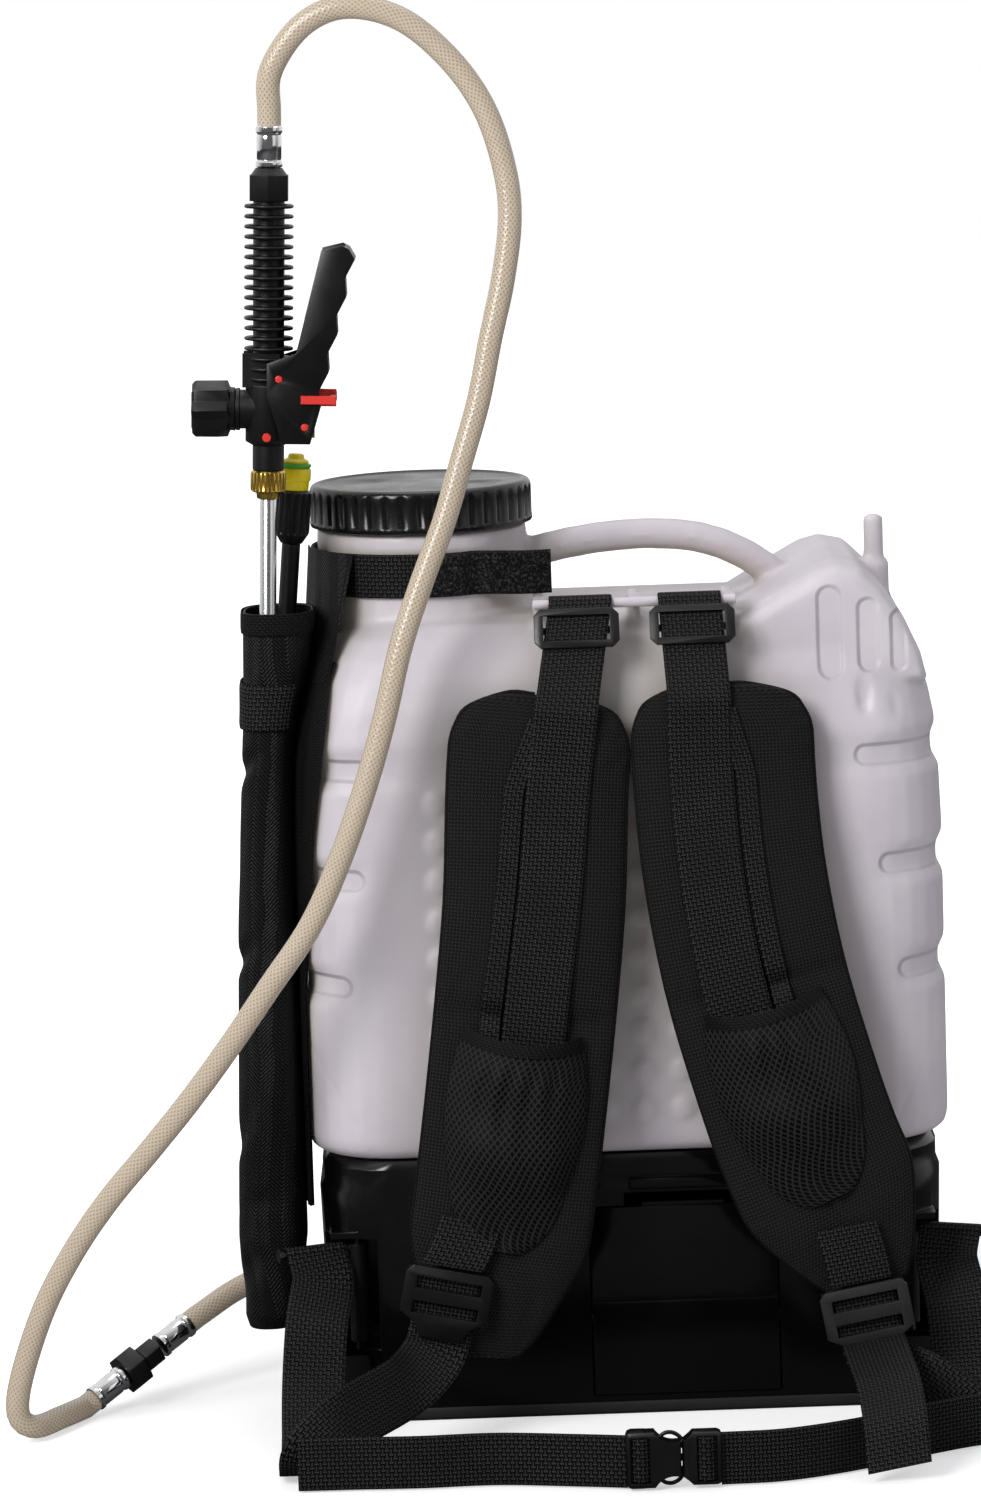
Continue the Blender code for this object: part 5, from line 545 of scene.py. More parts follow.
# %% Ferrules
FERRULE_OUTLINE = [(0.0, 0.0), (0.0068, 0.0), (0.0078, 0.0006), (0.0079, 0.0018), (0.0078, 0.0030),
                   (0.0070, 0.0038), (0.0068, 0.0044), (0.0072, 0.0052), (0.0073, 0.0172), (0.0070, 0.0182),
                   (0.0068, 0.0190), (0.0071, 0.0198), (0.0078, 0.0206), (0.0079, 0.0220), (0.0077, 0.0234),
                   (0.0070, 0.0240), (0.0, 0.0240)]
heading_turn = COUPLING_HEADING.to_track_quat("Z", "Y").to_matrix().to_4x4()
lower_seat = Matrix.Translation(hose_end + COUPLING_HEADING * GAP) @ heading_turn
upper_place = COUPLING_MIDDLE + COUPLING_HEADING * (COUPLING_LENGTH / 2 + GAP)
upper_seat = Matrix.Translation(upper_place) @ heading_turn
gun_seat = WAND_SEAT @ Matrix.Translation((0, 0, GRIP_TOP + 2 * GAP + HOSE_NUT_HEIGHT))
for node, seat in (("gun_ferrule", gun_seat), ("lower_ferrule", lower_seat), ("upper_ferrule", upper_seat)):
    dress(turned(f"chromed_{node}", FERRULE_OUTLINE, chrome, seat, 48), "chrome", node)

# %% [markdown]
# The coupling is two plastic nuts with flats, one inside the other. A cylinder with six sides is cut in two
# heights by extruding, and its edges are bevelled.


# %% Coupling
def apply_all(piece):
    """Apply a piece's modifiers in order."""
    pick(piece)
    for modifier in list(piece.modifiers):
        bpy.ops.object.modifier_apply(modifier=modifier.name)


def round_edges(piece, width, segments=2, degrees=30.0):
    """Bevel a piece's sharp edges and apply it."""
    bevel = piece.modifiers.new("rounded", "BEVEL")
    bevel.width = width
    bevel.segments = segments
    bevel.limit_method = "ANGLE"
    bevel.angle_limit = math.radians(degrees)
    apply_all(piece)


NUT_CORNERS, NUT_RADIUS, NUT_LENGTH, NUT_PLACE = 6, 0.0135, 0.012, -0.0085
NUT_FLAT = 0.0110
NUT_STEPS = ((0.0045, 0.0025), (-0.0018, 0.0), (0.0, 0.0120), (0.0030, 0.0))
pick()
bpy.ops.mesh.primitive_cylinder_add(vertices=NUT_CORNERS, radius=NUT_RADIUS, depth=NUT_LENGTH,
                                    location=(0, 0, NUT_PLACE))
coupling = bpy.context.object
coupling.name = "coupling_nuts"
bpy.ops.object.transform_apply(location=True)
bpy.ops.object.mode_set(mode="EDIT")
bpy.ops.mesh.select_all(action="DESELECT")
shape = bmesh.from_edit_mesh(coupling.data)
for face in shape.faces:
    face.select_set(face.normal.z > 0.9)
bmesh.update_edit_mesh(coupling.data)
for inset, rise in NUT_STEPS:
    bpy.ops.mesh.extrude_region_move(TRANSFORM_OT_translate={"value": (0, 0, rise)})
    share = 1 - inset / NUT_FLAT
    bpy.ops.transform.resize(value=(share, share, 1))
bpy.ops.object.mode_set(mode="OBJECT")
round_edges(coupling, 0.0008)
coupling.data.transform(Matrix.Translation(COUPLING_MIDDLE) @ heading_turn)
coupling.data.materials.append(gun_nylon)
smooth(coupling)
dress(coupling, "black_plastic", "hose_coupling")
print("coupling faces", len(coupling.data.polygons))

# %% [markdown]
# ## Tank
# The tank is blow-moulded polyethylene: one soft skin with no sharp edge, milky, with light scattering
# inside it. Where straps and cloth stand close, less light gets in and the milk looks warm and grey, so that
# shade is painted into its colour by an occlusion node. The CAD solid is a hard-edged union, so a copy of it
# is closed at the neck and drain, remeshed with small voxels and smoothed. That gives the rounded joins of a
# blown bottle. The strap rail is too thin for a voxel, so it is cut off first and turned as its own rod.

# %% Milky polyethylene
CLOUD_MM = 60.0
SKIN_MM = 3.0
PAINTED_SHADE_REACH_MM = 70.0
SLOT_EDGE = 0.0016
FRONT_FLUTES = ((0.1268, 0.448, 0.488, 0.0070), (0.1495, 0.450, 0.481, 0.0060),
                (0.1675, 0.448, 0.474, 0.0045))
SIDE_GROOVES = ((0.145, 0.396), (0.158, 0.331), (0.168, 0.267))
GROOVE_END, GROOVE_RADIUS = 0.25, 0.0058
polythene, shader = new_finish("milky_polyethylene")
place = add(polythene, "TexCoord")
cloud = add(polythene, "TexNoise", {"Vector": place.outputs["Object"], "Scale": millimetres(CLOUD_MM),
                                    "Detail": 4.0})
skin = add(polythene, "TexNoise", {"Vector": place.outputs["Object"], "Scale": millimetres(SKIN_MM),
                                   "Detail": 5.0, "Roughness": 0.6})
tint = add(polythene, "MapRange", {"Value": cloud.outputs["Fac"], "From Min": 0.3, "From Max": 0.7,
                                   "To Min": 0.0, "To Max": 1.0})
milk = add(polythene, "Mix", {0: tint.outputs[0], 6: linear("d5ccd5"), 7: linear("e3dbe1")}, data_type="RGBA")
# painted shade: near straps and cloth the occlusion node mixes the milk colour towards a warm grey
painted_shade_occlusion = add(polythene, "AmbientOcclusion", {"Distance": PAINTED_SHADE_REACH_MM / 1000.0}, samples=8)
unshaded_share = add(polythene, "MapRange", {"Value": painted_shade_occlusion.outputs["AO"], "From Min": 0.25, "From Max": 0.90})
milk = add(polythene, "Mix", {0: unshaded_share.outputs[0], 6: linear("b3aca2"), 7: milk.outputs[2]},
           data_type="RGBA")
gloss = add(polythene, "MapRange", {"Value": cloud.outputs["Fac"], "To Min": 0.36, "To Max": 0.52})
bump = add(polythene, "Bump", {"Height": skin.outputs["Fac"], "Strength": 0.08, "Distance": 0.0006})


def pressed_slot(place, low, high, radius):
    """One inside a round-ended slot in X and Z, nought outside it, with a soft edge."""
    middle = [(a + b) / 2 for a, b in zip(low, high)]
    half = [(b - a) / 2 for a, b in zip(low, high)]
    away = place
    for step, amount in (("SUBTRACT", (middle[0], 0, middle[1])), ("ABSOLUTE", (0, 0, 0)),
                         ("SUBTRACT", (half[0], 0, half[1])), ("MAXIMUM", (0, 0, 0)),
                         ("MULTIPLY", (1, 0, 1))):
        away = add(polythene, "VectorMath", {0: away, 1: amount}, operation=step).outputs[0]
    away = add(polythene, "VectorMath", {0: away}, operation="LENGTH")
    soft_edge = {"Value": away.outputs["Value"], "From Min": radius - SLOT_EDGE,
                 "From Max": radius + SLOT_EDGE, "To Min": 1.0, "To Max": 0.0}
    return add(polythene, "MapRange", soft_edge, interpolation_type="SMOOTHSTEP").outputs[0]


either_side = add(polythene, "VectorMath", {0: place.outputs["Object"]}, operation="ABSOLUTE")
slots = [pressed_slot(place.outputs["Object"], (x, low), (x, high), radius)
         for x, low, high, radius in FRONT_FLUTES]
slots += [pressed_slot(either_side.outputs[0], (start, height), (GROOVE_END, height), GROOVE_RADIUS)
          for start, height in SIDE_GROOVES]
pressed = slots[0]
for slot in slots[1:]:
    pressed = add(polythene, "Math", {0: pressed, 1: slot}, operation="MAXIMUM").outputs[0]
bump = add(polythene, "Bump", {"Height": pressed, "Strength": 0.9, "Distance": 0.0022,
                               "Normal": bump.outputs[0]}, invert=True)
join(polythene, shader, {"Base Color": milk.outputs[2], "Roughness": gloss.outputs[0], "IOR": 1.54,
                         "Subsurface Weight": 0.25, "Subsurface Radius": (1.0, 0.95, 1.0),
                         "Subsurface Scale": 0.006, "Normal": bump.outputs[0]})
print("cloud size", CLOUD_MM, "mm, pressed slots", len(slots))


# %% A merged copy of a CAD node
def cad_copy(node, name, finish):
    """A copy of a CAD node with its own mesh, its doubles merged and its flat faces joined."""
    copy = bpy.data.objects.new(name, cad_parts[node].data.copy())
    copy.data.name = name
    scene.collection.objects.link(copy)
    pick(copy)
    bpy.ops.object.mode_set(mode="EDIT")
    bpy.ops.mesh.select_all(action="SELECT")
    bpy.ops.mesh.remove_doubles(threshold=MERGE_DISTANCE)
    bpy.ops.mesh.customdata_custom_splitnormals_clear()
    bpy.ops.object.mode_set(mode="OBJECT")
    copy.data.materials.clear()
    copy.data.materials.append(finish)
    return copy


def cut_with(piece, tool, operation="DIFFERENCE"):
    """Cut or join a piece with a tool shape by a Boolean, then remove the tool."""
    cutter = piece.modifiers.new("cut", "BOOLEAN")
    cutter.object = tool
    cutter.operation = operation
    cutter.solver = "EXACT"
    apply_all(piece)
    bpy.data.objects.remove(tool, do_unlink=True)


def block(size, middle):
    """A box of a size about its middle, as a tool for a Boolean."""
    pick()
    bpy.ops.mesh.primitive_cube_add(size=1.0, location=middle)
    made = bpy.context.object
    made.scale = size
    bpy.ops.object.transform_apply(location=True, scale=True)
    return made


NECK_X = -0.112
TANK_VOXEL = 0.0026
RAIL_SPACE_SIZE, RAIL_SPACE_MIDDLE = (0.126, 0.0260, 0.0125), (0.0122, -0.0930, 0.4915)
NECK_PLUG, DRAIN_PLUG = (0.056, 0.008, (NECK_X, 0, 0.466)), (0.0098, 0.006, (-0.098, 0.040, 0.1628))
tank = cad_copy("tank", "blown_tank", polythene)
cut_with(tank, block(RAIL_SPACE_SIZE, RAIL_SPACE_MIDDLE))
for radius, depth, spot in (NECK_PLUG, DRAIN_PLUG):
    pick()
    bpy.ops.mesh.primitive_cylinder_add(vertices=48, radius=radius, depth=depth, location=spot)
    pick(tank, bpy.context.object)
    bpy.ops.object.join()
tank.data.remesh_voxel_size = TANK_VOXEL
bpy.ops.object.voxel_remesh()
print("tank after remesh", len(tank.data.polygons), "faces")

# %% [markdown]
# The remeshed skin is stepped where it slopes, so a Smooth modifier evens it. The wearer's side has rows of
# low round bosses that stiffen it, a fine crease runs round each lower corner, and a parting line goes
# round the middle. They are shallow, so the points themselves are moved, each along Y or outwards by a
# small height.

# %% Smooth the tank and add its bosses and lines
relax = tank.modifiers.new("relax", "SMOOTH")
relax.factor = 0.5
relax.iterations = 7
apply_all(tank)
points = coordinates(tank)
BOSS_RADIUS, BOSS_RISE, BOSS_PITCH = 0.0068, 0.0022, 0.0235
BOSS_LEFT, BOSS_RIGHT, BOSS_LOW, BOSS_HIGH = -0.1085, 0.12, 0.1885, 0.40
BOSS_FRONT, CREASE_BACK, CREASE_TOP = -0.0985, -0.055, 0.236
CREASE_HEIGHTS, CREASE_REACHES = (0.160, 0.175, 0.205, 0.235), (0.152, 0.158, 0.1745, 0.192)
CREASE_DEPTH, CREASE_WIDTH = 0.0007, 0.0011
PARTING_RISE, PARTING_WIDTH, FLANK = 0.0005, 0.0022, 0.14
front = points[:, 1] < BOSS_FRONT
for boss_x in np.arange(BOSS_LEFT, BOSS_RIGHT, BOSS_PITCH):
    for boss_z in np.arange(BOSS_LOW, BOSS_HIGH, BOSS_PITCH):
        away = np.hypot(points[:, 0] - boss_x, points[:, 2] - boss_z)
        points[:, 1] -= np.where(front, BOSS_RISE * np.exp(-(away / BOSS_RADIUS) ** 6), 0.0)
for side in (-1, 1):
    reach = np.interp(points[:, 2], CREASE_HEIGHTS, CREASE_REACHES)
    crease = np.exp(-((side * points[:, 0] - reach) / CREASE_WIDTH) ** 2)
    low_corner = (points[:, 2] < CREASE_TOP) & (points[:, 1] < CREASE_BACK)
    points[:, 1] += np.where(low_corner, CREASE_DEPTH * crease, 0.0)
parting = PARTING_RISE * np.exp(-(points[:, 1] / PARTING_WIDTH) ** 2)
outwards = np.sign(points[:, 0]) * (np.abs(points[:, 0]) > FLANK)
points[:, 0] += parting * outwards
move_points(tank, points)
smooth(tank, 180.0)
dress(tank, "tank_plastic", "tank")
print("tank faces", len(tank.data.polygons))

# %% Strap rail
RAIL_OUTLINE = [(0.0, -0.0598), (0.0022, -0.0598), (0.0030, -0.0590), (0.0030, 0.0590), (0.0022, 0.0598),
                (0.0, 0.0598)]
RAIL_X, RAIL_Y, RAIL_Z = 0.01225, -0.094, 0.4905
RAIL_POSTS, POST_Y, POST_SIZE = (-0.0435, 0.0125, 0.0680), -0.0855, (0.007, 0.017, 0.0055)
rail_seat = Matrix.Translation((RAIL_X, RAIL_Y, RAIL_Z)) @ Matrix.Rotation(math.pi / 2, 4, "Y")
rail = turned("strap_rail", RAIL_OUTLINE, polythene, rail_seat, 24)
for post_x in RAIL_POSTS:
    cut_with(rail, block(POST_SIZE, (post_x, POST_Y, RAIL_Z)), "UNION")
round_edges(rail, 0.0006)
smooth(rail)
dress(rail, "tank_plastic")
print("rail faces", len(rail.data.polygons))

# %% [markdown]
# ## Lid
# The screw lid is polypropylene, with some forty grip flutes round its skirt and a flat top inside a low
# rim. Its outline is spun with six steps to a flute. The points of the skirt are then drawn in between the
# flutes, and two shallow finger dents are pressed in the top. The real top's moulding is left plain.


# %% Filler lid
def fluted(piece, flutes, depth, inner, low, high, gain=0.9, bias=0.5):
    """Draw in a turned piece's wall between flutes, where it is outside a radius and between two heights."""
    points = coordinates(piece)
    x, y = points[:, 0], points[:, 1]
    angles = np.arctan2(y, x)
    wall = (np.hypot(x, y) > inner) & (points[:, 2] > low) & (points[:, 2] < high)
    draw = depth * np.clip(gain * np.cos(angles * flutes) + bias, 0.0, 1.0) * wall
    points[:, 0] -= draw * np.cos(angles)
    points[:, 1] -= draw * np.sin(angles)
    move_points(piece, points)


CAP_RADIUS, CAP_LOW, CAP_TOP = 0.067, 0.5311, 0.5566
CAP_BORE, CAP_CEILING = 0.0584, 0.5521
CAP_FLUTES, FLUTE_DEPTH = 40, 0.0015
DENTS, DENT_DEPTH, DENT_RADIUS, DENT_EDGE = ((-0.034, 0.014), (0.034, -0.014)), 0.0014, 0.013, 0.0012
LID_OUTLINE = [(0.0, CAP_CEILING), (CAP_BORE, CAP_CEILING), (CAP_BORE, CAP_LOW),
               (CAP_RADIUS - 0.0014, CAP_LOW), (CAP_RADIUS - 0.0004, CAP_LOW + 0.0004),
               (CAP_RADIUS, CAP_LOW + 0.0014), (CAP_RADIUS, CAP_LOW + 0.0032),
               (CAP_RADIUS - 0.0002, CAP_LOW + 0.0040), (CAP_RADIUS - 0.0002, CAP_TOP - 0.0070),
               (CAP_RADIUS - 0.0002, CAP_TOP - 0.0042), (CAP_RADIUS - 0.0006, CAP_TOP - 0.0024),
               (CAP_RADIUS - 0.0016, CAP_TOP - 0.0010), (CAP_RADIUS - 0.0030, CAP_TOP - 0.0002),
               (CAP_RADIUS - 0.0046, CAP_TOP), (CAP_RADIUS - 0.0060, CAP_TOP - 0.0003),
               (CAP_RADIUS - 0.0068, CAP_TOP - 0.0009)]
TOP_RADII = (0.0585, 0.052, 0.045, 0.038, 0.031, 0.024, 0.016, 0.008, 0.0)
LID_OUTLINE += [(radius, CAP_TOP - 0.0010) for radius in TOP_RADII]
lid = turned("fluted_lid", LID_OUTLINE, lid_plastic, steps=CAP_FLUTES * 6, degrees=50.0)
fluted(lid, CAP_FLUTES, FLUTE_DEPTH, CAP_RADIUS - 0.0007, CAP_LOW + 0.0036, CAP_TOP - 0.0030, 1.6, -0.55)
points = coordinates(lid)
for dent_x, dent_y in DENTS:
    away = np.hypot(points[:, 0] - dent_x, points[:, 1] - dent_y)
    top = points[:, 2] > CAP_TOP - 0.0012
    points[:, 2] -= np.where(top, DENT_DEPTH / (1 + np.exp((away - DENT_RADIUS) / DENT_EDGE)), 0.0)
points[:, 0] += NECK_X
move_points(lid, points)
smooth(lid, 50.0)
dress(lid, "black_plastic", "filler_cap", body="cap")
print("lid faces", len(lid.data.polygons))

# %% [markdown]
# ## Base
# The base is injection-moulded gloss ABS. Its CAD shape is right, so a copy is merged, its flat faces are
# joined into whole ones, and it is shaded smooth where it curves. The copy only needs softer edges and the
# better finish.


# %% Rigid CAD pieces with a better finish
def finished_copy(node, finish, slot, body="sprayer", edge=0.0, degrees=32.0):
    """A CAD node's copy with joined flat faces, rounded edges and smooth curves."""
    copy = cad_copy(node, f"finished_{node}", finish)
    bpy.ops.object.mode_set(mode="EDIT")
    bpy.ops.mesh.select_all(action="SELECT")
    bpy.ops.mesh.dissolve_limited(angle_limit=math.radians(0.5))
    bpy.ops.object.mode_set(mode="OBJECT")
    if edge:
        round_edges(copy, edge)
    smooth(copy, degrees)
    return dress(copy, slot, node, body=body)


for node, finish, slot, body, edge in (
        ("base_shell", gloss_abs, "base_plastic", "sprayer", 0.0),
        ("base_plate", inner_plastic, "base_plastic", "sprayer", 0.0006),
        ("battery_cover", gloss_abs, "base_plastic", "cover", 0.0),
        ("power_switch", red_acetal, "red_plastic", "switch", 0.0006),
        ("charge_cap", black_rubber, "black_rubber", "socket_cap", 0.0005),
        ("outlet_elbow", gun_nylon, "black_plastic", "sprayer", 0.0003),
        ("left_tri_glide", buckle_nylon, "black_plastic", "sprayer", 0.0005),
        ("right_tri_glide", buckle_nylon, "black_plastic", "sprayer", 0.0005),
        ("left_ladder_lock", buckle_nylon, "black_plastic", "sprayer", 0.0006),
        ("right_ladder_lock", grey_nylon, "black_plastic", "sprayer", 0.0006),
        ("left_strap_hook", buckle_nylon, "black_plastic", "sprayer", 0.0),
        ("right_strap_hook", buckle_nylon, "black_plastic", "sprayer", 0.0),
        ("buckle_socket", buckle_nylon, "black_plastic", "sprayer", 0.0005),
        ("buckle_tongue", buckle_nylon, "black_plastic", "belt_half", 0.0005),
        ("hose_nut", gun_nylon, "black_plastic", "sprayer", 0.0006),
        ("valve_cap", gun_nylon, "black_plastic", "valve_end_cap", 0.0005),
        ("trigger_lever", gun_nylon, "black_plastic", "trigger", 0.0005),
        ("trigger_pivot_pin", red_acetal, "red_plastic", "sprayer", 0.0004),
        ("stem_link_pin", red_acetal, "red_plastic", "trigger", 0.0004),
        ("valve_stem", brass, "brass", "stem", 0.0002)):
    piece = finished_copy(node, finish, slot, body, edge)
    print(node, len(piece.data.polygons), "faces")

# %% [markdown]
# The buckle is a side-release one. Both halves end in a bar that the belt is sewn round, seen in a window,
# and a round notch at the top and bottom shows the sprung prongs, which bow out in it. So windows and
# notches are cut in the copies by Booleans, the prongs get their bows, and two short sheets of webbing go
# round the bars.

# %% Buckle windows, notches and prongs
BUCKLE_Y, BUCKLE_FACE, BUCKLE_MIDDLE, BUCKLE_HALF = -0.252, -0.258, 0.0182, 0.017
NOTCH_X, NOTCH_RADIUS, NOTCH_STAND = 0.0155, 0.0125, 0.0050
WINDOW_HEIGHT, WINDOW_DEPTH, PRONG_RADIUS = 0.0270, 0.0036, 0.0012
PRONG_BOW = [(0.0208, 0.0085), (0.0190, 0.0122), (0.0150, 0.0148), (0.0105, 0.0146), (0.0075, 0.0120),
             (0.0070, 0.0090)]
buckle_halves = {}
for name, window_left, window_right in (("buckle_socket", -0.0095, 0.0018),
                                        ("buckle_tongue", 0.0285, 0.0402)):
    half = bpy.data.objects[f"finished_{name}"]
    buckle_halves[name] = half
    window_size = (window_right - window_left, 2 * WINDOW_DEPTH, WINDOW_HEIGHT)
    cut_with(half, block(window_size, ((window_left + window_right) / 2, BUCKLE_FACE, BUCKLE_MIDDLE)))
    for sign in (-1, 1):
        pick()
        bpy.ops.mesh.primitive_cylinder_add(
            vertices=48, radius=NOTCH_RADIUS, depth=0.05, rotation=(math.pi / 2, 0, 0),
            location=(NOTCH_X, BUCKLE_Y, BUCKLE_MIDDLE + sign * (BUCKLE_HALF + NOTCH_STAND)))
        notch = bpy.context.object
        bpy.ops.object.transform_apply(location=True, rotation=True)
        cut_with(half, notch)
for sign in (-1, 1):
    bow_line = smooth_line([(x, BUCKLE_Y, BUCKLE_MIDDLE + sign * z) for x, z in PRONG_BOW], 40)
    bow = hose_skin(f"prong_bow_{sign}", bow_line, PRONG_RADIUS, buckle_nylon, around=12)
    pick(buckle_halves["buckle_tongue"], bow)
    bpy.ops.object.join()
for half in buckle_halves.values():
    smooth(half, 32.0)
    print(half.name, len(half.data.polygons), "faces")

# %% [markdown]
# The valve cap's fluted head reaches further over the branch than the solid's, so the points of its
# shoulder move 6 mm towards the gun. The red safety lock is a clip: two flat arms outside the lever's
# cheeks, a bar across in front, and a tongue that fits the lever's slot. Boxes are joined by Booleans and
# bevelled.

# %% Valve cap and safety lock
cap_copy = bpy.data.objects["finished_valve_cap"]
points = coordinates(cap_copy)
SHOULDER_LEFT, SHOULDER_RIGHT, SHOULDER_MOVE = -0.2290, -0.2245, 0.0060
shoulder = (points[:, 0] > SHOULDER_LEFT) & (points[:, 0] < SHOULDER_RIGHT)
points[:, 0] += np.where(shoulder, SHOULDER_MOVE, 0.0)
move_points(cap_copy, points)
LOCK_MIDDLE, ARM_LEFT, BAR_LEFT, BAR_RIGHT = 0.5622, 0.0195, 0.0367, 0.0398
ARM_INNER, ARM_OUTER, ARM_HALF = 0.0169, 0.0189, 0.0024
TONGUE_LEFT, TONGUE_WIDTH, TONGUE_HEIGHT = 0.0206, 0.0058, 0.0100
lock_clip = block((BAR_RIGHT - BAR_LEFT, 2 * ARM_OUTER, 2 * ARM_HALF),
                  ((BAR_LEFT + BAR_RIGHT) / 2, 0, LOCK_MIDDLE))
lock_clip.name = "red_lock_clip"
lock_clip.data.name = "red_lock_clip"
for sign in (-1, 1):
    arm = block((BAR_RIGHT - ARM_LEFT, ARM_OUTER - ARM_INNER, 2 * ARM_HALF),
                ((ARM_LEFT + BAR_RIGHT) / 2, sign * (ARM_INNER + ARM_OUTER) / 2, LOCK_MIDDLE))
    cut_with(lock_clip, arm, "UNION")
tongue = block((BAR_RIGHT - TONGUE_LEFT, TONGUE_WIDTH, TONGUE_HEIGHT),
               ((TONGUE_LEFT + BAR_RIGHT) / 2, 0, LOCK_MIDDLE))
cut_with(lock_clip, tongue, "UNION")
round_edges(lock_clip, 0.0005)
lock_clip.data.transform(WAND_SEAT)
lock_clip.data.materials.append(red_acetal)
smooth(lock_clip, 32.0)
dress(lock_clip, "red_plastic", "trigger_lock", body="lock")
print("lock faces", len(lock_clip.data.polygons))

# %% [markdown]
# ## Trigger gun
# The gun's grip is a row of thin round fins on a core, moulded in one with the valve block below it. It is
# spun from one outline. The side branch that holds the valve is spun about its own axis and joined by a
# Boolean.

# %% Gun body
VALVE_AXIS = 0.555
WEB_SIZE, WEB_X, WEB_Y, WEB_Z = (0.022, 0.0022, 0.020), -0.004, 0.0095, 0.5785
BODY_HIGH = 0.570
RIB_COUNT, RIB_RADIUS, CORE_RADIUS = 18, 0.0145, 0.0092
rib_pitch = (GRIP_TOP - BODY_HIGH) / RIB_COUNT
gun_outline = [(0.0, 0.5193), (0.0088, 0.5193), (0.0093, 0.5198), (0.0093, 0.5340), (0.0132, 0.5362),
               (0.0135, 0.5368), (0.0135, 0.5692), (0.0130, 0.5699), (CORE_RADIUS, 0.5700)]
for rib in range(RIB_COUNT):
    low = BODY_HIGH + rib_pitch * (rib + 0.3)
    gun_outline += [(CORE_RADIUS, low), (RIB_RADIUS - 0.0012, low + 0.0002),
                    (RIB_RADIUS - 0.0004, low + 0.0005), (RIB_RADIUS, low + 0.0013),
                    (RIB_RADIUS - 0.0004, low + 0.0021), (RIB_RADIUS - 0.0012, low + 0.0024),
                    (CORE_RADIUS, low + 0.0026)]
gun_outline += [(CORE_RADIUS, GRIP_TOP), (0.0, GRIP_TOP)]
gun = turned("gun_grip", gun_outline, gun_nylon, steps=56)
BRANCH_OUTLINE = [(0.0, 0.0), (0.0112, 0.0), (0.0115, 0.0165), (0.0125, 0.0168), (0.0125, 0.0188),
                  (0.0121, 0.0190), (0.0, 0.0190)]
branch_seat = Matrix.Translation((0, 0, VALVE_AXIS)) @ Matrix.Rotation(-math.pi / 2, 4, "Y")
branch = turned("gun_branch", BRANCH_OUTLINE, gun_nylon, branch_seat, 40)
cut_with(gun, branch, "UNION")
for sign in (-1, 1):
    cut_with(gun, block(WEB_SIZE, (WEB_X, sign * WEB_Y, WEB_Z)), "UNION")
gun.data.transform(WAND_SEAT)
smooth(gun, 35.0)
dress(gun, "black_plastic", "gun_body")
print("gun faces", len(gun.data.polygons))

# %% [markdown]
# A third red pin holds the valve block, low on the gun. Below it come the brass union nut, knurled so that
# fingers can turn it, and the stainless lance with its brass nozzle. The knurl is drawn in like the lid's
# flutes.

# %% Pin, union nut, lance and nozzle
PIN_OUTLINE = [(0.0, -0.0142), (0.0022, -0.0142), (0.0026, -0.0137), (0.0026, 0.0137), (0.0022, 0.0142),
               (0.0, 0.0142)]
pin_place = WAND_SEAT @ Matrix.Translation((-0.0005, 0, 0.5395))
pin_seat = pin_place @ Matrix.Rotation(math.pi / 2, 4, "X")
dress(turned("valve_block_pin", PIN_OUTLINE, red_acetal, pin_seat, 24), "red_plastic")
NUT_LOW, NUT_HIGH = 0.5065, 0.5190
KNURLS, KNURL_DEPTH = 24, 0.0009
nut_outline = [(0.0053, NUT_LOW - 0.0040), (0.0064, NUT_LOW - 0.0040), (0.0068, NUT_LOW - 0.0030),
               (0.0070, NUT_LOW - 0.0008), (0.0092, NUT_LOW), (0.0102, NUT_LOW + 0.0008),
               (0.0105, NUT_LOW + 0.0018), (0.0105, NUT_LOW + 0.0060), (0.0105, NUT_HIGH - 0.0018),
               (0.0102, NUT_HIGH - 0.0008), (0.0094, NUT_HIGH), (0.0053, NUT_HIGH),
               (0.0053, NUT_LOW - 0.0040)]
nut = turned("knurled_nut", nut_outline, brass, steps=KNURLS * 6)
fluted(nut, KNURLS, KNURL_DEPTH, 0.0101, NUT_LOW + 0.0010, NUT_HIGH - 0.0010)
nut.data.transform(WAND_SEAT)
smooth(nut, 40.0)
dress(nut, "brass", "lance_nut")
LANCE_OUTLINE = [(0.0040, 0.0240), (0.0048, 0.0240), (0.0050, 0.0243), (0.0050, 0.5187), (0.0048, 0.5190),
                 (0.0040, 0.5190), (0.0040, 0.0240)]
dress(turned("steel_lance", LANCE_OUTLINE, stainless, WAND_SEAT, 40), "steel", "lance_tube")
TIP_OUTLINE = [(0.0008, 0.0040), (0.0030, 0.0040), (0.0036, 0.0046), (0.0073, 0.0116), (0.0075, 0.0124),
               (0.0075, 0.0232), (0.0071, 0.0237), (0.0008, 0.0237), (0.0008, 0.0040)]
dress(turned("lance_tip", TIP_OUTLINE, brass, WAND_SEAT, 40), "brass", "lance_nozzle", body="lance_tip")
print("nut faces", len(nut.data.polygons))

# %% [markdown]
# ## Spare lance
# A second lance of black plastic stands beside the steel one. Its collar has upright ribs for the fingers,
# and its yellow nozzle is soft-edged, with a green sealing ring in a groove.

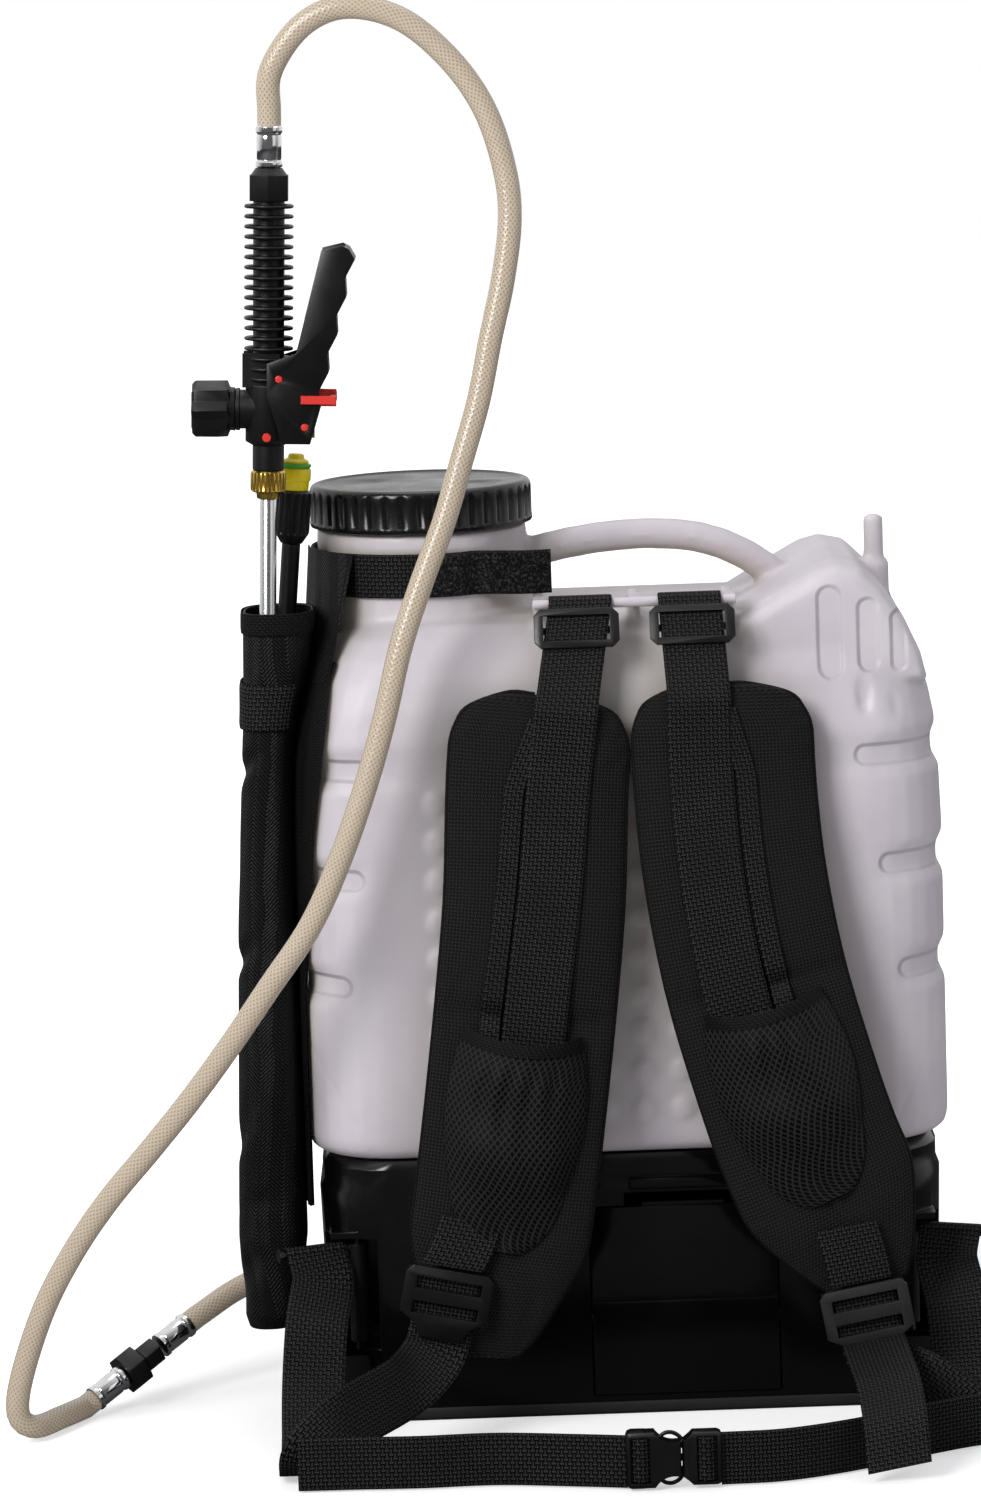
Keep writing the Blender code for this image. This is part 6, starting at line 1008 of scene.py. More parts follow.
# %% Spare lance, collar, nozzle and ring
SPARE_SEAT = Matrix.Translation((-0.184, -0.048, 0.580)) @ Matrix.Rotation(math.radians(5.6), 4, "Y")
NOZZLE_LOW = -0.0215
yellow_outline = [(0.0, NOZZLE_LOW), (0.0080, NOZZLE_LOW), (0.0084, NOZZLE_LOW + 0.0006), (0.0086, -0.0162),
                  (0.0092, -0.0156), (0.0094, -0.0148), (0.0094, -0.0094), (0.0088, -0.0084),
                  (0.0074, -0.0078), (0.0072, -0.0072), (0.0072, -0.0056), (0.0076, -0.0050),
                  (0.0078, -0.0044), (0.0072, -0.0036), (0.0056, -0.0030), (0.0050, -0.0024),
                  (0.0047, -0.0008), (0.0040, 0.0), (0.0, 0.0)]
yellow = turned("yellow_nozzle", yellow_outline, yellow_acetal, SPARE_SEAT, 48)
dress(yellow, "yellow_plastic", "spare_nozzle", body="spare_tip")
RING_OUTLINE = [(0.0073, -0.0077), (0.0089, -0.0077), (0.0093, -0.0071), (0.0093, -0.0062),
                (0.0089, -0.0057), (0.0073, -0.0057), (0.0073, -0.0077)]
dress(turned("green_ring", RING_OUTLINE, green_acetal, SPARE_SEAT, 48), "yellow_plastic", body="spare_tip")
COLLAR_HIGH = NOZZLE_LOW - GAP
COLLAR_LOW = COLLAR_HIGH - 0.0255
COLLAR_RIBS, COLLAR_RIB_DEPTH = 14, 0.0012
collar_outline = [(0.0, COLLAR_LOW - 0.0060), (0.0063, COLLAR_LOW - 0.0060), (0.0070, COLLAR_LOW - 0.0050),
                  (0.0098, COLLAR_LOW - 0.0006), (0.0103, COLLAR_LOW + 0.0004),
                  (0.0105, COLLAR_LOW + 0.0014), (0.0105, COLLAR_LOW + 0.0120),
                  (0.0105, COLLAR_HIGH - 0.0022), (0.0101, COLLAR_HIGH - 0.0010), (0.0090, COLLAR_HIGH),
                  (0.0, COLLAR_HIGH)]
collar = turned("ribbed_collar", collar_outline, gun_nylon, steps=COLLAR_RIBS * 8)
fluted(collar, COLLAR_RIBS, COLLAR_RIB_DEPTH, 0.0100, COLLAR_LOW - 0.0001, COLLAR_HIGH - 0.0015)
collar.data.transform(SPARE_SEAT)
smooth(collar, 40.0)
dress(collar, "black_plastic", "spare_collar", body="spare_lance")
TUBE_HIGH = COLLAR_LOW - 0.0063
spare_outline = [(0.0, -0.415), (0.0050, -0.415), (0.0055, -0.4145), (0.0055, TUBE_HIGH - 0.0004),
                 (0.0052, TUBE_HIGH), (0.0, TUBE_HIGH)]
spare_tube = turned("spare_tube", spare_outline, gun_nylon, SPARE_SEAT, 32)
dress(spare_tube, "black_plastic", "spare_lance_tube", body="spare_lance")
print("collar faces", len(collar.data.polygons))

# %% [markdown]
# ## Cloth finishes
# The harness is nylon webbing, the pads and the holster are coated polyester cloth, and the pockets are
# knitted mesh. A weave can be a picture or a pattern. Here it is a pattern on the UV map: a checker picks,
# square by square, whether the upper thread runs along or across, and a wave rounds that thread. Real
# threads are 0.5 to 1 mm, too fine to show, so they are drawn two to three times as coarse. Dust in the
# cloth is a soft cloud that greys it.


# %% Woven cloths
DUST_MM = 38.0


def woven(name, thread_mm, low, high, dusty, roughness, relief_mm, sheen, twill_mm=0.0):
    """A plain weave on the UV map, or a herringbone twill of a given width, with dust and a little sheen; low
    is painted shade in the weave's hollows and high a painted highlight on its crowns.
    """
    finish, shader = new_finish(name)
    place = add(finish, "TexCoord")
    squares = add(finish, "TexChecker", {"Vector": place.outputs["UV"], "Scale": 1000.0 / thread_mm})
    warp, weft = [add(finish, "TexWave", {"Vector": place.outputs["UV"], "Scale": bands(thread_mm)},
                      bands_direction=direction) for direction in ("X", "Y")]
    weave = add(finish, "Mix", {0: squares.outputs["Fac"], 2: warp.outputs["Fac"], 3: weft.outputs["Fac"]},
                data_type="FLOAT")
    if twill_mm:
        parts = add(finish, "SeparateXYZ", {"Vector": place.outputs["UV"]})
        fold = add(finish, "Math", {0: parts.outputs["X"], 1: twill_mm / 2000.0}, operation="PINGPONG")
        slant = add(finish, "Math", {0: fold.outputs[0], 1: parts.outputs["Y"]}, operation="ADD")
        lines = add(finish, "CombineXYZ", {"X": slant.outputs[0]})
        twill = add(finish, "TexWave", {"Vector": lines.outputs[0], "Scale": bands(thread_mm)},
                    bands_direction="X")
        weave = add(finish, "Mix", {0: 0.75, 2: weave.outputs[0], 3: twill.outputs["Fac"]}, data_type="FLOAT")
    # painted highlight and shade: the weave's crowns take the light colour, the hollows between threads the
    # dark one
    lit_crowns = add(finish, "MapRange", {"Value": weave.outputs[0], "From Min": 0.60, "From Max": 1.0})
    lit_and_shaded_threads = add(finish, "Mix", {0: lit_crowns.outputs[0], 6: linear(low), 7: linear(high)}, data_type="RGBA")
    cloud = add(finish, "TexNoise", {"Vector": place.outputs["Object"], "Scale": millimetres(DUST_MM),
                                     "Detail": 6.0, "Roughness": 0.7})
    dust = add(finish, "MapRange", {"Value": cloud.outputs["Fac"], "From Min": 0.42, "From Max": 0.8,
                                    "To Min": 0.0, "To Max": 0.5})
    colour = add(finish, "Mix", {0: dust.outputs[0], 6: lit_and_shaded_threads.outputs[2], 7: linear(dusty)},
                 data_type="RGBA")
    bump = add(finish, "Bump", {"Height": weave.outputs[0], "Strength": 0.7, "Distance": relief_mm / 1000.0})
    join(finish, shader, {"Base Color": colour.outputs[2], "Roughness": roughness, "Specular IOR Level": 0.2,
                          "Sheen Weight": sheen, "Sheen Roughness": 0.45, "Normal": bump.outputs[0]})
    return finish


# each cloth's first two colours are the painted shade in the weave's hollows and the painted highlight on its
# crowns
nylon_webbing = woven("nylon_webbing", 2.4, "000000", "363638", "080808", 0.60, 0.7, 0.0)
pad_polyester = woven("pad_polyester", 2.1, "060606", "2c2c2d", "1a1a1b", 0.85, 0.4, 0.03)
holster_cloth = woven("coated_oxford_nylon", 2.4, "010102", "2c2c2d", "0a0a0b", 0.50, 0.6, 0.0, twill_mm=16.0)
binding_tape = woven("binding_tape", 1.6, "020202", "161617", "0b0b0b", 0.66, 0.4, 0.0)
print("cloths ready")

# %% [markdown]
# The knitted mesh has diamond holes about 3 mm long, drawn a little coarser. Real holes need a see-through
# material, which is slow to render and would show the pad's cloth anyway, so the holes are drawn dark, as
# the shade inside them is. The hook side of the hook-and-loop strap is a bed of tiny stiff hooks, too small
# to see one by one: a rough, speckled pile.

# %% Knitted mesh and hook pile
KNIT_MM = 3.3
knit_mesh, shader = new_finish("knitted_polyester_mesh")
net = crossed_yarns(knit_mesh, KNIT_MM)
open_net = add(knit_mesh, "MapRange", {"Value": net.outputs[0], "From Min": 0.55, "From Max": 0.9})
colour = add(knit_mesh, "Mix", {0: open_net.outputs[0], 6: linear("000000"), 7: linear("252527")},
             data_type="RGBA")
bump = add(knit_mesh, "Bump", {"Height": open_net.outputs[0], "Strength": 0.8, "Distance": 0.0008})
join(knit_mesh, shader, {"Base Color": colour.outputs[2], "Roughness": 0.6, "Specular IOR Level": 0.2,
                         "Normal": bump.outputs[0]})

HOOK_MM = 1.8
hook_pile, shader = new_finish("hook_pile")
place = add(hook_pile, "TexCoord")
hooks = add(hook_pile, "TexNoise", {"Vector": place.outputs["Object"], "Scale": millimetres(HOOK_MM),
                                    "Detail": 4.0, "Roughness": 0.8})
tips = add(hook_pile, "MapRange", {"Value": hooks.outputs["Fac"], "From Min": 0.50, "From Max": 0.68})
colour = add(hook_pile, "Mix", {0: tips.outputs[0], 6: linear("030303"), 7: linear("55524f")},
             data_type="RGBA")
bump = add(hook_pile, "Bump", {"Height": hooks.outputs["Fac"], "Strength": 1.0, "Distance": 0.0012})
join(hook_pile, shader, {"Base Color": colour.outputs[2], "Roughness": 0.85, "Specular IOR Level": 0.25,
                         "Normal": bump.outputs[0]})
print("mesh holes", KNIT_MM, "mm, hooks", HOOK_MM, "mm")

# %% [markdown]
# ## Sheets and straps
# Webbing, pockets and flaps are thin sheets bent in space. A plane with Solidify would do, but then the UV
# map has to be unwrapped. Here a grid of points makes both faces and the edge at once, a little thinner at
# the two selvedges, with a UV map in metres.


# %% Thin sheets from a grid of points
def cloth_sheet(name, rows, thickness, finish):
    """A thin closed sheet through a grid of points, with its UV map in metres."""
    rows = np.array(rows, float)
    down, columns = rows.shape[:2]
    outwards = unit(np.cross(np.gradient(rows, axis=1), np.gradient(rows, axis=0)))
    selvedge = np.abs(np.linspace(-1, 1, columns)) ** 12
    half = (thickness / 2 * (1 - 0.55 * selvedge))[None, :, None]
    points = np.concatenate([(rows + outwards * half).reshape(-1, 3),
                             (rows - outwards * half).reshape(-1, 3)])
    across = np.stack([lengths_along(row) for row in rows])
    along = lengths_along(rows[:, columns // 2])
    back = down * columns
    faces, places = [], []

    def put(*corners):
        """Add one face, given as (row, column, side) corners."""
        faces.append([side * back + i * columns + j for i, j, side in corners])
        places.extend((across[i, j], along[i]) for i, j, side in corners)

    for i in range(down - 1):
        for j in range(columns - 1):
            put((i, j, 0), (i, j + 1, 0), (i + 1, j + 1, 0), (i + 1, j, 0))
            put((i, j, 1), (i + 1, j, 1), (i + 1, j + 1, 1), (i, j + 1, 1))
    for i in range(down - 1):
        put((i, 0, 0), (i + 1, 0, 0), (i + 1, 0, 1), (i, 0, 1))
        put((i, columns - 1, 0), (i, columns - 1, 1), (i + 1, columns - 1, 1), (i + 1, columns - 1, 0))
    for j in range(columns - 1):
        put((0, j, 0), (0, j, 1), (0, j + 1, 1), (0, j + 1, 0))
        put((down - 1, j, 0), (down - 1, j + 1, 0), (down - 1, j + 1, 1), (down - 1, j, 1))
    return new_piece(name, points, faces, places, finish)


def declare_sheet(rows):
    """Work out the longest run down a sheet's grid; nothing is done with it."""
    rows = np.array(rows, float)
    length = max(lengths_along(column)[-1] for column in rows.transpose(1, 0, 2))


def strap_rows(centres, across, width, columns=11):
    """The grid of a flat strap along a line of centres; across is one direction, or one for each centre."""
    centres = np.array(centres, float)
    across = np.broadcast_to(unit(across), centres.shape)
    spread = np.sin(np.linspace(-1, 1, columns) * math.pi / 2) * width / 2
    return centres[:, None, :] + across[:, None, :] * spread[None, :, None]


def ease(value):
    """A smooth step from 0 to 1."""
    t = np.clip(value, 0.0, 1.0)
    return t * t * (3 - 2 * t)


print("sheets ready")

# %% [markdown]
# ## Shoulder pads
# Each pad is a foam slab in a cloth cover, about 17 mm thick, sewn across just above its pocket, with a
# corded edge. The cover is lofted through rings that are round in section and drawn in at the seam.
# Blender's cloth then blows it up from inside while the seam and the edge are pinned, which gives the soft
# crown and the small puckers of real sewing.

# %% Shoulder pad lines and sizes
PAD_ROUTES = {"left": [(-0.043, -0.1150, 0.440), (-0.0485, -0.1200, 0.389), (-0.0525, -0.1300, 0.322),
                       (-0.060, -0.1390, 0.258), (-0.0695, -0.1450, 0.189), (-0.077, -0.1480, 0.140),
                       (-0.084, -0.1500, 0.100), (-0.089, -0.1500, 0.052)],
              "right": [(0.061, -0.1150, 0.443), (0.061, -0.1200, 0.392), (0.0650, -0.1300, 0.334),
                        (0.075, -0.1390, 0.273), (0.090, -0.1460, 0.216), (0.1045, -0.1500, 0.170),
                        (0.120, -0.1530, 0.134), (0.142, -0.1550, 0.086)]}
PAD_WIDTH, PAD_THICKNESS, PAD_SEAM = 0.105, 0.017, 0.48
PAD_LINE_POINTS = 25
END_ROUNDING, SEAM_DEPTH, SEAM_SPREAD, PAD_CROWN = 0.085, 0.46, 0.014, 3.2
END_WIDTH, END_THICKNESS, FOOT_TAPER = 0.40, 0.35, 0.45


def strap_frame(route):
    """A pad's centre line with its directions across and out to the wearer."""
    centres = smooth_line(route, PAD_LINE_POINTS)
    along = unit(np.gradient(centres, axis=0))
    across = unit(np.cross((0.0, -1.0, 0.0), along))
    return centres, across, np.cross(along, across)


def strap_point(strap, share, offset, lift):
    """A point at a share of the pad's length, across and out from its centre line."""
    spots = np.arange(PAD_LINE_POINTS) / (PAD_LINE_POINTS - 1)
    centre, across, out = [np.array([np.interp(share, spots, values[:, k]) for k in range(3)])
                           for values in strap]
    return centre + offset * across + lift * out


def pad_size(share):
    """Width and thickness of the pad at a share of its length."""
    end = min(share, 1 - share)
    round_off = math.sqrt(max(0.0, 1 - (1 - min(1.0, end / END_ROUNDING)) ** 2))
    width = PAD_WIDTH * (END_WIDTH + (1 - END_WIDTH) * round_off)
    width *= 1 - FOOT_TAPER * float(ease((share - 0.8) / 0.2))
    seam = SEAM_DEPTH * math.exp(-((share - PAD_SEAM) / SEAM_SPREAD) ** 2)
    return width, PAD_THICKNESS * (END_THICKNESS + (1 - END_THICKNESS) * round_off) * (1 - seam)


def pad_surface(share, offset):
    """Height of the pad's face above its centre line, at an offset across."""
    width, thickness = pad_size(share)
    edge = min(0.999, abs(2 * offset / width))
    return thickness / 2 * (1 - edge ** PAD_CROWN) ** (1 / PAD_CROWN)


straps = {side: strap_frame(route) for side, route in PAD_ROUTES.items()}
print("pad lines", {side: round(float(lengths_along(strap[0])[-1]), 3) for side, strap in straps.items()})


# %% Sew and swell the pads
PAD_RINGS, PAD_SIDES = 96, 60
START_SHARE = 0.86
SWELL_CAP, SWELL_PRESSURE, SWELL_FRAMES = 0.0011, 4.0, 20
PUCKER_DEPTH, PUCKER_SPREAD, PUCKER_PITCH = 0.09, 0.040, 0.0085
TUCK_DEPTH, PAD_ROUNDNESS = 0.09, 0.625


def pad_cover(name, strap):
    """The cover's rings before it is blown up, slightly thin, with the edge and seam drawn in."""
    spread = np.linspace(0, 1, PAD_RINGS)
    shares = 0.55 * spread + 0.45 * (1 - np.cos(math.pi * spread)) / 2
    rings, across = [], []
    for share in shares:
        width, thickness = pad_size(share)
        pucker = PUCKER_DEPTH * math.exp(-((share - PAD_SEAM) / PUCKER_SPREAD) ** 2)
        ring = []
        for i in range(PAD_SIDES):
            angle = 2 * math.pi * i / PAD_SIDES
            c, s = math.cos(angle), math.sin(angle)
            offset = width / 2 * math.copysign(abs(c) ** PAD_ROUNDNESS, c)
            lift = START_SHARE * thickness / 2 * math.copysign(abs(s) ** PAD_ROUNDNESS, s)
            lift *= 1 - pucker * (1 + math.cos(offset * 2 * math.pi / PUCKER_PITCH))
            tuck = 1 + math.sin(share * 240.0 + 2.0 * math.sin(share * 31.0))
            lift *= 1 - TUCK_DEPTH * abs(c) ** 5 * tuck
            ring.append(strap_point(strap, share, offset, lift))
        rings.append(ring)
        across.append(lengths_along(ring + ring[:1]))
    for index, share in ((0, 0.0), (-1, 1.0)):
        small = [strap_point(strap, share, 0, 0) * 0.5 + np.array(point) * 0.5 for point in rings[index]]
        rings.insert(0 if index == 0 else len(rings), small)
        across.insert(0 if index == 0 else len(across), lengths_along(small + small[:1]))
    along = [0.0, *(shares * lengths_along(strap[0])[-1]), float(lengths_along(strap[0])[-1])]
    return lofted(name, rings, np.array(across), along, pad_polyester), [0.0, *shares, 1.0]


def swell(piece, sewn, cap):
    """Blow a cover up from inside with the cloth solver, its seams pinned, and cap how far it moves."""
    group = piece.vertex_groups.new(name="sewn")
    group.add(sewn, 1.0, "REPLACE")
    cloth = piece.modifiers.new("swell", "CLOTH")
    cloth.settings.vertex_group_mass = "sewn"
    cloth.settings.use_pressure = True
    cloth.settings.uniform_pressure_force = SWELL_PRESSURE
    cloth.settings.effector_weights.gravity = 0.0
    cloth.settings.quality = 6
    rest = coordinates(piece)
    for number in range(1, SWELL_FRAMES + 1):
        scene.frame_set(number)
    blown = piece.evaluated_get(bpy.context.evaluated_depsgraph_get()).to_mesh()
    moved = np.array([vertex.co for vertex in blown.vertices])
    step = moved - rest
    far = np.linalg.norm(step, axis=1, keepdims=True)
    piece.modifiers.remove(cloth)
    scene.frame_set(1)
    move_points(piece, rest + step * np.minimum(1.0, cap / np.maximum(far, 1e-9)))
    print(piece.name, "swelled by", round(float(np.minimum(far, cap).mean()) * 1000, 2), "mm on average")


for side, strap in straps.items():
    cover, cover_shares = pad_cover(f"{side}_padded_strap", strap)
    sewn = []
    for row, share in enumerate(cover_shares):
        for i in range(PAD_SIDES):
            edge = i in (0, PAD_SIDES // 2)
            if edge or abs(share - PAD_SEAM) < 0.005 or share in (0.0, 1.0):
                sewn.append(row * PAD_SIDES + i)
    swell(cover, sewn, SWELL_CAP)
    finer = cover.modifiers.new("finer", "SUBSURF")
    finer.levels = 1
    finer.render_levels = 1
    apply_all(cover)
    smooth(cover, 180.0)
    dress(cover, "pad_cloth", f"{side}_shoulder_pad")
    print(cover.name, len(cover.data.polygons), "faces")

# %% [markdown]
# The two faces of a pad's cover are joined by a cord that is sewn into the edge. It is a thin tube that
# follows the pad's outline all round.

# %% Corded edges
CORD_RADIUS, CORD_INSET = 0.0015, 0.0003
for side, strap in straps.items():
    shares = np.linspace(0.0, 1.0, 120)
    right_edge = [strap_point(strap, share, pad_size(share)[0] / 2 - CORD_INSET, 0) for share in shares]
    left_edge = [strap_point(strap, share, -pad_size(share)[0] / 2 + CORD_INSET, 0) for share in shares[::-1]]
    top_half = [strap_point(strap, 0.0, offset, 0) for offset in (0.0, 0.005, 0.010, 0.015)]
    other_half = [strap_point(strap, 0.0, -offset, 0) for offset in (0.015, 0.010, 0.005, 0.0)]
    corded = np.array(top_half + right_edge + left_edge + other_half)
    corded = smooth_line(corded[::3], 260)
    edge_cord = hose_skin(f"{side}_pad_edge", corded, CORD_RADIUS, binding_tape, around=10)
    dress(edge_cord, "pad_cloth")
    print(edge_cord.name, round(float(lengths_along(corded)[-1]), 3), "m round")

# %% [markdown]
# ## Mesh pockets
# A pocket is a knitted panel, sewn to the pad at its sides and foot and wider than the pad's face, so that
# it stands off and is open at the top. Its slack makes upright folds near the mouth. The mouth has a folded
# hem, 7 mm deep.

# %% Pockets and hems
POCKET_TOP, POCKET_END, POCKET_WIDTH, POCKET_BULGE = 0.50, 0.83, 0.080, 0.017
MOUTH_SAG, GATHER_DEPTH, SLACK_DEPTH = 0.016, 0.0017, 0.0012
MESH_THICKNESS, HEM_THICKNESS, HEM_STAND = 0.0012, 0.0009, 0.0011
ROWS, COLUMNS = 52, 44


def pocket_point(strap, down, across, proud=0.0):
    """A point of a pocket at shares down and across it, from 0 to 1."""
    share = POCKET_TOP + (POCKET_END - POCKET_TOP) * down
    fill = 1 - float(ease((down - 0.50) / 0.50))
    half = POCKET_WIDTH / 2 * (0.86 + 0.17 * math.sin(math.pi * min(1.0, max(0.0, down) / 0.7)))
    half *= math.sqrt(1 - (0.93 * max(0.0, (down - 0.60) / 0.40)) ** 2.3)
    offset = half * (2 * across - 1)
    sag = MOUTH_SAG * (1 - (2 * across - 1) ** 2) * (1 - down)
    bulge = POCKET_BULGE * (1 - abs(offset / half) ** 2.4) * (0.12 + 0.88 * fill)
    gathers = GATHER_DEPTH * math.sin(across * 38.0 + 1.8 * math.sin(down * 4.0))
    gathers *= math.exp(-((down - 0.10) / 0.28) ** 2)
    gathers *= float(ease((down - 0.07) / 0.15))
    slack = SLACK_DEPTH * math.sin(across * 9.0 - down * 13.0 + 1.5 * math.sin(across * 7.0 + down * 3.0))
    folds = (gathers + slack) * math.sin(math.pi * across)
    base = pad_surface(share, 0.0 if abs(offset) < 0.015 else offset)
    return strap_point(strap, share + sag, offset, base + MESH_THICKNESS + max(0.0, bulge + folds) + proud)


for side, strap in straps.items():
    grid = [[pocket_point(strap, i / ROWS, j / COLUMNS) for j in range(COLUMNS + 1)] for i in range(ROWS + 1)]
    pocket = cloth_sheet(f"{side}_knitted_pocket", grid, MESH_THICKNESS, knit_mesh)
    dress(pocket, "mesh", f"{side}_mesh_pocket")
    hem_grid = [[pocket_point(strap, -0.004 + i * 0.012, j / COLUMNS, HEM_STAND) for j in range(COLUMNS + 1)]
                for i in range(6)]
    hem = cloth_sheet(f"{side}_pocket_hem", hem_grid, HEM_THICKNESS, binding_tape)
    dress(hem, "mesh")
    declare_sheet(grid)

# %% [markdown]
# ## Upper webbing
# A strap of 37 mm webbing is sewn round the tank's rail, runs through a tri-glide and down the middle of
# the pad, and ends inside the pocket. A second, thinner strip lies under it and shows beside it, the
# reinforcement it is sewn to.


# %% Upper webbing and its backing strip
WEBBING_WIDTH, WEBBING_THICKNESS, STRIP_THICKNESS = 0.037, 0.0016, 0.0010


def sew_webbing(name, rows, held, rests_on, *nodes, slot="webbing", body="sprayer",
                thickness=WEBBING_THICKNESS):
    """A sheet of webbing from its rows of points, dressed."""
    webbing = cloth_sheet(name, rows, thickness, nylon_webbing)
    dress(webbing, slot, *nodes, body=body)
    declare_sheet(rows)


RAIL_REACH = 0.0043
STRIP_WIDTH, STRIP_LIFT, STRIP_START, STRIP_SPREAD = 0.0115, 0.0015, 0.0140, 0.0118
PAD_LIFT = 0.0099
for side, rail_x, first_offset, last_offset, strip_side in (
        ("left", -0.0195, 0.0135, 0.006, -1), ("right", 0.0445, -0.0135, -0.0135, 1)):
    strap = straps[side]
    centres, across = [], []
    for degrees in range(250, 20, -12):
        angle = math.radians(degrees)
        centres.append((rail_x, RAIL_Y - RAIL_REACH * math.cos(angle), RAIL_Z + RAIL_REACH * math.sin(angle)))
        across.append((1.0, 0.0, 0.0))
    shares = np.linspace(0.02, 0.535, 70)
    offsets = first_offset + (last_offset - first_offset) * ease(shares / 0.50)
    lies = [strap_point(strap, share, offset, PAD_LIFT) for share, offset in zip(shares, offsets)]
    rail_end = np.array(centres[-1])
    for part in np.linspace(0.1, 0.75, 10):
        centres.append(rail_end + (lies[0] - rail_end) * part)
        across.append((1.0, 0.0, 0.0))
    centres += lies
    turn = strap[1][np.clip(np.round(shares * (PAD_LINE_POINTS - 1)).astype(int), 0, PAD_LINE_POINTS - 1)]
    across += list(turn)
    rows = strap_rows(centres, across, WEBBING_WIDTH)
    sew_webbing(f"{side}_shoulder_webbing", rows, "stretched", ["strap_rail", f"{side}_padded_strap"],
                f"{side}_upper_webbing")
    strip_shares = np.linspace(0.035, 0.525, 56)
    beside = first_offset + (last_offset - first_offset) * ease(strip_shares / 0.50)
    beside = beside + strip_side * (STRIP_START + STRIP_SPREAD * ease(strip_shares / 0.16))
    strip_centres = [strap_point(strap, share, offset, pad_surface(share, offset) + STRIP_LIFT)
                     for share, offset in zip(strip_shares, beside)]
    strip_turn = [strap[1][int(round(share * (PAD_LINE_POINTS - 1)))] for share in strip_shares]
    strip_rows = strap_rows(strip_centres, strip_turn, STRIP_WIDTH, 9)
    sew_webbing(f"{side}_backing_strip", strip_rows, "stretched", [f"{side}_padded_strap"],
                thickness=STRIP_THICKNESS)

# %% [markdown]
# ## Lower webbing
# From a hook on the base's pin a slack strap hangs to the ground and rises to a ladder lock under the pad.
# The strap turns as it goes, so it gets a direction across it at each of its points, made square to its
# run.


# %% Lower webbing
def squared(centres, across):
    """The directions across, turned square to the run of the centres."""
    run = unit(np.gradient(np.array([tuple(c) for c in centres]), axis=0))
    across = np.array([tuple(a) for a in across], float)
    return unit(across - run * np.sum(across * run, axis=1)[:, None])


PIN_X, PIN_Y, ARM_Z, HOOK_SWEEP = 0.165, -0.0895, 0.1065, math.radians(20.0)
ARM_REACH, ARM_BEND, DROP_AHEAD, DROP_DOWN = 0.02675, 0.0036, 0.008, 0.016
LOOP_WIDTH, RUN_POINTS = 0.036, 150
BASE_SIDE = 0.187
LEFT_LOCK, LEFT_ACROSS = (-0.112, -0.1623, 0.093), (0.978, 0.0, -0.208)
RIGHT_LOCK, RIGHT_ACROSS = (0.134, -0.1655, 0.076), (0.985, 0.0, 0.174)
LEFT_LOWER = [((-BASE_SIDE - 0.0030, -0.1280, 0.070), (1.0, 0.1, 0.0)),
              ((-BASE_SIDE - 0.0060, -0.1430, 0.035), (1.0, 0.0, 0.0)),
              ((-BASE_SIDE - 0.0065, -0.1640, 0.008), (1.0, 0.0, 0.0)),
              ((-BASE_SIDE - 0.0065, -0.1900, 0.004), (1.0, 0.0, 0.0)),
              ((-BASE_SIDE - 0.0060, -0.2200, 0.006), (1.0, 0.0, 0.0)),
              ((-BASE_SIDE - 0.0030, -0.2350, 0.022), (0.95, 0.0, -0.3)),
              ((-0.1700, -0.2220, 0.038), (0.6, 0.1, -0.8)), ((-0.1380, -0.1840, 0.046), (0.6, 0.2, -0.7)),
              ((-0.1220, -0.1660, 0.058), (0.9, 0.0, -0.3)), ((-0.1165, -0.1623, 0.072), LEFT_ACROSS),
              (LEFT_LOCK, LEFT_ACROSS), ((-0.1092, -0.1623, 0.106), LEFT_ACROSS)]
RIGHT_LOWER = [((BASE_SIDE + 0.0030, -0.1250, 0.070), (1.0, 0.0, 0.0)),
               ((BASE_SIDE + 0.0050, -0.1380, 0.035), (1.0, 0.0, 0.0)),
               ((BASE_SIDE + 0.0050, -0.1560, 0.008), (1.0, 0.0, 0.0)),
               ((BASE_SIDE + 0.0030, -0.1780, 0.006), (1.0, 0.0, 0.0)),
               ((BASE_SIDE - 0.0020, -0.1880, 0.020), (0.9, 0.0, 0.3)),
               ((0.1650, -0.1800, 0.036), (0.6, 0.0, 0.8)), ((0.1450, -0.1680, 0.042), (0.85, 0.0, 0.5)),
               ((0.1377, -0.1655, 0.055), RIGHT_ACROSS), (RIGHT_LOCK, RIGHT_ACROSS),
               ((0.1319, -0.1655, 0.088), RIGHT_ACROSS)]
for name, sign, route in (("left", -1, LEFT_LOWER), ("right", 1, RIGHT_LOWER)):
    arm = np.array((math.cos(HOOK_SWEEP), -sign * math.sin(HOOK_SWEEP), 0.0))
    ahead = np.array((-sign * math.sin(HOOK_SWEEP), -math.cos(HOOK_SWEEP), 0.0))
    middle = np.array((sign * PIN_X, PIN_Y, ARM_Z)) + sign * ARM_REACH * arm
    over = []
    for degrees in range(240, -1, -12):
        angle = math.radians(degrees)
        over.append(middle + ARM_BEND * (ahead * math.cos(angle) + np.array((0, 0, math.sin(angle)))))
    drop = over[-1] + ahead * DROP_AHEAD - np.array((0, 0, DROP_DOWN))
    points = [over[-1], drop] + [np.array(point) for point, _ in route]
    turns = np.array([arm, arm] + [np.array(turn) for _, turn in route])
    run = smooth_line(points, RUN_POINTS)
    keys = lengths_along(points) / lengths_along(points)[-1]
    spread = np.linspace(0, 1, RUN_POINTS)
    across = np.stack([np.interp(spread, keys, turns[:, k]) for k in range(3)], axis=1)
    centres = over[:-1] + list(run)
    rows = strap_rows(centres, squared(centres, [arm] * (len(over) - 1) + list(across)), WEBBING_WIDTH)
    sew_webbing(f"{name}_slack_webbing", rows, "hung", [f"finished_{name}_strap_hook"],
                f"{name}_lower_webbing")

# %% [markdown]
# The spare end of the right strap comes out of its lock and bends down to the ground. Under each pad a
# short loop of webbing carries the lock.

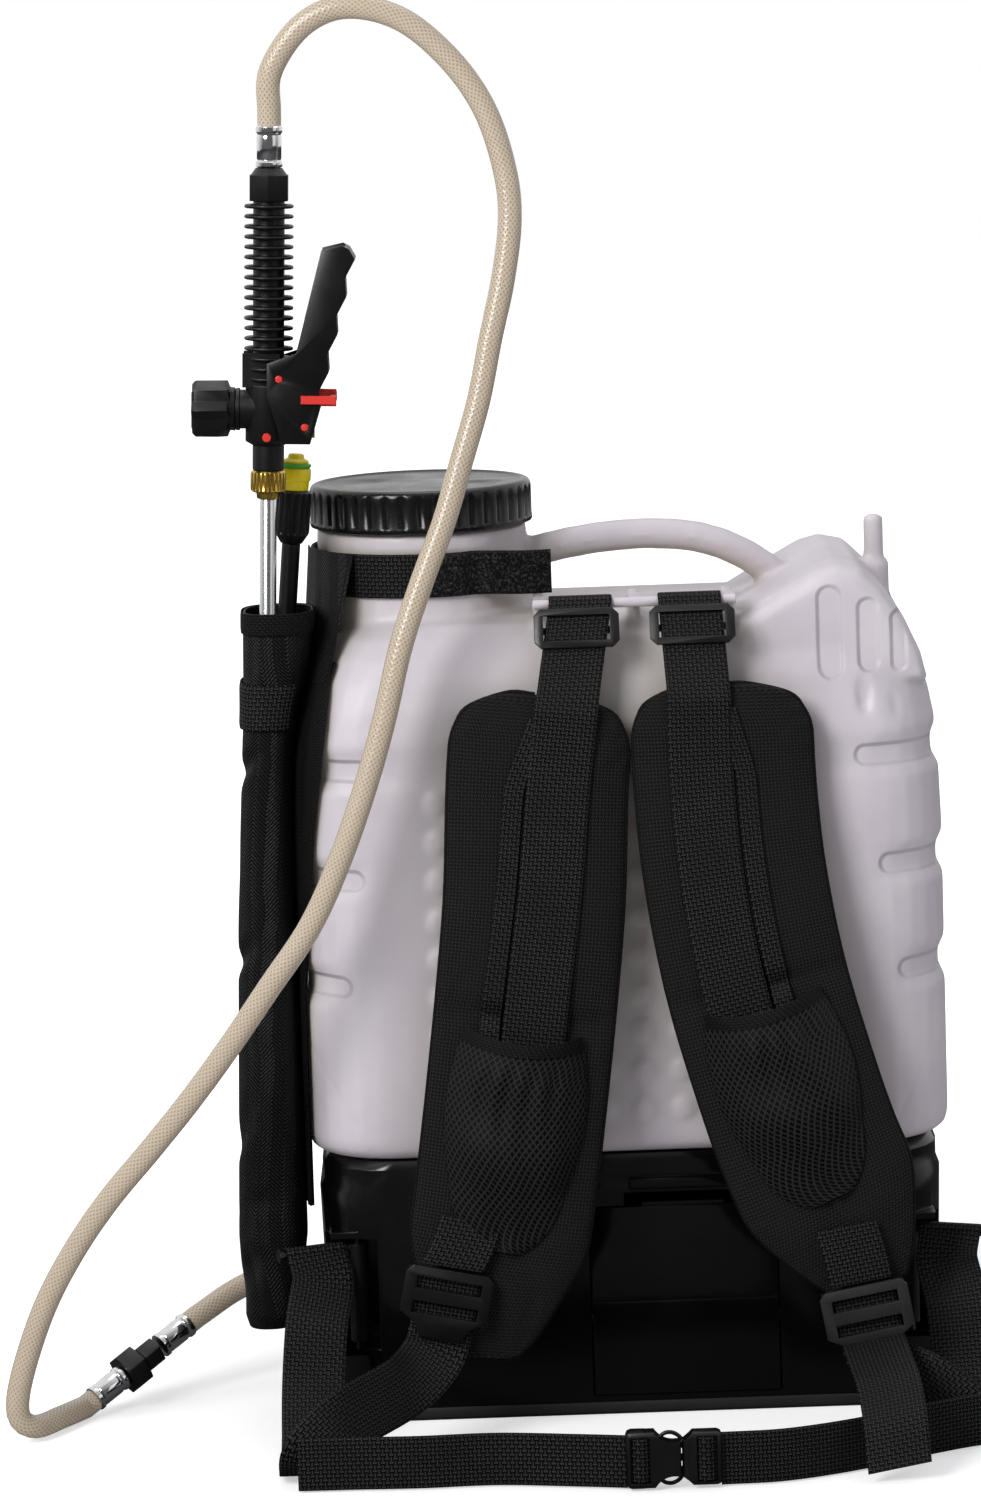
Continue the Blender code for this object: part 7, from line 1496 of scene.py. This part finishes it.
# %% Tail and lock loops
TAIL_ROUTE = [(0.1370, -0.1706, 0.060), (0.1390, -0.2000, 0.055), (0.1410, -0.2250, 0.050),
              (0.1425, -0.2470, 0.036), (0.1440, -0.2580, 0.009)]
tail_rows = strap_rows(smooth_line(TAIL_ROUTE, 60), RIGHT_ACROSS, WEBBING_WIDTH)
sew_webbing("right_strap_end", tail_rows, "hung", ["finished_right_ladder_lock"], "right_webbing_tail")
LOOP_ROUTES = (("left", LEFT_ACROSS, [(-0.0955, -0.1598, 0.138), (-0.1000, -0.1622, 0.126),
                                      (-0.1050, -0.1645, 0.116), (-0.1080, -0.1649, 0.1115)]),
               ("right", RIGHT_ACROSS, [(0.1230, -0.1655, 0.128), (0.1265, -0.1672, 0.115),
                                        (0.1295, -0.1682, 0.102), (0.1308, -0.1683, 0.0948)]))
for side, across, route in LOOP_ROUTES:
    loop_rows = strap_rows(smooth_line(route, 30), across, LOOP_WIDTH)
    sew_webbing(f"{side}_lock_loop", loop_rows, "stretched", [f"{side}_padded_strap"])

# %% [markdown]
# ## Waist belt
# The belt lies on the ground on its edge. Its right half pulls out of the buckle with the tongue.

# %% Waist belt
BELT_WIDTH, BELT_MIDDLE = 0.031, 0.0167
LOOP_PLAY, LOOP_ARCH = 0.0010, 0.0022
UPRIGHT = (0.0, 0.0, 1.0)
BELTS = (("left", "sprayer", [(-BASE_SIDE - 0.0130, -0.2365), (-0.1700, -0.2372), (-0.1300, -0.2390),
                              (-0.0850, -0.2380), (-0.0400, -0.2460), (-0.0114, -0.2520)]),
         ("right", "belt_half", [(0.0424, -0.2520), (0.0800, -0.2490), (0.1220, -0.2330), (0.1650, -0.2080),
                                 (0.1900, -0.1952), (BASE_SIDE + 0.0180, -0.1900)]))
for side, body, route in BELTS:
    line = smooth_line([(x, y, BELT_MIDDLE) for x, y in route], 90)
    rows = strap_rows(line, UPRIGHT, BELT_WIDTH)
    sew_webbing(f"{side}_waist_belt", rows, "laid", ["studio_floor"], f"{side}_belt", body=body)
for side, body, half, loop_left, loop_right in (
        ("left", "sprayer", "buckle_socket", -0.0080, 0.0014),
        ("right", "belt_half", "buckle_tongue", 0.0296, 0.0390)):
    loop_y = BUCKLE_FACE + WINDOW_DEPTH - LOOP_PLAY
    line = [(loop_left + (loop_right - loop_left) * t, loop_y - LOOP_ARCH * math.sin(math.pi * t),
             BUCKLE_MIDDLE) for t in np.linspace(0, 1, 13)]
    rows = strap_rows(line, UPRIGHT, WINDOW_HEIGHT - LOOP_PLAY)
    sew_webbing(f"{side}_buckle_loop", rows, "stretched", [f"finished_{half}"], body=body)

# %% [markdown]
# ## Holster
# The holster is a long pouch of coated cloth beside the tank, open at the top, with the lances standing in
# it. Empty cloth sags, so the pouch is lofted through oval rings with soft creases that run across its free
# side. The wall goes up outside and down again inside, so that the mouth has an edge.

# %% Pouch
SIDE_X, TANK_CORNER, BAG_CENTRE_Y, BAG_DEPTH, BAG_WALL = -0.193, 0.046, -0.062, 0.051, 0.0015
BAG_HEIGHTS = (0.055, 0.062, 0.110, 0.300, 0.400, 0.430, 0.460, 0.489)
BAG_OUTER = (0.0400, 0.0420, 0.0440, 0.0365, 0.0302, 0.0280, 0.0270, 0.0260)
BAG_INNER = (0.0130, 0.0090, 0.0025, 0.0015, -0.0005, -0.0045, -0.0130, -0.0160)
POUCH_SIDES, CREASE_RISE, OVAL = 72, 0.0013, 0.75
POUCH_LOW, POUCH_TOP, POUCH_EDGE = 0.055, 0.489, 0.4895


def pouch_ring(height, inset=0.0, creased=True, sides=POUCH_SIDES):
    """The pouch's oval at a height, drawn in by an inset and by its creases."""
    left = SIDE_X - np.interp(height, BAG_HEIGHTS, BAG_OUTER)
    right = SIDE_X - np.interp(height, BAG_HEIGHTS, BAG_INNER)
    depth = BAG_DEPTH - np.interp(height, BAG_HEIGHTS[:3], (0.012, 0.004, 0.0))
    ring = []
    for i in range(sides):
        angle = 2 * math.pi * i / sides
        c, s = math.cos(angle), math.sin(angle)
        free = float(ease((0.35 - c) / 0.7))
        wave = math.sin(height * 118.0 + 2.2 * s + 1.3 * math.sin(height * 47.0))
        wave += 0.6 * math.sin(height * 61.0 - 3.0 * c)
        crease = CREASE_RISE * max(0.0, wave) ** 2 * free if creased else 0.0
        drawn = inset + crease * math.sin(math.pi * np.clip((height - 0.06) / 0.42, 0, 1)) ** 0.5
        x = (left + right) / 2 + ((right - left) / 2 - drawn) * math.copysign(abs(c) ** OVAL, c)
        y = BAG_CENTRE_Y + (depth / 2 - drawn) * math.copysign(abs(s) ** OVAL, s)
        ring.append((x, y, float(height)))
    return np.array(ring)


wall_heights = np.concatenate([np.linspace(POUCH_LOW, 0.062, 5), np.linspace(0.066, POUCH_TOP, 110)])
middle = pouch_ring(POUCH_LOW).mean(axis=0)
rings = [middle + (pouch_ring(POUCH_LOW) - middle) * share for share in (0.2, 0.6, 0.9)]
rings += [pouch_ring(height) for height in wall_heights]
rings += [pouch_ring(POUCH_EDGE, BAG_WALL / 2)]
rings += [pouch_ring(height, BAG_WALL) for height in wall_heights[:4:-1]]
rings += [middle + (pouch_ring(0.0600, 0.006, False) - middle) * share for share in (1.0, 0.5, 0.1)]
ring_lengths = np.array([lengths_along(np.vstack([ring, ring[:1]])) for ring in rings])
pouch = lofted("holster_pouch", rings, ring_lengths, lengths_along([ring[0] for ring in rings]),
               holster_cloth)
smooth(pouch, 60.0)
dress(pouch, "bag_cloth", "wand_bag")
pouch_grid = [np.vstack([pouch_ring(height), pouch_ring(height)[:1]]) for height in wall_heights]
print("pouch faces", len(pouch.data.polygons))

# %% [markdown]
# A flap of the same cloth lies on the tank's front corner, and a bound edge runs down it. The flap follows
# the tank's rounded corner, and hangs straight down below the tank. The binding is a folded tape that
# stands a little proud.

# %% Flap and binding
LEDGE_HEIGHT, FLAP_LIFT = 0.481, 0.0018
BINDING_THICKNESS, BINDING_STAND = 0.0011, 0.0016
FLAP_LOW, FLAP_HIGH, FLAP_BACK = 0.130, 0.458, 0.017
TAPER_START, TAPER_INSET, SHOULDER_DROP, SHOULDER_INSET = 0.350, 0.005, 0.085, 0.040
TANK_FRONT = -0.105
FLAP_EDGE_HEIGHTS = (0.110, 0.260, 0.356, 0.406, 0.448, 0.470)
FLAP_EDGE_REACHES = (0.0040, 0.0050, 0.0130, 0.0200, 0.0260, 0.0350)


def corner_inset(height):
    """How far the tank's wall is drawn in at a height, by its taper and shoulder."""
    drop = LEDGE_HEIGHT - height
    inset = TAPER_INSET * max(0.0, (height - TAPER_START) / (LEDGE_HEIGHT - TAPER_START))
    if drop < SHOULDER_DROP:
        inset += SHOULDER_INSET * (1 - math.sqrt(max(0.0, 1 - (1 - drop / SHOULDER_DROP) ** 2)))
    return inset


def flap_row(height, lift, first, last, count):
    """Points round the tank's corner at a height, from one share of the flap's width to another."""
    inset = corner_inset(height)
    middle_x, middle_y = TANK_CORNER + inset + SIDE_X, TANK_CORNER + inset + TANK_FRONT
    edge_x = SIDE_X + float(np.interp(height, FLAP_EDGE_HEIGHTS, FLAP_EDGE_REACHES))
    sweep = math.acos((middle_x - edge_x) / TANK_CORNER)
    reach = TANK_CORNER + lift
    row = []
    for share in np.linspace(first, last, count):
        angle = sweep * share
        back = min(0.0, share) * -FLAP_BACK
        row.append((middle_x - reach * math.cos(max(0.0, angle)),
                    middle_y - reach * math.sin(max(0.0, angle)) + back, height))
    return row


flap_heights = np.linspace(FLAP_LOW, FLAP_HIGH, 70)
flap_grid = [flap_row(height, FLAP_LIFT, -1.0, 1.0, 34) for height in flap_heights]
flap = cloth_sheet("holster_flap", flap_grid, BAG_WALL, holster_cloth)
dress(flap, "bag_cloth")
binding_grid = [flap_row(height, FLAP_LIFT + BINDING_STAND, 0.72, 1.03, 8) for height in flap_heights]
binding = cloth_sheet("flap_binding", binding_grid, BINDING_THICKNESS, binding_tape)
dress(binding, "bag_cloth")
declare_sheet(flap_grid)

# %% [markdown]
# Two straps hold the holster. One goes round the tank's neck under the lid and closes on its own hook
# patch, whose rough pile shows on its right half. The other wraps the lances to the pouch.

# %% Neck strap and hook patch
NECK_STRAP_RADIUS, NECK_STRAP_Z, NECK_STRAP_WIDTH = 0.0665, 0.5066, 0.026
PILE_THICKNESS, PILE_STAND, PILE_WIDTH = 0.0014, 0.0017, NECK_STRAP_WIDTH - 0.002


def neck_line(proud, first, last, count):
    """A level line round the neck from one angle to another, standing proud by a little."""
    radius = NECK_STRAP_RADIUS + proud
    angles = np.radians(np.linspace(first, last, count))
    return [(NECK_X + radius * math.cos(a), radius * math.sin(a), NECK_STRAP_Z) for a in angles]


neck_start = [(NECK_X + 0.0765, -0.0620, NECK_STRAP_Z), (NECK_X + 0.0600, -0.0640, NECK_STRAP_Z)]
neck_centres = smooth_line(neck_start + neck_line(0.0, 300, 110, 20), 150)
neck_rows = strap_rows(neck_centres, UPRIGHT, NECK_STRAP_WIDTH)
neck_strap = cloth_sheet("holster_neck_strap", neck_rows, WEBBING_THICKNESS, nylon_webbing)
dress(neck_strap, "bag_cloth", "bag_neck_strap")
patch_start = [(x, y - PILE_STAND, z) for x, y, z in neck_start]
patch_centres = smooth_line(patch_start + neck_line(PILE_STAND, 300, 268, 5), 60)
patch_rows = strap_rows(patch_centres, UPRIGHT, PILE_WIDTH)
hook_patch = cloth_sheet("hook_patch", patch_rows, PILE_THICKNESS, hook_pile)
dress(hook_patch, "bag_cloth")
declare_sheet(neck_rows)

# %% [markdown]
# The holster's cloth goes on above the flap as a yoke: a panel that lies on the tank's shoulder and joins
# the neck strap. It is a grid between the flap's top and the neck, then every point that is inside the tank
# is pushed out along the tank's normal, and the grid is relaxed, as a tailor smooths cloth over a form.

# %% Yoke
YOKE_LIFT, YOKE_THICKNESS, YOKE_LOW, YOKE_RISE = 0.0020, 0.0012, 0.446, 0.013
LAP, EDGE_STAND = 0.0017, 0.0014
POUCH_HEM_LOW, POUCH_HEM_STAND = 0.4770, 0.0010
tank_skin = BVHTree.FromObject(tank, bpy.context.evaluated_depsgraph_get())


def laid_on_tank(rows, lift):
    """Relax a grid of points and push it out of the tank until it lies a little above the skin."""
    rows = np.array(rows, float)
    for _ in range(14):
        inner = (rows[:-2, 1:-1] + rows[2:, 1:-1] + rows[1:-1, :-2] + rows[1:-1, 2:]) / 4
        rows[1:-1, 1:-1] = 0.5 * rows[1:-1, 1:-1] + 0.5 * inner
        for i, j in np.ndindex(rows.shape[:2]):
            spot, normal = tank_skin.find_nearest(Vector(rows[i, j]))[:2]
            height = (Vector(rows[i, j]) - spot).dot(normal)
            if height < lift:
                rows[i, j] = spot + normal * lift
    return rows


yoke_low = np.array(flap_row(YOKE_LOW, FLAP_LIFT + LAP, -0.5, 1.0, 26))
yoke_high = np.array(neck_line(0.0019, 177, 234, 26)) + (0.0, 0.0, YOKE_RISE)
yoke_grid = laid_on_tank([(1 - t) * yoke_low + t * yoke_high for t in np.linspace(0, 1, 26)], YOKE_LIFT)
yoke = cloth_sheet("holster_yoke", yoke_grid, YOKE_THICKNESS, holster_cloth)
dress(yoke, "bag_cloth")
edge_grid = laid_on_tank(yoke_grid[:, -5:], YOKE_LIFT + EDGE_STAND)
yoke_binding = cloth_sheet("yoke_binding", edge_grid, BINDING_THICKNESS, binding_tape)
dress(yoke_binding, "bag_cloth")
declare_sheet(yoke_grid)
hem_heights = np.linspace(POUCH_HEM_LOW, POUCH_EDGE, 6)
hem_grid = np.array([pouch_ring(height, -POUCH_HEM_STAND, False)[2:71] for height in hem_heights])
pouch_hem = cloth_sheet("pouch_hem", hem_grid.transpose(1, 0, 2), HEM_THICKNESS, binding_tape)
dress(pouch_hem, "bag_cloth")
declare_sheet(pouch_grid)

# %% Wrap strap
WRAP_LOW, WRAP_HIGH, WRAP_STAND = 0.4205, 0.4475, 0.0016
wrap_heights = np.linspace(WRAP_LOW, WRAP_HIGH, 11)
wrap_grid = np.array([pouch_ring(height, -WRAP_STAND, False, 80)[20:69] for height in wrap_heights])
wrap_rows = wrap_grid.transpose(1, 0, 2)
sew_webbing("holster_wrap_strap", wrap_rows, "stretched", ["holster_pouch"], "bag_wrap_strap",
            slot="bag_cloth")

# %% [markdown]
# ## Inside pieces
# The strainer, gasket, vent, outlet, pump and battery are CAD pieces that show only when a lid or cover
# opens. Their shapes stay, and each gets the finish of its own material. The valve's spring is pressed
# together by the stem's head; its copy keeps the CAD shape and gets a stainless finish.

# %% Finishes on the inside pieces
grey_polypropylene = moulded("grey_polypropylene", "8f9294", 0.5, 1.0, 0.08)
for node, finish in (("filler_strainer", grey_polypropylene), ("cap_gasket", black_rubber),
                     ("cap_vent_valve", black_rubber), ("tank_outlet", inner_plastic),
                     ("battery_pack", inner_plastic), ("pump_head", inner_plastic),
                     ("pump_motor", stainless), ("suction_hose", black_rubber),
                     ("delivery_hose", black_rubber)):
    node_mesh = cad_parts[node].data
    node_mesh.materials.clear()
    node_mesh.materials.append(finish)
    print(node, finish.name)
spring = cad_copy("valve_spring", "finished_valve_spring", stainless)
smooth(spring, 60.0)
dress(spring, "steel", "valve_spring")
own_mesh(spring)
